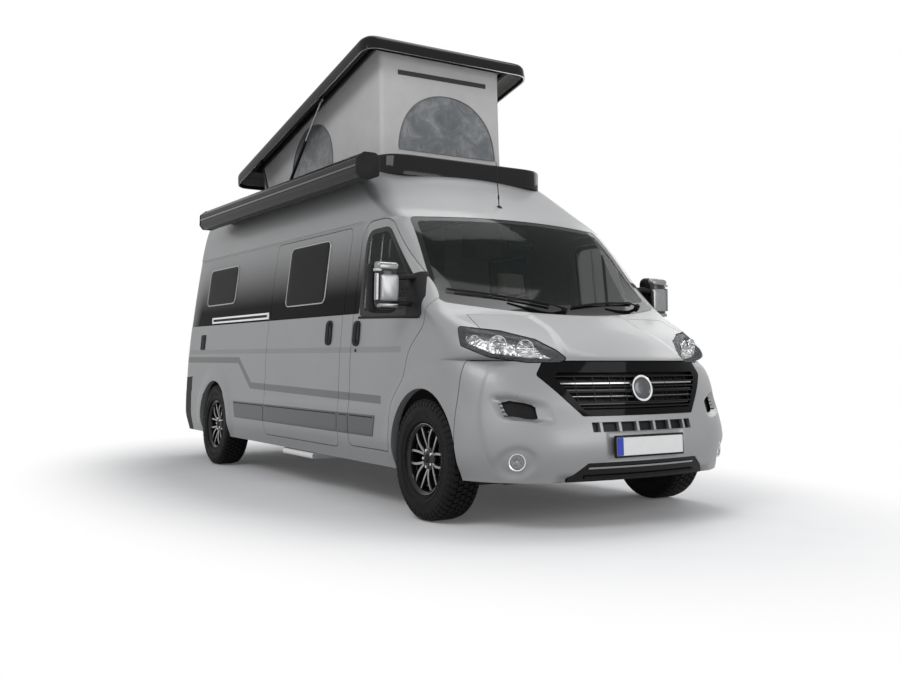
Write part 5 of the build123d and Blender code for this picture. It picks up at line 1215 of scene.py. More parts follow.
def wheel_meshes():
    """Meshes of one wheel round the origin, +Y outward."""
    tread = tread_blocks()
    bands = [ring_band(.232 + .0, .004, .1068, .0022), ring_band(.262, .0022, .1120, .0016),
             ring_band(.322, .003, .1098, .0022)]
    bands += [([(x, -y, z) for x, y, z in v], f) for v, f in bands]
    # sidewall ribs, plain marks without letters
    marks = []
    for k in range(72):
        if k % 12 in (0, 1, 2):
            continue
        a = 2 * math.pi * k / 72
        v = []
        for r, yy in ((.272, .1124), (.300, .1120)):
            for sg in (-1, 1):
                t = a + sg * .010
                v.append((r * math.cos(t), yy, r * math.sin(t)))
        for r, yy in ((.272, .1138), (.300, .1132)):
            for sg in (-1, 1):
                t = a + sg * .007
                v.append((r * math.cos(t), yy, r * math.sin(t)))
        marks.append((v, [(4, 5, 7, 6), (0, 1, 5, 4), (2, 6, 7, 3), (0, 4, 6, 2), (1, 3, 7, 5)]))
    tyre = merged([carcass(), tread] + bands + marks)
    barrel = revolve([(.216, .0940), (.217, .0880), (.2165, .0830), (.203, .0810), (.203, -.0810), (.2165, -.083),
                      (.217, -.092),
                      (.212, -.0945), (.192, -.084), (.186, -.03), (.188, .03), (.190, .060), (.196, .082),
                      (.205, .0905), (.2125, .0945), (.216, .0940)], 96, axis="y")
    lip = revolve([(.2128, .0949), (.2155, .0946), (.2163, .0925)], 96, axis="y")
    bodies, faces = [], []
    for k in range(6):
        a = math.pi * k / 3
        for sg in (-1, 1):
            b, m = arm(a + sg * .10, a + sg * .335, .060, .197, .0105, .0095, .064, .078, .036)
            bodies.append(b)
            faces.append(m)
        # the web that closes each V near the rim; the flat foot between two Vs is not drawn
        web = [((.158 + dr) * math.sin(a + t), y, (.158 + dr) * math.cos(a + t))
               for y in (.045, .064) for dr, t in ((-.006, -.24), (-.002, -.12), (0, 0), (-.002, .12), (-.006, .24),
                                                  (.004, .24), (.008, .12), (.010, 0), (.008, -.12), (.004, -.24))]
        bodies.append((web, [tuple(range(10)), tuple(range(19, 9, -1))] +
                       [(j, j + 10, (j + 1) % 10 + 10, (j + 1) % 10) for j in range(10)]))
    hub = revolve([(.001, .071), (.024, .071), (.030, .0735), (.033, .0735), (.036, .070), (.058, .067),
                   (.072, .063), (.078, .052),
                   (.078, .036), (.030, .034)], 64, axis="y")
    cap = revolve([(.0005, .0765), (.018, .0762), (.027, .0745), (.029, .070)], 48, axis="y")
    well = revolve([(.040, .0660), (.052, .0650), (.064, .0620)], 48, axis="y")
    nuts = []
    for k in range(5):
        a = 2 * math.pi * (k + .5) / 5
        c = (.052 * math.cos(a), 0, .052 * math.sin(a))
        v, f = revolve([(.0005, .074), (.0085, .074), (.0095, .072), (.0095, .060)], 6, axis="y")
        nuts.append(([(x + c[0], y, z + c[2]) for x, y, z in v], f))
    valve = ([(x + .188, y, z) for x, y, z in revolve([(.0005, .088), (.0035, .088), (.0035, .06)], 12, axis="y")[0]],
             revolve([(.0005, .088), (.0035, .088), (.0035, .06)], 12, axis="y")[1])
    return tyre, merged([barrel, hub, well] + bodies), merged([lip] + faces), merged([cap]), merged(nuts), valve


def place_wheel(part, name, mat, x, side, track, body, slot, angle, replaces=None):
    v, f = part
    v = [(x + px, side * track / 2 + side * py, TYRE_R + pz) for px, py, pz in v]
    if side < 0:
        f = [tuple(reversed(q)) for q in f]
    o = new_object(name, v, f, mat, body, slot, angle)
    if replaces:
        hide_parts(*replaces)
    return o


TYRE_MESH, RIM_MESH, RIM_FACE, RIM_CAP, RIM_NUTS, RIM_VALVE = wheel_meshes()
for wheel, x, side, track in WHEELS:
    body = "wheel_" + wheel
    place_wheel(TYRE_MESH, "tyre_tread_" + wheel, RUBBER, x, side, track, body, "tyre", 28, ["tyre_" + wheel])
    place_wheel(RIM_MESH, "alloy_rim_" + wheel, ALLOY_BLACK, x, side, track, body, "rim", 30, ["rim_" + wheel])
    place_wheel(RIM_FACE, "alloy_machined_" + wheel, ALLOY_CUT, x, side, track, body, "rim", 30)
    place_wheel(RIM_CAP, "hub_cap_" + wheel, SATIN_BLACK, x, side, track, body, "rim", 30)
    place_wheel(RIM_NUTS, "wheel_nuts_" + wheel, BRIGHT, x, side, track, body, "rim", 30)
    place_wheel(RIM_VALVE, "valve_" + wheel, SATIN_BLACK, x, side, track, body, "rim", 30)
    # the brake behind: on the knuckle in front, on the body at the back, where the axle is
    carrier = "knuckle_" + wheel.split("_")[1] if wheel.startswith("front") else "body"
    disc = revolve([(.050, .012), (.145, .012), (.148, .008), (.148, -.010), (.060, -.012)], 72, axis="y")
    place_wheel(disc, "brake_disc_" + wheel, CAST, x, side, track - .10, carrier, "cast", 30)
    caliper = prism_y([(-.150 + .0, -.06), (-.085, -.07), (-.085, .07), (-.150, .06), (-.166, .0)], -.035, .030)
    place_wheel(caliper, "brake_caliper_" + wheel, CAST, x, side, track - .10, carrier, "cast", 30)
# ------------------------------------------------------------------ mirrors
def loft_rings(rings, cap0=True, cap1=True):
    """A skin over rings of equal counts; returns verts, faces."""
    k = len(rings[0])
    v = [tuple(p) for ring_pts in rings for p in ring_pts]
    f = []
    for i in range(len(rings) - 1):
        for j in range(k):
            a, b = i * k + j, i * k + (j + 1) % k
            f.append((a, b, b + k, a + k))
    if cap0:
        f.append(tuple(range(k))[::-1])
    if cap1:
        f.append(tuple((len(rings) - 1) * k + j for j in range(k)))
    return v, f


def mirror_ring(x, grow, y0=1.062, y1=1.252, z0=1.274, z1=1.606, r=.055):
    """The mirror head's outline across Y and Z at one X, drawn in by grow."""
    return [(x, y, z) for y, z in rounded(rect(y0 + grow, y1 - grow, z0 + grow, z1 - grow), max(r - grow * .3, .02),
                                          7)]


def flip(part, side):
    v, f = part
    if side > 0:
        return v, f
    return [(x, -y, z) for x, y, z in v], [tuple(reversed(q)) for q in f]


def put(part, side, name, mat, body, slot, angle=35, replaces=()):
    o = new_object(name, *flip(part, side), mat, body, slot, angle)
    if replaces:
        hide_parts(*replaces)
    return o


SAIL_LAYER = tool(*body_solid(-.004, fine=True, z_low=1.10, z_high=1.80))
boolean(SAIL_LAYER, [tool(*body_solid(.012, fine=True, z_low=1.05, z_high=1.85))])
for s, side in ((-1, "right"), (1, "left")):
    door = "front_door_" + side
    # the dark rear housing, open at the back for the glass
    housing = loft_rings([mirror_ring(1.716, .012, r=.05), mirror_ring(1.708, .004), mirror_ring(1.722, .000),
                          mirror_ring(1.775, .002), mirror_ring(1.790, .008)], cap0=False)
    put(housing, s, f"mirror_housing_{side}", SATIN_BLACK, door, "cast", 40, [f"mirror_{side}"])
    inner = loft_rings([mirror_ring(1.716, .012, r=.05), mirror_ring(1.726, .016, r=.05)], cap0=False)
    put(inner, s, f"mirror_bezel_{side}", SATIN_BLACK, door, "cast", 40)
    for k, (z0, z1, y0, y1) in enumerate(((1.385, 1.590, 1.080, 1.238), (1.292, 1.372, 1.080, 1.238))):
        pane = prism_x(rounded(rect(y0, y1, z0, z1), .024), 1.7165, 1.7195)
        put(pane, s, f"mirror_glass_{side}_{k}", CHROME, door, "cast", 30)
    # the silver cover on the front, with a frame-like black surround stepped round it
    cover = loft_rings([mirror_ring(1.782, .020), mirror_ring(1.800, .016), mirror_ring(1.822, .024),
                        mirror_ring(1.836, .042),
                        mirror_ring(1.843, .072)], cap0=False)
    put(cover, s, f"mirror_cover_{side}", GRAPHITE_SHEEN, door, "paint", 50)
    cap = loft_rings([[(x, y, z) for y, z in rounded(rect(1.078 + g, 1.236 - g, 1.545 + g * .5, 1.598 - g), .030, 6)]
                      for x, g in ((1.800, -.004), (1.826, .002), (1.838, .010), (1.842, .020))], cap0=False)
    put(cap, s, f"mirror_cover_cap_{side}", MIRROR_SILVER, door, "paint", 50)
    foot = loft_rings([[(x, y, z) for y, z in rounded(rect(1.082 + g, 1.226 - g, 1.306 + g, 1.332 - g * .5), .010, 4)]
                       for x, g in ((1.820, .0), (1.842, .001), (1.846, .006))], cap0=False)
    put(foot, s, f"mirror_cover_strip_{side}", MIRROR_SILVER, door, "paint", 40)
    slim = loft_rings([[(x, y, z) for y, z in rounded(rect(1.222 + g, 1.244 - g, 1.350 + g, 1.525 - g), .008, 4)]
                       for x, g in ((1.815, .0), (1.833, .001), (1.837, .004))], cap0=False)
    put(slim, s, f"mirror_cover_edge_{side}", MIRROR_SILVER, door, "paint", 40)
    window = loft_rings([[(x, y, z) for y, z in rounded(rect(1.085 + g, 1.215 - g, 1.345 + g, 1.520 - g), .022, 5)]
                         for x, g in ((1.836, .0), (1.847, .004), (1.851, .016))], cap0=False)
    put(window, s, f"mirror_cover_pad_{side}", MIRROR_SILVER, door, "paint", 30)
    blink = loft_rings([[(x, y, z) for y, z in rounded(rect(1.110 + g, 1.246 - g * .4, 1.535 + g, 1.556 - g), .008,
                                                       4)]
                        for x, g in ((1.800, 0.0), (1.832, .001), (1.836, .004))], cap0=False)
    put(blink, s, f"mirror_lamp_{side}", CLEAR_LENS, door, "lamp", 30)
    # two flat arms from the sail to the head
    for k, (z_in, z_out, w) in enumerate(((1.505, 1.500, .016), (1.330, 1.335, .015))):
        path = [Vector((1.800, .962 if k else .950, z_in)), Vector((1.812, 1.000, z_in + .004)),
                Vector((1.806, 1.045, z_out + .003)),
                Vector((1.790, 1.085, z_out))]
        prof = [(a * 1.6, b) for a, b in rounded(rect(-.017, .017, -w, w), .010, 3)]
        v, f = sweep(smooth_path(path, 5), prof)
        if s > 0:
            o = new_object(f"mirror_arm_{side}_{k}", v, f, GRAIN_BLACK, door, "cast", 50)
        else:
            put((v, f), s, f"mirror_arm_{side}_{k}", GRAIN_BLACK, door, "cast", 50)
    # the black sail that fills the window's front lower corner
    SAIL = rounded([(1.770, 1.250), (1.985, 1.252), (1.965, 1.385), (1.830, 1.560), (1.770, 1.530)], .018)
    panel(f"mirror_sail_{side}", [on_side(grown(SAIL, -.004), s)], [], GRAIN_BLACK, door, [], SAIL_LAYER)

# ------------------------------------------------------------------ awning
AX0, AX1 = -2.304, 1.256
AW = rounded([(-.945, 2.261), (-.945, 2.403), (-.979, 2.425), (-1.067, 2.425), (-1.125, 2.377), (-1.125, 2.275),
              (-1.091, 2.235),
              (-1.005, 2.235)], .020, 5)


def run_x(points, x0, x1):
    return loft_rings([[(x0, y, z) for y, z in points], [(x1, y, z) for y, z in points]])


case = tool(*run_x(grown(AW, -.003), AX0 + .012, AX1 - .012))
groove = [box_tool(AX0 - .1, AX1 + .1, -1.135, -1.1175, 2.3130, 2.3165),
          box_tool(AX0 - .1, AX1 + .1, -1.135, -1.1185, 2.336, 2.338),
          box_tool(AX0 - .1, AX1 + .1, -1.060, -1.050, 2.415, 2.45)]
awning = copy_of(case, "awning_case_tube")
awning.data.materials.clear()
awning.data.materials.append(AWNING_BLACK)
boolean(awning, groove)
shade(awning, 35)
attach(awning, "body")
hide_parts("awning_case")
for k, (x0, x1) in enumerate(((AX0, AX0 + .016), (AX1 - .016, AX1))):
    inward = 1 if k == 0 else -1
    cap = loft_rings([[(x0 if k == 0 else x1, y, z) for y, z in grown(AW, -.006)],
                      [((x0 if k == 0 else x1) + inward * .004, y, z) for y, z in AW],
                      [((x0 if k == 0 else x1) + inward * .020, y, z) for y, z in AW],
                      [((x0 if k == 0 else x1) + inward * .021, y, z) for y, z in grown(AW, -.004)]])
    new_object(f"awning_cap_{k}", *cap, GRAIN_BLACK, "body", "awning_black", 40)
v, f = loft_rings([[(x, y, z) for y, z in rounded(rect(-1.1235, -1.114, 2.3185, 2.3345), .003, 3)]
                   for x in (AX0 + .021, AX1 - .021)])
new_object("awning_lead_rail", v, f, BRIGHT_BLACK, "body", "awning_black", 30)
for k, x in enumerate((AX0 + .15, (AX0 + AX1) / 2, AX1 - .62)):
    bevelled_box(f"awning_bracket_{k}", (x, -.95, 2.30), (x + .12, -.80, 2.365), .006, GRAIN_BLACK, "body")
v, f = loft_rings([[(x, y, z) for y, z in ((-.948, 2.395), (-.940, 2.402), (-.84, 2.398), (-.84, 2.390),
                                           (-.945, 2.388))]
                   for x in (AX0 + .02, AX1 - .30)])
new_object("awning_gutter_lip", v, f, RUBBER, "body", "awning_black", 30)
# ------------------------------------------------------------------ lifting roof
PS, PO = (-1.9681, 2.57581), (-1.79943, 2.86101)     # the link's upper pivot with the roof shut and open
RAISE = math.radians(13.5)


def lifted(p):
    """A point of the closed roof, where the raised roof has it."""
    dx, dz = p[0] - PS[0], p[2] - PS[1]
    return (PO[0] + dx * math.cos(RAISE) - dz * math.sin(RAISE), p[1],
            PO[1] + dx * math.sin(RAISE) + dz * math.cos(RAISE))


def plan(x0, x1, half, r, z, g=0.0, steps=10):
    return [(x, y, z) for x, y in rounded(rect(x0 + g, x1 - g, -half + g, half - g), max(r - g, .01), steps)]


RX0, RX1, RHALF = -2.609, .951, .745
ring_rings = [plan(RX0, RX1, RHALF, .25, 2.36), plan(RX0, RX1, RHALF, .25, 2.498),
              plan(RX0, RX1, RHALF, .25, 2.510, .004),
              plan(RX0, RX1, RHALF, .25, 2.517, .012), plan(RX0, RX1, RHALF, .25, 2.5198, .024)]
ring_outer = tool(*loft_rings(ring_rings))
hole = tool(*loft_rings([plan(-2.090, .5425, .590, .03, 2.30), plan(-2.090, .5425, .590, .03, 2.60)]))
ring_o = copy_of(ring_outer, "roof_ring_frame")
ring_o.data.materials.clear()
ring_o.data.materials.append(GLOSS_BLACK)
boolean(ring_o, [hole])
shade(ring_o, 35)
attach(ring_o, "body")
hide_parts("roof_frame")
# rubber seal round the opening, and the weather lip that meets the shell
seal = loft_rings([plan(-2.105, .556, .604, .04, 2.519), plan(-2.105, .556, .604, .04, 2.526),
                   plan(-2.100, .551, .599, .035, 2.529),
                   plan(-2.094, .545, .593, .03, 2.526), plan(-2.094, .545, .593, .03, 2.519)], False, False)
new_object("roof_opening_seal", *seal, RUBBER, "body", "black_paint", 40)

SX0, SX1, SHALF = -2.519, .531, .780
top = []
for z, g, r in ((2.531, .0, .14), (2.560, .000, .14), (2.606, .001, .14), (2.628, .006, .14), (2.647, .018, .14),
                (2.660, .036, .14),
                (2.667, .060, .14), (2.6695, .10, .14)):
    top.append([lifted(p) for p in plan(SX0, SX1, SHALF, r, z, g)])
v, f = loft_rings(top, False, True)
o = new_object("roof_shell_skin", v, f, SHELL_BLACK, "roof_shell", "shell", 40)
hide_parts("roof_shell")
lip = [[lifted(p) for p in plan(SX0, SX1, SHALF, .14, z, g)] for z, g in
       ((2.5315, .0003), (2.5305, .002), (2.5305, .009), (2.5325, .0125), (2.540, .013))]
new_object("roof_shell_lip", *loft_rings(lip, False, False), BRIGHT, "roof_shell", "shell", 50)
dark = [[lifted(p) for p in plan(SX0, SX1, SHALF, .14, z, g)]
        for z, g in ((2.536, .013), (2.537, .022), (2.546, .0275), (2.560, .0278))]
new_object("roof_shell_rubber", *loft_rings(dark, False, False), RUBBER, "roof_shell", "shell", 50)
lining = [[lifted(p) for p in plan(SX0, SX1, SHALF, .14, z, g)] for z, g in
          ((2.558, .0279), (2.600, .030), (2.625, .040), (2.638, .060), (2.6415, .095))]
new_object("roof_shell_lining", *loft_rings(lining, False, True), LINING, "roof_shell", "shell", 50)
# the tent's clamping frame under the ceiling
for k, (g, z0, z1, mat) in enumerate(((.145, 2.612, 2.6415, SATIN_BLACK), (.115, 2.630, 2.6415, BRIGHT_BLACK))):
    outer_loop = [lifted(p) for p in plan(SX0 + .10, SX1, SHALF, .12, z0, g)]
    inner_loop = [lifted(p) for p in plan(SX0 + .10, SX1, SHALF, .12, z0, g + .022)]
    outer_top = [lifted(p) for p in plan(SX0 + .10, SX1, SHALF, .12, z1, g)]
    inner_top = [lifted(p) for p in plan(SX0 + .10, SX1, SHALF, .12, z1, g + .022)]
    new_object(f"tent_clamp_frame_{k}", *loft_rings([outer_top, outer_loop, inner_loop, inner_top], False, False),
               mat,
               "roof_shell", "shell", 30)

# ------------------------------------------------------------------ tent
TENT_H = .575
CF, CR = (.4597, 3.4712), (-2.1074, 2.8549)
FF, FR, TENT_Z0 = (.5297, 2.4703), (-2.0774, 2.4703), 2.4715
TENT_R = .045


def tent_point(u, t):
    """u runs once round the tent from the middle of the front, t from the foot to the ceiling."""
    # plan loop of a rounded rectangle, in unit space: x from 0 (rear) to 1 (front), y from -1 to 1
    x, y = TENT_LOOP[u]
    foot_x = FR[0] + (FF[0] - FR[0]) * x
    top_x = CR[0] + (CF[0] - CR[0]) * x
    top_z = CR[1] + (CF[1] - CR[1]) * x - .001
    px = foot_x + (top_x - foot_x) * t
    pz = TENT_Z0 + (top_z - TENT_Z0) * t
    return Vector((px, y * TENT_H, pz))


def tent_loop(n_side=110, n_front=64, n_corner=8):
    """Points round the tent's plan: (share of length, share of half width), from mid front to the right."""
    length = FF[0] - FR[0]
    rx, ry = TENT_R / length, TENT_R / TENT_H
    pts = []
    pts += [(1, -y) for y in np.linspace(0, 1 - ry, n_front // 2, endpoint=False)]
    pts += [(1 - rx + rx * math.cos(a), -(1 - ry) - ry * math.sin(a))
            for a in np.linspace(0, math.pi / 2, n_corner, endpoint=False)]
    pts += [(x, -1) for x in np.linspace(1 - rx, rx, n_side, endpoint=False)]
    pts += [(rx - rx * math.sin(a), -(1 - ry) - ry * math.cos(a))
            for a in np.linspace(0, math.pi / 2, n_corner, endpoint=False)]
    pts += [(0, y) for y in np.linspace(-(1 - ry), 1 - ry, n_front, endpoint=False)]
    pts += [(rx - rx * math.cos(a), (1 - ry) + ry * math.sin(a))
            for a in np.linspace(0, math.pi / 2, n_corner, endpoint=False)]
    pts += [(x, 1) for x in np.linspace(rx, 1 - rx, n_side, endpoint=False)]
    pts += [(1 - rx + rx * math.sin(a), (1 - ry) + ry * math.cos(a))
            for a in np.linspace(0, math.pi / 2, n_corner, endpoint=False)]
    pts += [(1, y) for y in np.linspace(1 - ry, 0, n_front // 2, endpoint=False)]
    return pts


TENT_LOOP = tent_loop()


def folds(p, t):
    """How far the stretched cloth stands in from its frame: a slack belly, diagonal draws, small creases."""
    n = noise.fractal(Vector((p.x * 1.3, p.y * 1.3, p.z * 1.6)), 1.0, 2.0, 3)
    crease = math.sin(p.x * 9 + p.z * 15 + 2.2 * n) + .6 * math.sin(p.y * 14 - p.z * 9 + 3 * n)
    held = math.sin(math.pi * min(max(t, 0), 1)) ** .6
    return held * (.0075 + .0035 * n + .0016 * crease)


v, f = [], []
rows = 44
count = len(TENT_LOOP)
for i in range(rows + 1):
    t = i / rows
    for u in range(count):
        p = tent_point(u, t)
        x, y = TENT_LOOP[u]
        n = Vector((1 if x > .99 else (-1 if x < .01 else 0), 1 if y > .97 else (-1 if y < -.97 else 0), 0))
        n.normalize()
        p = p - n * (folds(p, t) + .001)
        v.append(tuple(p))
for i in range(rows):
    for u in range(count):
        w = (u + 1) % count
        f.append((i * count + u, i * count + w, (i + 1) * count + w, (i + 1) * count + u))


# fine rows, so that the bindings lie on the cloth; the windows are in the cloth's own material
me = bpy.data.meshes.new("tent_cloth")
me.from_pydata(v, [], f)
tent = bpy.data.objects.new("tent_cloth", me)
scene.collection.objects.link(tent)
me.materials.append(TENT_WINDOWED)
for poly in me.polygons:
    poly.use_smooth = True
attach(tent, "body")
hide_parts("roof_tent")

# binding tapes round the windows and the vent, welded on the cloth
def on_tent(y=None, x=None, z=0, out=.002):
    """A point just outside the cloth, on the front (y given) or on a side (x given, y is the side's sign)."""
    if x is None:
        t = (z - TENT_Z0) / (CF[1] - TENT_Z0)
        px = FF[0] + (CF[0] - FF[0]) * t
        p = Vector((px, y, z))
        return p + Vector((1, 0, 0)) * (out - folds(p, t) - .001)
    top = CR[1] + (CF[1] - CR[1]) * (x - CR[0]) / (CF[0] - CR[0])
    t = min((z - TENT_Z0) / (top - TENT_Z0), 1)
    p = Vector((x, y * TENT_H, z))
    return p + Vector((0, y, 0)) * (out - folds(p, t) - .001)


def moon_loop(cx, half, z0, height, n=56, power=MOON_POWER):
    pts = []
    for k in range(n + 1):
        a = math.pi * k / n
        c, s = math.cos(a), math.sin(a)
        pts.append((cx + half * math.copysign(abs(c) ** (2 / power), c), z0 + height * abs(s) ** (2 / power)))
    pts += [(cx - half + 2 * half * k / 20, z0) for k in range(1, 20)]
    return pts


def tape(name, pts, width=.012, body="body"):
    v, f = sweep(pts, [(a * width / 2, b * .0016) for a, b in ((-1, -1), (-.8, 1), (.8, 1), (1, -1))], closed=True)
    o = new_object(name, v, f, TENT_TAPE, body, "canvas", 40)
    return o


tapes = [tape("tent_front_window_tape", [on_tent(y=a, z=b) for a, b in moon_loop(*FRONT_MOON)])]
for s, side in ((-1, "right"), (1, "left")):
    tapes.append(tape(f"tent_side_window_tape_{side}",
                      [on_tent(x=a, y=s, z=b) for a, b in moon_loop(*SIDE_MOON)]))
vent_pts = [on_tent(y=a, z=b) for a, b in ((-.41, 3.272), (-.41, 3.312), (-.2, 3.3145), (.2, 3.3175), (.43, 3.320),
                                           (.43, 3.280), (.2, 3.2775), (-.2, 3.2745))]
v, f = loft_rings([[tuple(p) for p in vent_pts], [tuple(p + Vector((.002, 0, 0))) for p in vent_pts]])
vent = new_object("tent_vent", v, f, TENT_VENT, "body", "canvas", 30)
hem = [Vector(tent_point(u, .004)) + Vector((0, 0, .006)) for u in range(0, count, 2)]
v, f = sweep(hem, rounded(rect(-.010, .010, -.006, .006), .004, 2), closed=True)
new_object("tent_hem", v, f, TENT_TAPE, "body", "canvas", 40)
for o2 in tapes + [vent, tent]:
    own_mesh(o2)

# ------------------------------------------------------------------ brackets and pins of the lifting roof
LINK_FOOT, STRUT_FOOT, STRUT_HEAD = (-1.599, 2.550), (-1.049, 2.544), (-.489, 2.560)
EYE, PIN_R = .016, .007


def bracket(name, eye, foot_z, foot, y, body, slot, place=None):
    """A tapered plate from its round eye to a flat foot with a bent flange, on both sides of the van."""
    down = 1 if foot_z < eye[1] else -1
    arc = [(eye[0] + EYE * math.cos(a), eye[1] + down * EYE * math.sin(a))
           for a in np.linspace(-.35, math.pi + .35, 22)]
    outline2 = arc + [(eye[0] + foot[0], foot_z), (eye[0] + foot[1], foot_z)]
    for s, side in ((-1, "right"), (1, "left")):
        v, f = prism_y(outline2, s * y[0], s * y[1])
        bolts = [(v, f), prism_y(rect(eye[0] + foot[0], eye[0] + foot[1], min(foot_z, foot_z + down * .003),
                                      max(foot_z, foot_z + down * .003)), s * (y[0] - .018), s * y[1])]
        for x in (foot[0] * .65, foot[1] * .65):
            bolts.append(revolve([(.0001, .0), (.006, .0), (.006, .004), (.004, .006), (.0001, .006)], 12,
                                 (eye[0] + x, s * (y[0] - .009), foot_z + (down * .003 if down > 0 else -.009)), "z"))
        v, f = merged(bolts)
        if place:
            v = [place(p) for p in v]
        new_object(f"{name}_{side}", v, f, SATIN_BLACK, body, slot, 35)


def roof_pin(name, eye, y0, y1, head, body, slot, place=None):
    for s, side in ((-1, "right"), (1, "left")):
        prof = [(.0001, y0 - .004), (head * .8, y0 - .004), (head, y0 - .003), (head, y0), (PIN_R, y0), (PIN_R, y1),
                (PIN_R * .7, y1 + .002), (.0001, y1 + .002)]
        v, f = revolve([(r, s * w) for r, w in prof], 24, (eye[0], 0, eye[1]), "y")
        if place:
            v = [place(p) for p in v]
        new_object(f"{name}_{side}", v, f, STEEL, body, slot, 30)


bracket("link_foot_bracket", LINK_FOOT, 2.520, (-.060, .060), (.7003, .7083), "body", "black_paint")
bracket("strut_foot_bracket", STRUT_FOOT, 2.520, (-.050, .005), (.7163, .7243), "body", "black_paint")
bracket("link_head_bracket", PS, 2.6418, (-.060, .060), (.7003, .7083), "roof_shell", "shell", lifted)
bracket("strut_head_bracket", STRUT_HEAD, 2.6418, (-.040, .040), (.7163, .7243), "roof_shell", "shell", lifted)
roof_pin("link_foot_pin", LINK_FOOT, .6897, .7083, .013, "body", "black_paint")
roof_pin("strut_foot_pin", STRUT_FOOT, .7010, .7243, .009, "body", "black_paint")
roof_pin("link_head_pin", PS, .6897, .7083, .013, "roof_shell", "shell", lifted)
roof_pin("strut_head_pin", STRUT_HEAD, .7010, .7243, .009, "roof_shell", "shell", lifted)


def dress(mat, *names):
    """A procedural finish on the CAD's own pieces, whose shapes stay."""
    for name in names:
        me = NODES[name].data
        me.materials.clear()
        me.materials.append(mat)


# ------------------------------------------------------------------ things on the flat sides
def wall_y(x, z, side, out=0.0):
    """The side's sculpted skin at a place, moved off by out."""
    y = side_y(z, side)
    return y + side * (float(sculpt(np.array([[x, y, z]]))[0]) + out)


def on_wall(side, stack, cap0=False, cap1=True):
    """A skin over outlines in X and Z, each at its own distance off the side, closed by a grid on the side."""
    v, f = loft_rings([[(x, wall_y(x, z, side, out), z) for x, z in outline2] for outline2, out in stack], cap0,
                      False)
    if cap1:
        last, out = stack[-1]
        k = len(last)
        cx, cz = sum(p[0] for p in last) / k, sum(p[1] for p in last) / k
        start = (len(stack) - 1) * k
        for step2 in range(1, 6):
            g = 1 - step2 / 6
            base = len(v)
            v += [(cx + (x - cx) * g, wall_y(cx + (x - cx) * g, cz + (z - cz) * g, side, out), cz + (z - cz) * g)
                  for x, z in last]
            f += [(start + j, start + (j + 1) % k, base + (j + 1) % k, base + j) for j in range(k)]
            start = base
        v.append((cx, wall_y(cx, cz, side, out), cz))
        f += [(start + j, start + (j + 1) % k, len(v) - 1) for j in range(k)]
    return v, f


def wall_plate(side, x0, x1, z0, z1, lean0, lean1, thick, cols=48, rows4=7):
    """A thin plate that lies on the side's skin: X limits lean from the foot to the head, and the rim is turned in."""
    def ring_point(u, w, out):
        a, b = x0 + lean0 * (1 - w), x1 + lean1 * (1 - w)
        x, z = a + (b - a) * u, z0 + (z1 - z0) * w
        return (x, wall_y(x, z, side, out), z)
    us = [0, .0015] + list(np.linspace(.004, .996, cols)) + [.9985, 1]
    ws = [0, .018] + list(np.linspace(.04, .96, rows4)) + [.982, 1]
    v = []
    for i, u in enumerate(us):
        for j, w in enumerate(ws):
            d = min(i, j, len(us) - 1 - i, len(ws) - 1 - j)
            v.append(ring_point(u, w, -.003 if d == 0 else (thick * .7 if d == 1 else thick)))
    m = len(ws)
    f = [(i * m + j, i * m + j + 1, (i + 1) * m + j + 1, (i + 1) * m + j) for i in range(len(us) - 1)
         for j in range(m - 1)]
    return v, f


FRAME_GREY = surface("window_frame_grey", (0.42, 0.425, 0.43), 0.3, metal=0.4, vary=0.06, bump=0.04, bump_scale=900)
for name, (s, a, b, c, d) in WINDOWS.items():
    W = rounded(rect(REAR_AXLE + a, REAR_AXLE + b, c, d), .045, 8)
    body_name = "body"
    frame_part = on_wall(s, [(grown(W, .0215), -.001), (grown(W, .0215), .004), (grown(W, .019), .0065),
                             (grown(W, .013), .0068),
                             (grown(W, .012), .0050)], False, False)
    new_object(f"window_frame_{name}", *frame_part, FRAME_GREY, body_name, "acrylic_window", 30)
    pane = on_wall(s, [(grown(W, .0122), .001), (grown(W, .0115), .0052), (grown(W, .004), .0066),
                       (grown(W, -.040), .0069)])
    o = new_object(f"window_pane_{name}", *pane, ACRYLIC, body_name, "acrylic_window", 30)
    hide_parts("side_windows")
    back = on_wall(s, [(grown(W, .0), -.040), (grown(W, .0), .001)], False, False)
    new_object(f"window_reveal_{name}", *back, GRAIN_BLACK, body_name, "acrylic_window", 30)
    inner_trim = on_wall(s, [(grown(W, .001), -.038), (grown(W, .035), -.040), (grown(W, .035), -.046),
                             (grown(W, .004), -.052),
                             (grown(W, -.004), -.044), (grown(W, -.004), -.036)], False, False)
    new_object(f"window_inner_trim_{name}", *inner_trim, LINING, body_name, "acrylic_window", 30)
    for k, x in enumerate((REAR_AXLE + a + .16, REAR_AXLE + b - .16)):
        catch = [(p[0], side_y(p[2], s, -.044 - p[1]), p[2]) for p in [
            (x + u, w, c + .03 + h) for w in (0, .022) for u, h in rounded(rect(-.02, .02, -.012, .03), .008, 3)]]
        k2 = len(catch) // 2
        new_object(f"window_catch_{name}_{k}", *loft_rings([catch[:k2], catch[k2:]]), GRAIN_BLACK, body_name,
                   "acrylic_window", 30)

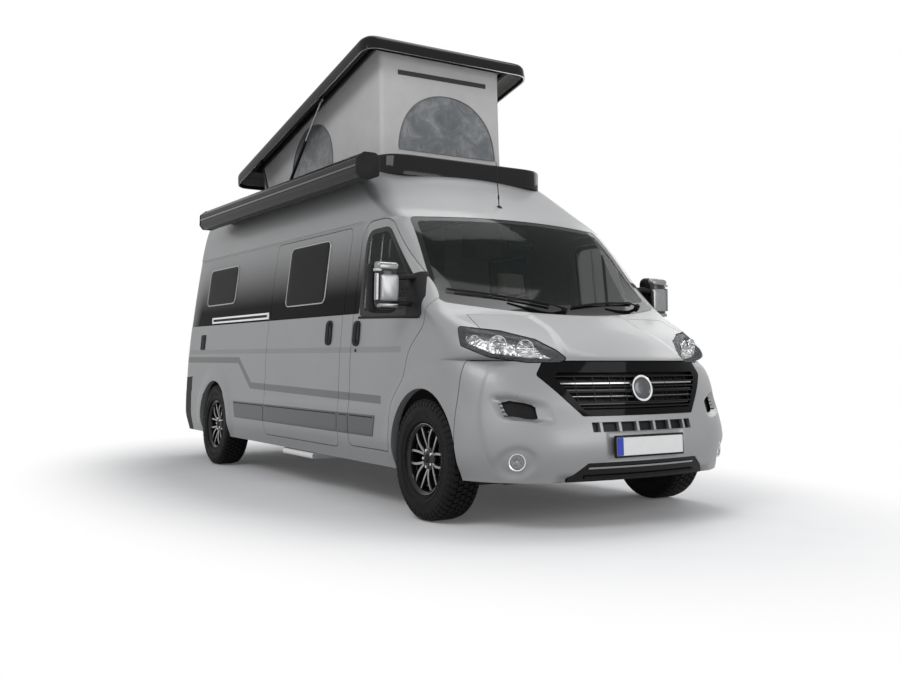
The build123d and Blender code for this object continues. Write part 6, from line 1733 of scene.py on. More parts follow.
CLAD_Z = (.462, .608)
CLAD = {"rear_right": (-1, "body", -1.44, SLIDE_R - .010), "slide": (-1, "body", SLIDE_R + .006, SLIDE_F - .006),
        "post": (-1, "body", SLIDE_F + .010, DOOR_R - .010), "door_right": (-1, "front_door_right", DOOR_R + .006,
            1.40),
        "left": (1, "body", -1.44, DOOR_R - .010), "door_left": (1, "front_door_left", DOOR_R + .006, 1.40)}
for name, (s, body_name, x0, x1) in CLAD.items():
    part = wall_plate(s, x0, x1, *CLAD_Z, .045 if name in ("rear_right", "left") else 0,
                      -.035 if name.startswith("door") else 0, .0042)
    new_object(f"side_cladding_{name}", *part, GRAPHITE_PANEL, body_name, "paint", 30)
    bead = wall_plate(s, x0 + .02, x1 - .02, CLAD_Z[1] - .020, CLAD_Z[1] - .012, 0, 0, .0056, 48, 3)
    new_object(f"side_cladding_bead_{name}", *bead, SATIN_BLACK, body_name, "paint", 30)

for name, s, body_name, x0, z0, z1 in (("front_right", -1, "front_door_right", DOOR_R + .020, 1.070, 1.250),
                                       ("front_left", 1, "front_door_left", DOOR_R + .020, 1.070, 1.250),
                                       ("sliding", -1, "body", SLIDE_F - .270, 1.080, 1.265)):
    out2 = rounded(rect(x0 + .002, x0 + .108, z0 + .001, z1 - .001), .048, 8)
    dish = on_wall(s, [(out2, -.003), (out2, .007), (grown(out2, -.004), .0105), (grown(out2, -.014), .0105),
                       (grown(out2, -.020), .002),
                       (grown(out2, -.034), -.012)])
    new_object(f"handle_dish_{name}", *dish, GRAIN_BLACK, body_name, "black_plastic", 35)
    xc = x0 + .055
    path = [(xc, wall_y(xc, z, s, o2), z) for z, o2 in ((z0 + .012, .006), (z0 + .030, .0115),
                                                        ((z0 + z1) / 2, .0130), (z1 - .030, .0115),
                                                        (z1 - .012, .006))]
    v, f = sweep(smooth_path(path, 6), rounded(rect(-.021, .021, -.0045, .0030), .003, 3), up=Vector((0, 1, 0)))
    new_object(f"handle_grip_{name}", v, f, SATIN_BLACK, body_name, "black_plastic", 40)
    if name != "sliding":
        v, f = revolve([(.0001, .0), (.011, .0), (.011, .003), (.009, .0045), (.0001, .0045)], 20)
        cy = wall_y(x0 + .055, z0 - .03, s)
        new_object(f"door_lock_{name}", [(p[0] + x0 + .055, cy + s * (p[1]), p[2] + z0 - .03) for p in v], f,
                   SATIN_BLACK,
                   body_name, "black_plastic", 30)

# sliding door's rail: two bright strips on a dark channel, with a block at each end
RAIL_X0, RAIL_X1 = SLIDE_R - 1.525, SLIDE_R - .012


def wall_bar(x0, x1, z0, z1, out0, out1, r=.003, s=-1, n=4):
    prof = rounded(rect(z0, z1, out0, out1), r, n)
    return loft_rings([[(x, wall_y(x, 1.342, s, o2), z) for z, o2 in prof] for x in np.linspace(x0, x1, 12)])


new_object("slide_rail_channel", *wall_bar(RAIL_X0 + .01, RAIL_X1 - .01, 1.322, 1.362, -.004, .0025), SATIN_BLACK,
           "body", "black_plastic", 30)
new_object("slide_rail_top", *wall_bar(RAIL_X0, RAIL_X1, 1.353, 1.370, -.004, .0095), BRIGHT, "body", "alu", 40)
new_object("slide_rail_bottom", *wall_bar(RAIL_X0, RAIL_X1, 1.314, 1.331, -.004, .0095), BRIGHT, "body", "alu", 40)
for k, (x0, x1) in enumerate(((RAIL_X0 - .002, RAIL_X0 + .035), (RAIL_X1 - .045, RAIL_X1 + .001))):
    new_object(f"slide_rail_end_{k}", *wall_bar(x0, x1, 1.3125, 1.3715, -.004, .0099, .006), ALU, "body", "alu", 40)

# vent flap of the fridge and the water filler's cap behind the sliding door
for name, s, x0, x1, z0, z1 in (("vent_flap", -1, -2.480, -2.350, 1.065, 1.210),
                                ("filler_flap", 1, -2.30, -2.13, 1.04, 1.21)):
    out2 = rounded(rect(x0, x1, z0, z1), .016, 5)
    part = on_wall(s, [(out2, -.002), (out2, .004), (grown(out2, -.003), .0062), (grown(out2, -.014), .0062),
                       (grown(out2, -.016), .0046),
                       (grown(out2, -.019), .0058)])
    new_object(name, *part, SATIN_BLACK, "body", "black_plastic", 30)
    for k in range(4):
        z = z0 + .035 + k * .024
        slat = rounded(rect(x0 + .026, x1 - .026, z - .006, z + .006), .004, 3)
        new_object(f"{name}_slat_{k}", *on_wall(s, [(slat, .004), (slat, .0068), (grown(slat, -.002), .0078)]),
                   GRAIN_BLACK, "body",
                   "black_plastic", 30)

# ------------------------------------------------------------------ windscreen furniture, aerial
def on_screen(y, z, out):
    return nose_point(y, z, out)[0]


WIPERS = [((-.06, 1.305), (-.44, 1.362), (-.815, 1.425), (-.16, 1.330)),
          ((.70, 1.352), (.36, 1.345), (.66, 1.375), (.02, 1.325))]
for k, (pivot, mid, tip, heel) in enumerate(WIPERS):
    blade = [on_screen(heel[0] + (tip[0] - heel[0]) * t,
                       heel[1] + (tip[1] - heel[1]) * t + .010 * math.sin(math.pi * t), .010)
             for t in np.linspace(0, 1, 15)]
    v, f = sweep(blade, [(-.011, -.004), (-.007, .004), (-.001, .006), (.0015, .006), (.004, .001), (.004, -.004)])
    rubber = sweep(blade, [(-.0015, -.009), (-.0015, -.003), (.0015, -.003), (.0015, -.009)])
    new_object(f"wiper_blade_{k}", v, f, SATIN_BLACK, "body", "black_plastic", 30)
    new_object(f"wiper_rubber_{k}", *rubber, RUBBER, "body", "black_plastic", 30)
    arm_path = [on_screen(*pivot, .010), on_screen(pivot[0] + (mid[0] - pivot[0]) * .25,
                                                   pivot[1] + (mid[1] - pivot[1]) * .25 - .004, .030),
                on_screen(pivot[0] + (mid[0] - pivot[0]) * .65, pivot[1] + (mid[1] - pivot[1]) * .65, .030),
                on_screen(*mid, .016)]
    v, f = sweep(smooth_path(arm_path, 6), rounded(rect(-.009, .009, -.004, .004), .003, 3),
                 scales=[1.25 - .55 * t for t in np.linspace(0, 1, 19)])
    new_object(f"wiper_arm_{k}", v, f, SATIN_BLACK, "body", "black_plastic", 35)
    c = on_screen(*pivot, -.004)
    v, f = revolve([(.0001, .030), (.012, .030), (.016, .024), (.020, .004), (.022, -.010), (.0001, -.010)], 24,
                   (0, 0, 0), "z")
    tilt = nose_point(*pivot)[1].to_track_quat("Z", "Y").to_matrix()
    new_object(f"wiper_pivot_{k}", [tilt @ Vector(p) + c for p in v], f, GRAIN_BLACK, "body", "black_plastic", 35)
# cowl grille at the foot of the screen
rows2 = []
for t in np.linspace(-1, 1, 61):
    y = .80 * t
    z_top = 1.268 + .077 * (y / .90) ** 2 - .004
    rows2.append([on_screen(y, z_top - d, -e) for d, e in ((.0, .006), (.010, .012), (.030, .020), (.046, .028))])
v = [tuple(p) for r3 in rows2 for p in r3]
f = [(i * 4 + j, i * 4 + j + 1, i * 4 + j + 5, i * 4 + j + 4) for i in range(60) for j in range(3)]
o = new_object("cowl_panel", v, f, GRAIN_BLACK, "body", "black_plastic", 50)
md = o.modifiers.new("thick", "SOLIDIFY")
md.thickness = .004
c, n = nose_point(0, 1.925, -.030)
tilt = n.to_track_quat("X", "Z").to_matrix().to_4x4()
tilt.translation = c
bevelled_box("screen_sensor_housing", (-.020, -.055, -.060), (.014, .055, .050), .012, SATIN_BLACK, "body",
             3, tilt)
bevelled_box("interior_mirror", (-.070, -.115, -.125), (-.045, .115, -.060), .012, SATIN_BLACK, "body",
             3, tilt)

base = Vector((1.349, 0, 2.100))
v, f = revolve([(.0001, .022), (.012, .021), (.020, .014), (.026, .002), (.028, -.010), (.0001, -.010)], 28,
               tuple(base), "z")
new_object("aerial_foot", v, f, GRAIN_BLACK, "body", "black_plastic", 40)
mast = [base + Vector((0, 0, .015)), Vector((1.340, 0, 2.20)), Vector((1.322, 0, 2.33)), Vector((1.304, 0, 2.465))]
v, f = sweep(smooth_path(mast, 8), circle(.0042, 10), scales=[1.0 - .45 * t for t in np.linspace(0, 1, 25)])
new_object("aerial_mast", v, f, SATIN_BLACK, "body", "black_plastic", 50)
v, f = revolve([(.0001, .030), (.0055, .028), (.0065, .0), (.0055, -.004), (.0001, -.004)], 16, (1.342, 0, 2.175),
               "z")
new_object("aerial_spring_cap", v, f, SATIN_BLACK, "body", "black_plastic", 40)

# door windows: the divider between the quarter light and the drop glass, with its bright edges
for s, side in ((-1, "right"), (1, "left")):
    door = "front_door_" + side
    for k, (x, w, mat, out) in enumerate(((1.300, .0030, BRIGHT, -.0005), (1.435, .013, SATIN_BLACK, -.001),
                                          (1.428, .0022, BRIGHT, .0002),
                                          (1.444, .0022, BRIGHT, .0002), (1.115, .0025, BRIGHT, -.0005))):
        top_z = 1.845 if x < 1.39 else 1.800
        bar = [(x - w, 1.320), (x + w, 1.320), (x + w - .010, top_z), (x - w - .010, top_z)]
        part = on_wall(s, [(bar, -.014), (bar, out - .0035)], cap1=False)
        part = (part[0], part[1] + [(4, 5, 6, 7)])
        new_object(f"door_window_divider_{side}_{k}", *part, mat, door, "black_plastic", 30)
    belt = rounded([(DOOR_R + .078, 1.262), (DOOR_F - .060, 1.240), (DOOR_F - .062, 1.256), (DOOR_R + .080, 1.279)],
                   .004, 3)
    new_object(f"door_belt_seal_{side}", *on_wall(s, [(belt, -.006), (belt, .001), (grown(belt, -.003), .003)]),
               RUBBER, door, "black_plastic", 30)

# ------------------------------------------------------------------ tail
LAMP_SECTIONS = [("stop", 1.360, 1.485, RED_LENS), ("turn", 1.240, 1.357, AMBER),
                 ("reverse", 1.130, 1.237, CLEAR_LENS), ("fog", .995, 1.127, RED_LENS)]
for s, side in ((-1, "right"), (1, "left")):
    cutter = tool(*prism_x([(s * a, b) for a, b in grown(TAIL_LAMP, -.001)], -3.3, -2.70))
    for name, z0, z1, mat in LAMP_SECTIONS:
        panel(f"tail_lamp_{name}_{side}", [cutter, box_tool(-3.4, -2.6, -1.3, 1.3, z0, z1)], [], mat, "body",
              ["tail_lights"], inside=mat)
    door = "rear_door_" + side
    for k, z in enumerate((.72, 1.30, 2.02)):
        y = s * (TAIL_HALF - .002)
        tail_x = -NOSE_X + COLUMNS[1](z)
        bevelled_box(f"rear_hinge_{side}_{k}", (tail_x - .004, min(y - s * .055, y + s * .004), z - .045),
                     (tail_x + .012, max(y - s * .055, y + s * .004), z + .045), .003, PAINT, door)
    y = s * .395
    grab = rounded(rect(y - .11, y + .11, 1.09, 1.135), .015, 4)
    if s > 0:
        grab = rounded(rect(.05, .20, 1.06, 1.11), .015, 4)
    else:
        grab = rounded(rect(-.22, -.05, 1.06, 1.11), .015, 4)
    x = -NOSE_X + COLUMNS[1](1.1)
    new_object(f"rear_handle_{side}", *loft_rings([[(x + .004, a, b) for a, b in grab],
                                                   [(x - .001, a, b) for a, b in grab],
                                                   [(x - .0015, a, b) for a, b in grown(grab, -.006)]]), SATIN_BLACK,
                                                   door, "black_plastic", 35)
    seal_in = rounded(rect(-.690, -.130, 1.430, 1.950), .050, 7)
    tx = lambda b, d: -NOSE_X + COLUMNS[1](b) + d
    part = loft_rings([[(tx(b, .003), -s * a, b) for a, b in seal_in],
                       [(tx(b, -.0015), -s * a, b) for a, b in grown(seal_in, .003)],
                       [(tx(b, -.0015), -s * a, b) for a, b in grown(seal_in, .010)],
                       [(tx(b, .001), -s * a, b) for a, b in grown(seal_in, .014)]],
                      False, False)
    new_object(f"rear_window_seal_{side}", *part, RUBBER, door, "acrylic_window", 35)
x = -NOSE_X + COLUMNS[1](.86)
plate_face = rounded(rect(.135, .655, .795, .905), .008, 4)
new_object("rear_plate_holder", *loft_rings([[(x + .004, a, b) for a, b in grown(plate_face, .008)],
                                             [(x - .0008, a, b) for a, b in grown(plate_face, .008)],
                                             [(x - .0012, a, b) for a, b in grown(plate_face, .002)]]), GRAIN_BLACK,
                                             "rear_door_left", "black_plastic", 30)
new_object("rear_plate", *loft_rings([[(x - .0010, a, b) for a, b in plate_face],
                                      [(x - .0022, a, b) for a, b in grown(plate_face, -.001)]]),
           WHITE_PLATE, "rear_door_left", "black_plastic", 30)
third = rounded(rect(-.15, .15, 2.262, 2.292), .010, 4)
x = -NOSE_X + COLUMNS[1](2.277)
new_object("third_stop_lamp", *loft_rings([[(x + .010, a, b) for a, b in third], [(x - .001, a, b) for a, b in third],
                                           [(x - .003, a, b) for a, b in grown(third, -.004)]]), RED_LENS, "body",
                                           "tail_lamp", 30)
for s, side in ((-1, "right"), (1, "left")):
    reflector = rounded(rect(.60 * 1, .72, .40, .43), .006, 3)
    x = -NOSE_X + COLUMNS[1](.41) 
    new_object(f"rear_reflector_{side}", *loft_rings([[(x + .004, s * a, b) for a, b in reflector],
                                                      [(x - .0015, s * a, b) for a, b in reflector],
                                                      [(x - .0022, s * a, b) for a, b in grown(reflector, -.003)]]),
                                                      RED_LENS, "body", "tail_lamp", 30)

# ------------------------------------------------------------------ entry step
SX, SY, SZ = (SLIDE_R + .350, SLIDE_R + .950), (-.975, -.720), (.225, .275)
deck = loft_rings([[(x, y, z) for x, y in rounded(rect(SX[0] + g, SX[1] - g, SY[0] + g, SY[1]), .018, 5)] for g, z in
                   ((.004, SZ[1] - .016), (.0, SZ[1] - .013), (.0, SZ[1] - .003), (.003, SZ[1] - .0005))])
o = new_object("step_tread", *deck, ALU, "entry_step", "alu", 35)
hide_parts("entry_step")
nose_prof = rounded([(SY[0] + .001, SZ[0] + .006), (SY[0] + .020, SZ[0] + .001), (SY[0] + .024, SZ[0] + .008),
                     (SY[0] + .010, SZ[0] + .016),
                     (SY[0] + .010, SZ[1] - .014), (SY[0] + .001, SZ[1] - .010)], .003, 3)
new_object("step_front_rail", *run_x(nose_prof, SX[0] + .006, SX[1] - .006), ALU, "entry_step", "alu", 35)
for k in range(6):
    y = SY[0] + .024 + k * .036
    strip = rounded(rect(SX[0] + .030, SX[1] - .030, y, y + .020), .004, 3)
    new_object(f"step_grip_{k}", *loft_rings([[(a, b, SZ[1] - .003) for a, b in strip],
                                              [(a, b, SZ[1] - .0004) for a, b in grown(strip, -.0005)]]),
               GRAIN_BLACK, "entry_step", "alu", 30)
for k, x in enumerate((SX[0] + .001, SX[1] - .013)):
    side2 = rounded([(SY[0] + .002, SZ[0] + .004), (SY[1] - .002, SZ[0] + .001), (SY[1] - .002, SZ[1] - .012),
                     (SY[0] + .002, SZ[1] - .008)], .006, 4)
    new_object(f"step_side_plate_{k}", *loft_rings([[(x + d, a, b) for a, b in side2] for d in (0, .012)]), ALU,
               "entry_step", "alu", 35)
    bevelled_box(f"step_arm_{k}", (x - .002 + (.018 if k == 0 else -.030), SY[1] - .16, SZ[0] + .012),
                 (x + .022 + (.018 if k == 0 else -.030), SY[1] - .004, SZ[0] + .030),
                 .003, SATIN_BLACK, "entry_step")

# ------------------------------------------------------------------ cab and cabin
WHEEL_C, WHEEL_R, COLUMN_TILT = Vector((FRONT_AXLE - .430, .430, 1.195)), .190, math.radians(40)
spin = Matrix.Rotation(-math.pi / 2 + COLUMN_TILT, 4, "Y")
spin.translation = WHEEL_C
rim_prof = [(WHEEL_R + .0145 * math.cos(a), .0145 * math.sin(a) * (1.05)) for a in np.linspace(0, 2 * math.pi, 18)]
v, f = revolve([(r, w) for r, w in rim_prof], 96, (0, 0, 0), "z")
LEATHER = surface("wheel_leather", (0.020, 0.020, 0.020), 0.5, vary=0.2, bump=0.35, bump_scale=260)
o = new_object("steering_wheel_rim", [spin @ Vector(p) for p in v], f, LEATHER, "steering_wheel", "dash", 60)
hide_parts("steering_wheel")
hub = loft_rings([[(x, y, z) for x, y in rounded([(-.060 + g, -.085 + g), (.045 - g, -.085 + g), (.075 - g, .0),
                                                  (.045 - g, .085 - g), (-.060 + g, .085 - g)], .03, 5)]
                  for g, z in ((.0, -.020), (.0, .004), (.004, .014), (.014, .021), (.032, .0225))])
new_object("steering_wheel_pad", [spin @ Vector(p) for p in hub[0]], hub[1], DASH, "steering_wheel", "dash", 40)
for k, a in enumerate((math.pi / 2, -math.pi / 2, math.pi)):
    d = Vector((math.cos(a), math.sin(a), 0))
    side3 = Vector((-d.y, d.x, 0))
    rings3 = []
    for t, w, h, lift in ((.035, .030, .008, .004), (.080, .026, .008, .002), (.130, .019, .007, .0),
                          (.186, .016, .006, .0)):
        rings3.append([tuple(spin @ (d * t + side3 * (w * c1) + Vector((0, 0, lift + h * s1)))) for c1, s1 in
                       rounded(rect(-1, 1, -1, 1), .5, 3)])
    new_object(f"steering_wheel_spoke_{k}", *loft_rings(rings3), SATIN_BLACK if k else SATIN_BLACK, "steering_wheel",
               "dash", 50)
v, f = revolve([(.0001, -.020), (.040, -.020), (.036, -.070), (.024, -.110), (.021, -.290), (.0001, -.290)], 32,
               (0, 0, 0), "z")
new_object("steering_column", [spin @ Vector(p) for p in v], f, DASH, "steering_wheel", "dash", 40)

hood = []
for t in np.linspace(-1, 1, 17):
    y = .430 + .195 * t
    h = .060 * (1 - abs(t) ** 3.2)
    hood.append([(1.815, y, 1.145), (1.815, y, 1.165 + h * .7), (1.835, y, 1.170 + h), (1.90, y, 1.172 + h),
                 (2.00, y, 1.168 + h * .55), (2.06, y, 1.150)])
v = [p for r3 in hood for p in r3]
f = [(i * 6 + j, i * 6 + j + 1, i * 6 + j + 7, i * 6 + j + 6) for i in range(16) for j in range(5)]
o = new_object("instrument_hood", v, f, DASH, "body", "dash", 60)
md = o.modifiers.new("thick", "SOLIDIFY")
md.thickness = .006
bevelled_box("instrument_face", (1.828, .270, 1.120), (1.845, .590, 1.205), .004, GLOSS_BLACK, "body")
bevelled_box("centre_screen", (1.790, -.105, 1.060), (1.815, .115, 1.190), .006, GLOSS_BLACK, "body")
bevelled_box("centre_console", (1.770, -.125, .885), (1.860, .135, 1.055), .012, DASH, "body")
for k, y in enumerate((-.62, -.22, .20, .70)):
    for j in range(4):
        bevelled_box(f"dash_vent_{k}_{j}", (1.795, y - .055, 1.085 + j * .016), (1.812, y + .055, 1.091 + j * .016),
                     .0018, SATIN_BLACK, "body")

FLOOR_MAT, floor_tree, floor_bsdf = node_material("cabin_floor_and_underbody")
fl = Tree(floor_tree)
x1, y1, z1 = fl.xyz()
planks = fl("TexNoise", {"Vector": fl("VectorMath", {0: fl.coords(), 1: (2.2, 26, 1)},
                                      operation="MULTIPLY").outputs[0], "Scale": 1.5, "Detail": 8.0}).outputs[0]
wood = fl.ramp(planks, [(0.3, (0.10, 0.075, 0.055)), (0.7, (0.20, 0.16, 0.125))])
dirt = fl("TexNoise", {"Vector": fl.coords(), "Scale": 9.0, "Detail": 5.0}).outputs[0]
under = fl.ramp(dirt, [(0.3, (0.009, 0.009, 0.009)), (0.7, (0.020, 0.020, 0.019))])
floor_tree.links.new(fl.mix(fl.math("MULTIPLY", fl.step(z1, .556, .002), fl.math("LESS_THAN", z1, .60)), under,
                            wood), floor_bsdf.inputs["Base Color"])
floor_tree.links.new(fl("MapRange", {0: dirt, 3: .45, 4: .7}).outputs[0], floor_bsdf.inputs["Roughness"])
fl.bump(floor_bsdf, dirt, .2, .003)
FURNITURE, fur_tree, fur_bsdf = node_material("cabin_furniture")
fu = Tree(fur_tree)
z2 = fu.xyz()[2]
grain = fu("TexNoise", {"Vector": fu("VectorMath", {0: fu.coords(), 1: (1.5, 1.5, 22)},
                                     operation="MULTIPLY").outputs[0], "Scale": 2.5, "Detail": 7.0}).outputs[0]
pale2 = fu.ramp(grain, [(0.3, (0.46, 0.43, 0.39)), (0.7, (0.56, 0.53, 0.49))])
top2 = fu.ramp(grain, [(0.3, (0.10, 0.095, 0.09)), (0.7, (0.17, 0.165, 0.16))])
is_top = fu.math("MULTIPLY", fu.step(z2, 1.369, .001), fu.math("LESS_THAN", z2, 1.402))
fur_tree.links.new(fu.mix(is_top, pale2, top2), fur_bsdf.inputs["Base Color"])
fur_tree.links.new(fu("MapRange", {0: grain, 3: .38, 4: .55}).outputs[0], fur_bsdf.inputs["Roughness"])
fu.bump(fur_bsdf, grain, .06, .002)
dress(FLOOR_MAT, "floor_pan")
dress(FURNITURE, "living_furniture")
dress(DASH, "dashboard")
dress(CAST, "engine_block", "rear_axle", "knuckle_right", "knuckle_left")
dress(SATIN_BLACK, "roof_links", "strut_barrels")
dress(STEEL, "strut_rods")
for k, (x, z) in enumerate(((KX + .165, 1.24) for KX in (SLIDE_R - .25, SLIDE_R + .08, SLIDE_R + .41))):
    tube(f"cupboard_handle_{k}", [(x - .07, -.4185, z), (x - .07, -.402, z), (x + .07, -.402, z),
                                  (x + .07, -.4185, z)], .005, BRIGHT, "body", "furniture", 10, 1)
# ------------------------------------------------------------------ seats and mattress: padded, swollen by a cloth run
def swollen(o, voxel, cap_move, pressure=4.0, smooth_steps=2):
    """Remeshes the pad evenly, lets pressure fill it out, caps how far each point goes, and subdivides once."""
    me = o.data
    md = o.modifiers.new("even", "REMESH")
    md.mode = "VOXEL"
    md.voxel_size = voxel
    bpy.context.view_layer.update()
    done = bpy.data.meshes.new_from_object(o.evaluated_get(bpy.context.evaluated_depsgraph_get()))
    o.modifiers.clear()
    o.data = done
    bpy.data.meshes.remove(me)
    start = np.array([v.co[:] for v in o.data.vertices])
    cl = o.modifiers.new("fill", "CLOTH")
    st = cl.settings
    st.quality = 4
    st.mass = .3
    st.use_pressure = True
    st.uniform_pressure_force = pressure
    st.tension_stiffness = st.compression_stiffness = 15
    st.bending_stiffness = .8
    st.effector_weights.gravity = 0
    cl.point_cache.frame_start, cl.point_cache.frame_end = 1, 20
    for frame_number in range(1, 21):
        scene.frame_set(frame_number)
    ev = o.evaluated_get(bpy.context.evaluated_depsgraph_get())
    moved = np.array([v.co[:] for v in ev.data.vertices])
    step3 = moved - start
    far = np.linalg.norm(step3, axis=1, keepdims=True)
    moved = start + step3 * np.minimum(1, cap_move / np.maximum(far, 1e-9))
    o.modifiers.clear()
    scene.frame_set(1)
    o.data.vertices.foreach_set("co", moved.ravel())
    bm = bmesh.new()
    bm.from_mesh(o.data)
    for _ in range(smooth_steps):
        bmesh.ops.smooth_vert(bm, verts=bm.verts, factor=.5, use_axis_x=True, use_axis_y=True, use_axis_z=True)
    bmesh.ops.subdivide_edges(bm, edges=bm.edges, cuts=1, use_grid_fill=True, smooth=0)
    bmesh.ops.smooth_vert(bm, verts=bm.verts, factor=.5, use_axis_x=True, use_axis_y=True, use_axis_z=True)
    bm.to_mesh(o.data)
    bm.free()


def seams(o, planes, depth=.007, width=.008):
    """Sewn lines: the cover is drawn in along each plane (axis, place, and its range on another axis)."""
    me = o.data
    co = np.array([v.co[:] for v in me.vertices])
    no = np.array([v.normal[:] for v in me.vertices])
    draw = np.zeros(len(co))
    for axis, place, other, a, b in planes:
        near = np.exp(-((co[:, axis] - place) / width) ** 2)
        near *= smooth(co[:, other], a, a + .02) * (1 - smooth(co[:, other], b - .02, b))
        draw = np.maximum(draw, near)
    co -= no * (draw * depth)[:, None]
    me.vertices.foreach_set("co", co.ravel())
    me.update()


def pad(name, outline2, y, mat, voxel, cap_move, seam_planes=(), matrix=None):
    """A cushion from its side view, run between two Y values and drawn in towards its two ends."""
    ys = np.linspace(y[0], y[1], 9)
    cx, cz = sum(p[0] for p in outline2) / len(outline2), sum(p[1] for p in outline2) / len(outline2)
    rings4 = []
    for yy in ys:
        t = abs((yy - (y[0] + y[1]) / 2) / ((y[1] - y[0]) / 2))
        g = 1 - .10 * t ** 6
        rings4.append([(cx + (x - cx) * g, yy, cz + (z - cz) * g) for x, z in outline2])
    o = new_object(name, *loft_rings(rings4), mat, None, None, 60)
    swollen(o, voxel, cap_move)
    if seam_planes:
        seams(o, seam_planes)
    if matrix:
        o.data.transform(matrix)
    o.data.materials.clear()
    o.data.materials.append(mat)
    for poly in o.data.polygons:
        poly.use_smooth = True
    return o


def settle(o, body, replaced=()):
    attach(o, body)
    if replaced:
        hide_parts(*replaced)


SEAT_X0, SEAT_MID, SEAT_W = FRONT_AXLE - .960, .430, .245
lean4 = Matrix.Translation((SEAT_X0 - .060, 0, .850)) @ Matrix.Rotation(math.radians(-12), 4, "Y")
squab2 = rounded([(SEAT_X0 - .050, .780), (SEAT_X0 - .050, .868), (SEAT_X0 + .090, .866), (SEAT_X0 + .430, .912),
                  (SEAT_X0 + .462, .890),
                  (SEAT_X0 + .440, .800)], .024, 4)
back2 = rounded([(-.048, -.028), (-.050, .590), (-.004, .626), (.050, .580), (.062, .120), (.048, -.028)], .024, 4)
head2 = rounded([(-.038, .665), (-.046, .822), (0, .840), (.032, .812), (.032, .668)], .018, 4)
arm2 = rounded([(SEAT_X0 + .018, 1.082), (SEAT_X0 + .018, 1.122), (SEAT_X0 + .322, 1.124), (SEAT_X0 + .322, 1.084)],
               .015, 4)
y0, y1 = -SEAT_MID - SEAT_W + .012, -SEAT_MID + SEAT_W - .012
mid = -SEAT_MID
bolster = [(1, mid - .135, 2, .84, 1.0), (1, mid + .135, 2, .84, 1.0), (0, SEAT_X0 + .150, 2, .86, 1.0),
           (0, SEAT_X0 + .290, 2, .87, 1.0)]
back_seams = [(1, mid - .135, 0, .02, .2), (1, mid + .135, 0, .02, .2), (2, .215, 0, .02, .2), (2, .400, 0, .02, .2)]
right_seat = [
    pad("seat_squab_right", squab2, (y0, y1), SEAT, .013, .010, bolster),
    pad("seat_back_right", back2, (y0, y1), SEAT, .013, .010, back_seams, lean4),
    pad("seat_headrest_right", head2, (mid - .115, mid + .115), SEAT, .010, .008,
        [(1, mid - .07, 0, .0, .2), (1, mid + .07, 0, .0, .2)], lean4),
    pad("seat_armrest_right", arm2, (mid + .217, mid + .273), SEAT_DARK, .009, .004)]
for k, o in enumerate(right_seat):
    left = copy_of(o, o.name.replace("_right", "_left"))
    for v in left.data.vertices:
        v.co.y = -v.co.y
    left.data.flip_normals()
    for q in (o, left):
        settle(q, "body", ["cab_seats"] if k == 0 else ())
for s, side in ((-1, "right"), (1, "left")):
    m5 = s * SEAT_MID
    v, f = loft_rings([[(x, y + m5, z) for x, y in rounded(rect(SEAT_X0 + .020 + g, SEAT_X0 + .380 - g, -.180 + g,
                                                                .180 - g), .03, 5)]
                       for g, z in ((.0, .5605), (.0, .590), (.012, .600), (.016, .690), (.006, .700))])
    new_object(f"seat_pedestal_{side}", v, f, SATIN_BLACK, "body", "black_plastic", 35)
    v, f = revolve([(.0001, .700), (.148, .700), (.150, .706), (.150, .722), (.140, .728), (.146, .734),
                    (.146, .760), (.138, .772),
                    (.0001, .774)], 48, (SEAT_X0 + .20, m5, 0), "z")
    new_object(f"seat_swivel_{side}", v, f, STEEL, "body", "steel", 35)
    shell2 = rounded([(SEAT_X0 - .055, .772), (SEAT_X0 - .050, .800), (SEAT_X0 + .440, .815),
                      (SEAT_X0 + .448, .792)], .008, 3)
    v, f = prism_y(shell2, m5 - .225, m5 + .225)
    new_object(f"seat_pan_{side}", v, f, DASH, "body", "dash", 40)
    for k, dy in enumerate((-.060, .060)):
        a, b = lean4 @ Vector((-.005, m5 + dy, .600)), lean4 @ Vector((-.005, m5 + dy, .690))
        tube(f"headrest_post_{side}_{k}", [a, b], .0065, BRIGHT, "body", "steel", 14, 1)
        c2 = lean4 @ Vector((-.005, m5 + dy, .628))
        v, f = revolve([(.0066, -.004), (.013, -.004), (.012, .004), (.0066, .005)], 20, (0, 0, 0), "z")
        r5 = lean4.to_3x3()
        new_object(f"headrest_collar_{side}_{k}", [r5 @ Vector(p) + c2 for p in v], f, DASH, "body", "dash", 40)
    v, f = revolve([(.0001, -.016), (.026, -.016), (.030, -.010), (.030, .010), (.026, .016), (.0001, .016)], 32,
                   (SEAT_X0 + .010, m5 - s * .245, 1.100), "y")
    new_object(f"armrest_pivot_{side}", v, f, DASH, "body", "dash", 40)

bed2 = rounded([(-2.480, 1.008), (-2.480, 1.122), (-.952, 1.122), (-.952, 1.008)], .03, 5)
bed = pad("rear_mattress", bed2, (-.872, .872), MATTRESS, .028, .012,
          [(0, -1.98, 2, 1.05, 1.4), (0, -1.46, 2, 1.05, 1.4)])
settle(bed, "body", ["rear_bed"])
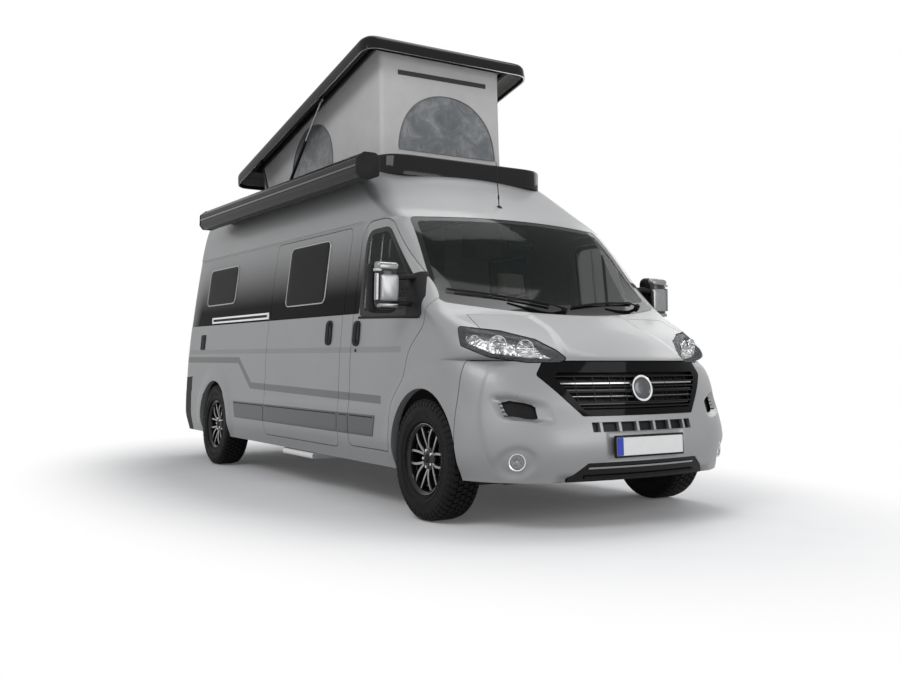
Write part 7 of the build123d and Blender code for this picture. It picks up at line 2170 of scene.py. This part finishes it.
# ------------------------------------------------------------------ camera, light, floor
YAW, PITCH, ROLL = 0.608454463, 0.120887208, 0.00182703186
CAM_POS, FOCAL, U0, V0 = (7.61236283, -4.09411121, 0.985218549), 1010.10797, 528.424942, 236.01239
view = Vector((-math.cos(YAW) * math.cos(PITCH), math.sin(YAW) * math.cos(PITCH), math.sin(PITCH)))
right = Vector((math.sin(YAW), math.cos(YAW), 0))
up = view.cross(right) if view.cross(right).z > 0 else right.cross(view)
r2 = right * math.cos(ROLL) + up * math.sin(ROLL)
u2 = up * math.cos(ROLL) - right * math.sin(ROLL)
cam = bpy.data.cameras.new("camera")
cam_o = bpy.data.objects.new("camera", cam)
scene.collection.objects.link(cam_o)
cam_o.matrix_world = Matrix(((r2.x, u2.x, -view.x, CAM_POS[0]), (r2.y, u2.y, -view.y, CAM_POS[1]),
                             (r2.z, u2.z, -view.z, CAM_POS[2]), (0, 0, 0, 1)))
cam.sensor_width = 36
cam.lens = FOCAL / 900 * 36
cam.shift_x = (450 - U0) / 900
cam.shift_y = (V0 - 338.5) / 900
cam.clip_end = 200
scene.camera = cam_o

fm, ft, fb = node_material("studio_floor")
fn = Tree(ft)
floor_grain = fn("TexNoise", {"Vector": fn.coords(), "Scale": 3.0, "Detail": 6.0}).outputs[0]
ft.links.new(fn.ramp(floor_grain, [(0.3, (0.90, 0.90, 0.90)), (0.7, (0.92, 0.92, 0.92))]), fb.inputs["Base Color"])
fb.inputs["Roughness"].default_value = 0.9
fb.inputs["Specular IOR Level"].default_value = 0.1
rays = fn("LightPath")
looked = fn.math("MAXIMUM", rays.outputs["Is Camera Ray"],
                 fn.math("MAXIMUM", rays.outputs["Is Glossy Ray"], rays.outputs["Is Transmission Ray"]))
fx, fy, _ = fn.xyz()
fx, fy = fn.math("DIVIDE", fx, 3.3), fn.math("DIVIDE", fy, 1.7)
reach = fn.math("SQRT", fn.math("ADD", fn.math("MULTIPLY", fx, fx), fn.math("MULTIPLY", fy, fy)))
away = fn("MapRange", {0: reach, 1: 0.95, 2: 1.75, 3: 0.05, 4: 1.0}, interpolation_type="SMOOTHSTEP").outputs[0]
pale = fn("Emission", {"Color": (1, 1, 1, 1), "Strength": 1.0})
floor_mix = fn("MixShader", {0: fn.math("MULTIPLY", looked, away), 1: fb.outputs[0], 2: pale.outputs[0]})
for n2 in ft.nodes:
    if n2.type == "OUTPUT_MATERIAL":
        ft.links.new(floor_mix.outputs[0], n2.inputs[0])
ring = [(30 * math.cos(math.pi * k / 24), 30 * math.sin(math.pi * k / 24), 0) for k in range(48)]
floor = new_object("studio_floor", ring, [tuple(range(48))], fm)

world = bpy.data.worlds.new("world")
scene.world = world
world.use_nodes = True
wt = world.node_tree
wt.nodes.clear()
wn = Tree(wt)
soft = wn("Background", {"Color": (0.93, 0.95, 1.0, 1), "Strength": 0.36})
white = wn("Background", {"Color": (1, 1, 1, 1), "Strength": 1.0})
path = wn("LightPath")
seen = wn.math("MAXIMUM", path.outputs["Is Camera Ray"],
               wn.math("MAXIMUM", path.outputs["Is Transmission Ray"], path.outputs["Is Glossy Ray"]))
both = wn("MixShader", {0: seen, 1: soft.outputs[0], 2: white.outputs[0]})
wn("OutputWorld", {0: both.outputs[0]})


def area(name, place, target, size, power, color=(1, 1, 1)):
    li = bpy.data.lights.new(name, "AREA")
    li.shape = "RECTANGLE"
    li.size, li.size_y = size
    li.energy = power
    li.color = color
    o = bpy.data.objects.new(name, li)
    scene.collection.objects.link(o)
    o.location = place
    o.rotation_euler = (Vector(target) - Vector(place)).to_track_quat("-Z", "Y").to_euler()
    return o


area("key", (4.0, -7.0, 6.5), (0.5, 0, 1.2), (5, 3), 250)
area("front", (9.5, 1.5, 3.0), (2, 0, 1.0), (5, 3), 170)
area("left", (-1, 8, 5.5), (0, 0, 1.2), (6, 3), 150)
area("top", (-.8, 2.2, 9.5), (-.1, -.1, 0), (5.5, 4.0), 270)
scene.view_settings.view_transform = "Standard"

# ------------------------------------------------------------------ close
for t in TOOLS + [shell, panes]:
    bpy.data.objects.remove(t, do_unlink=True)
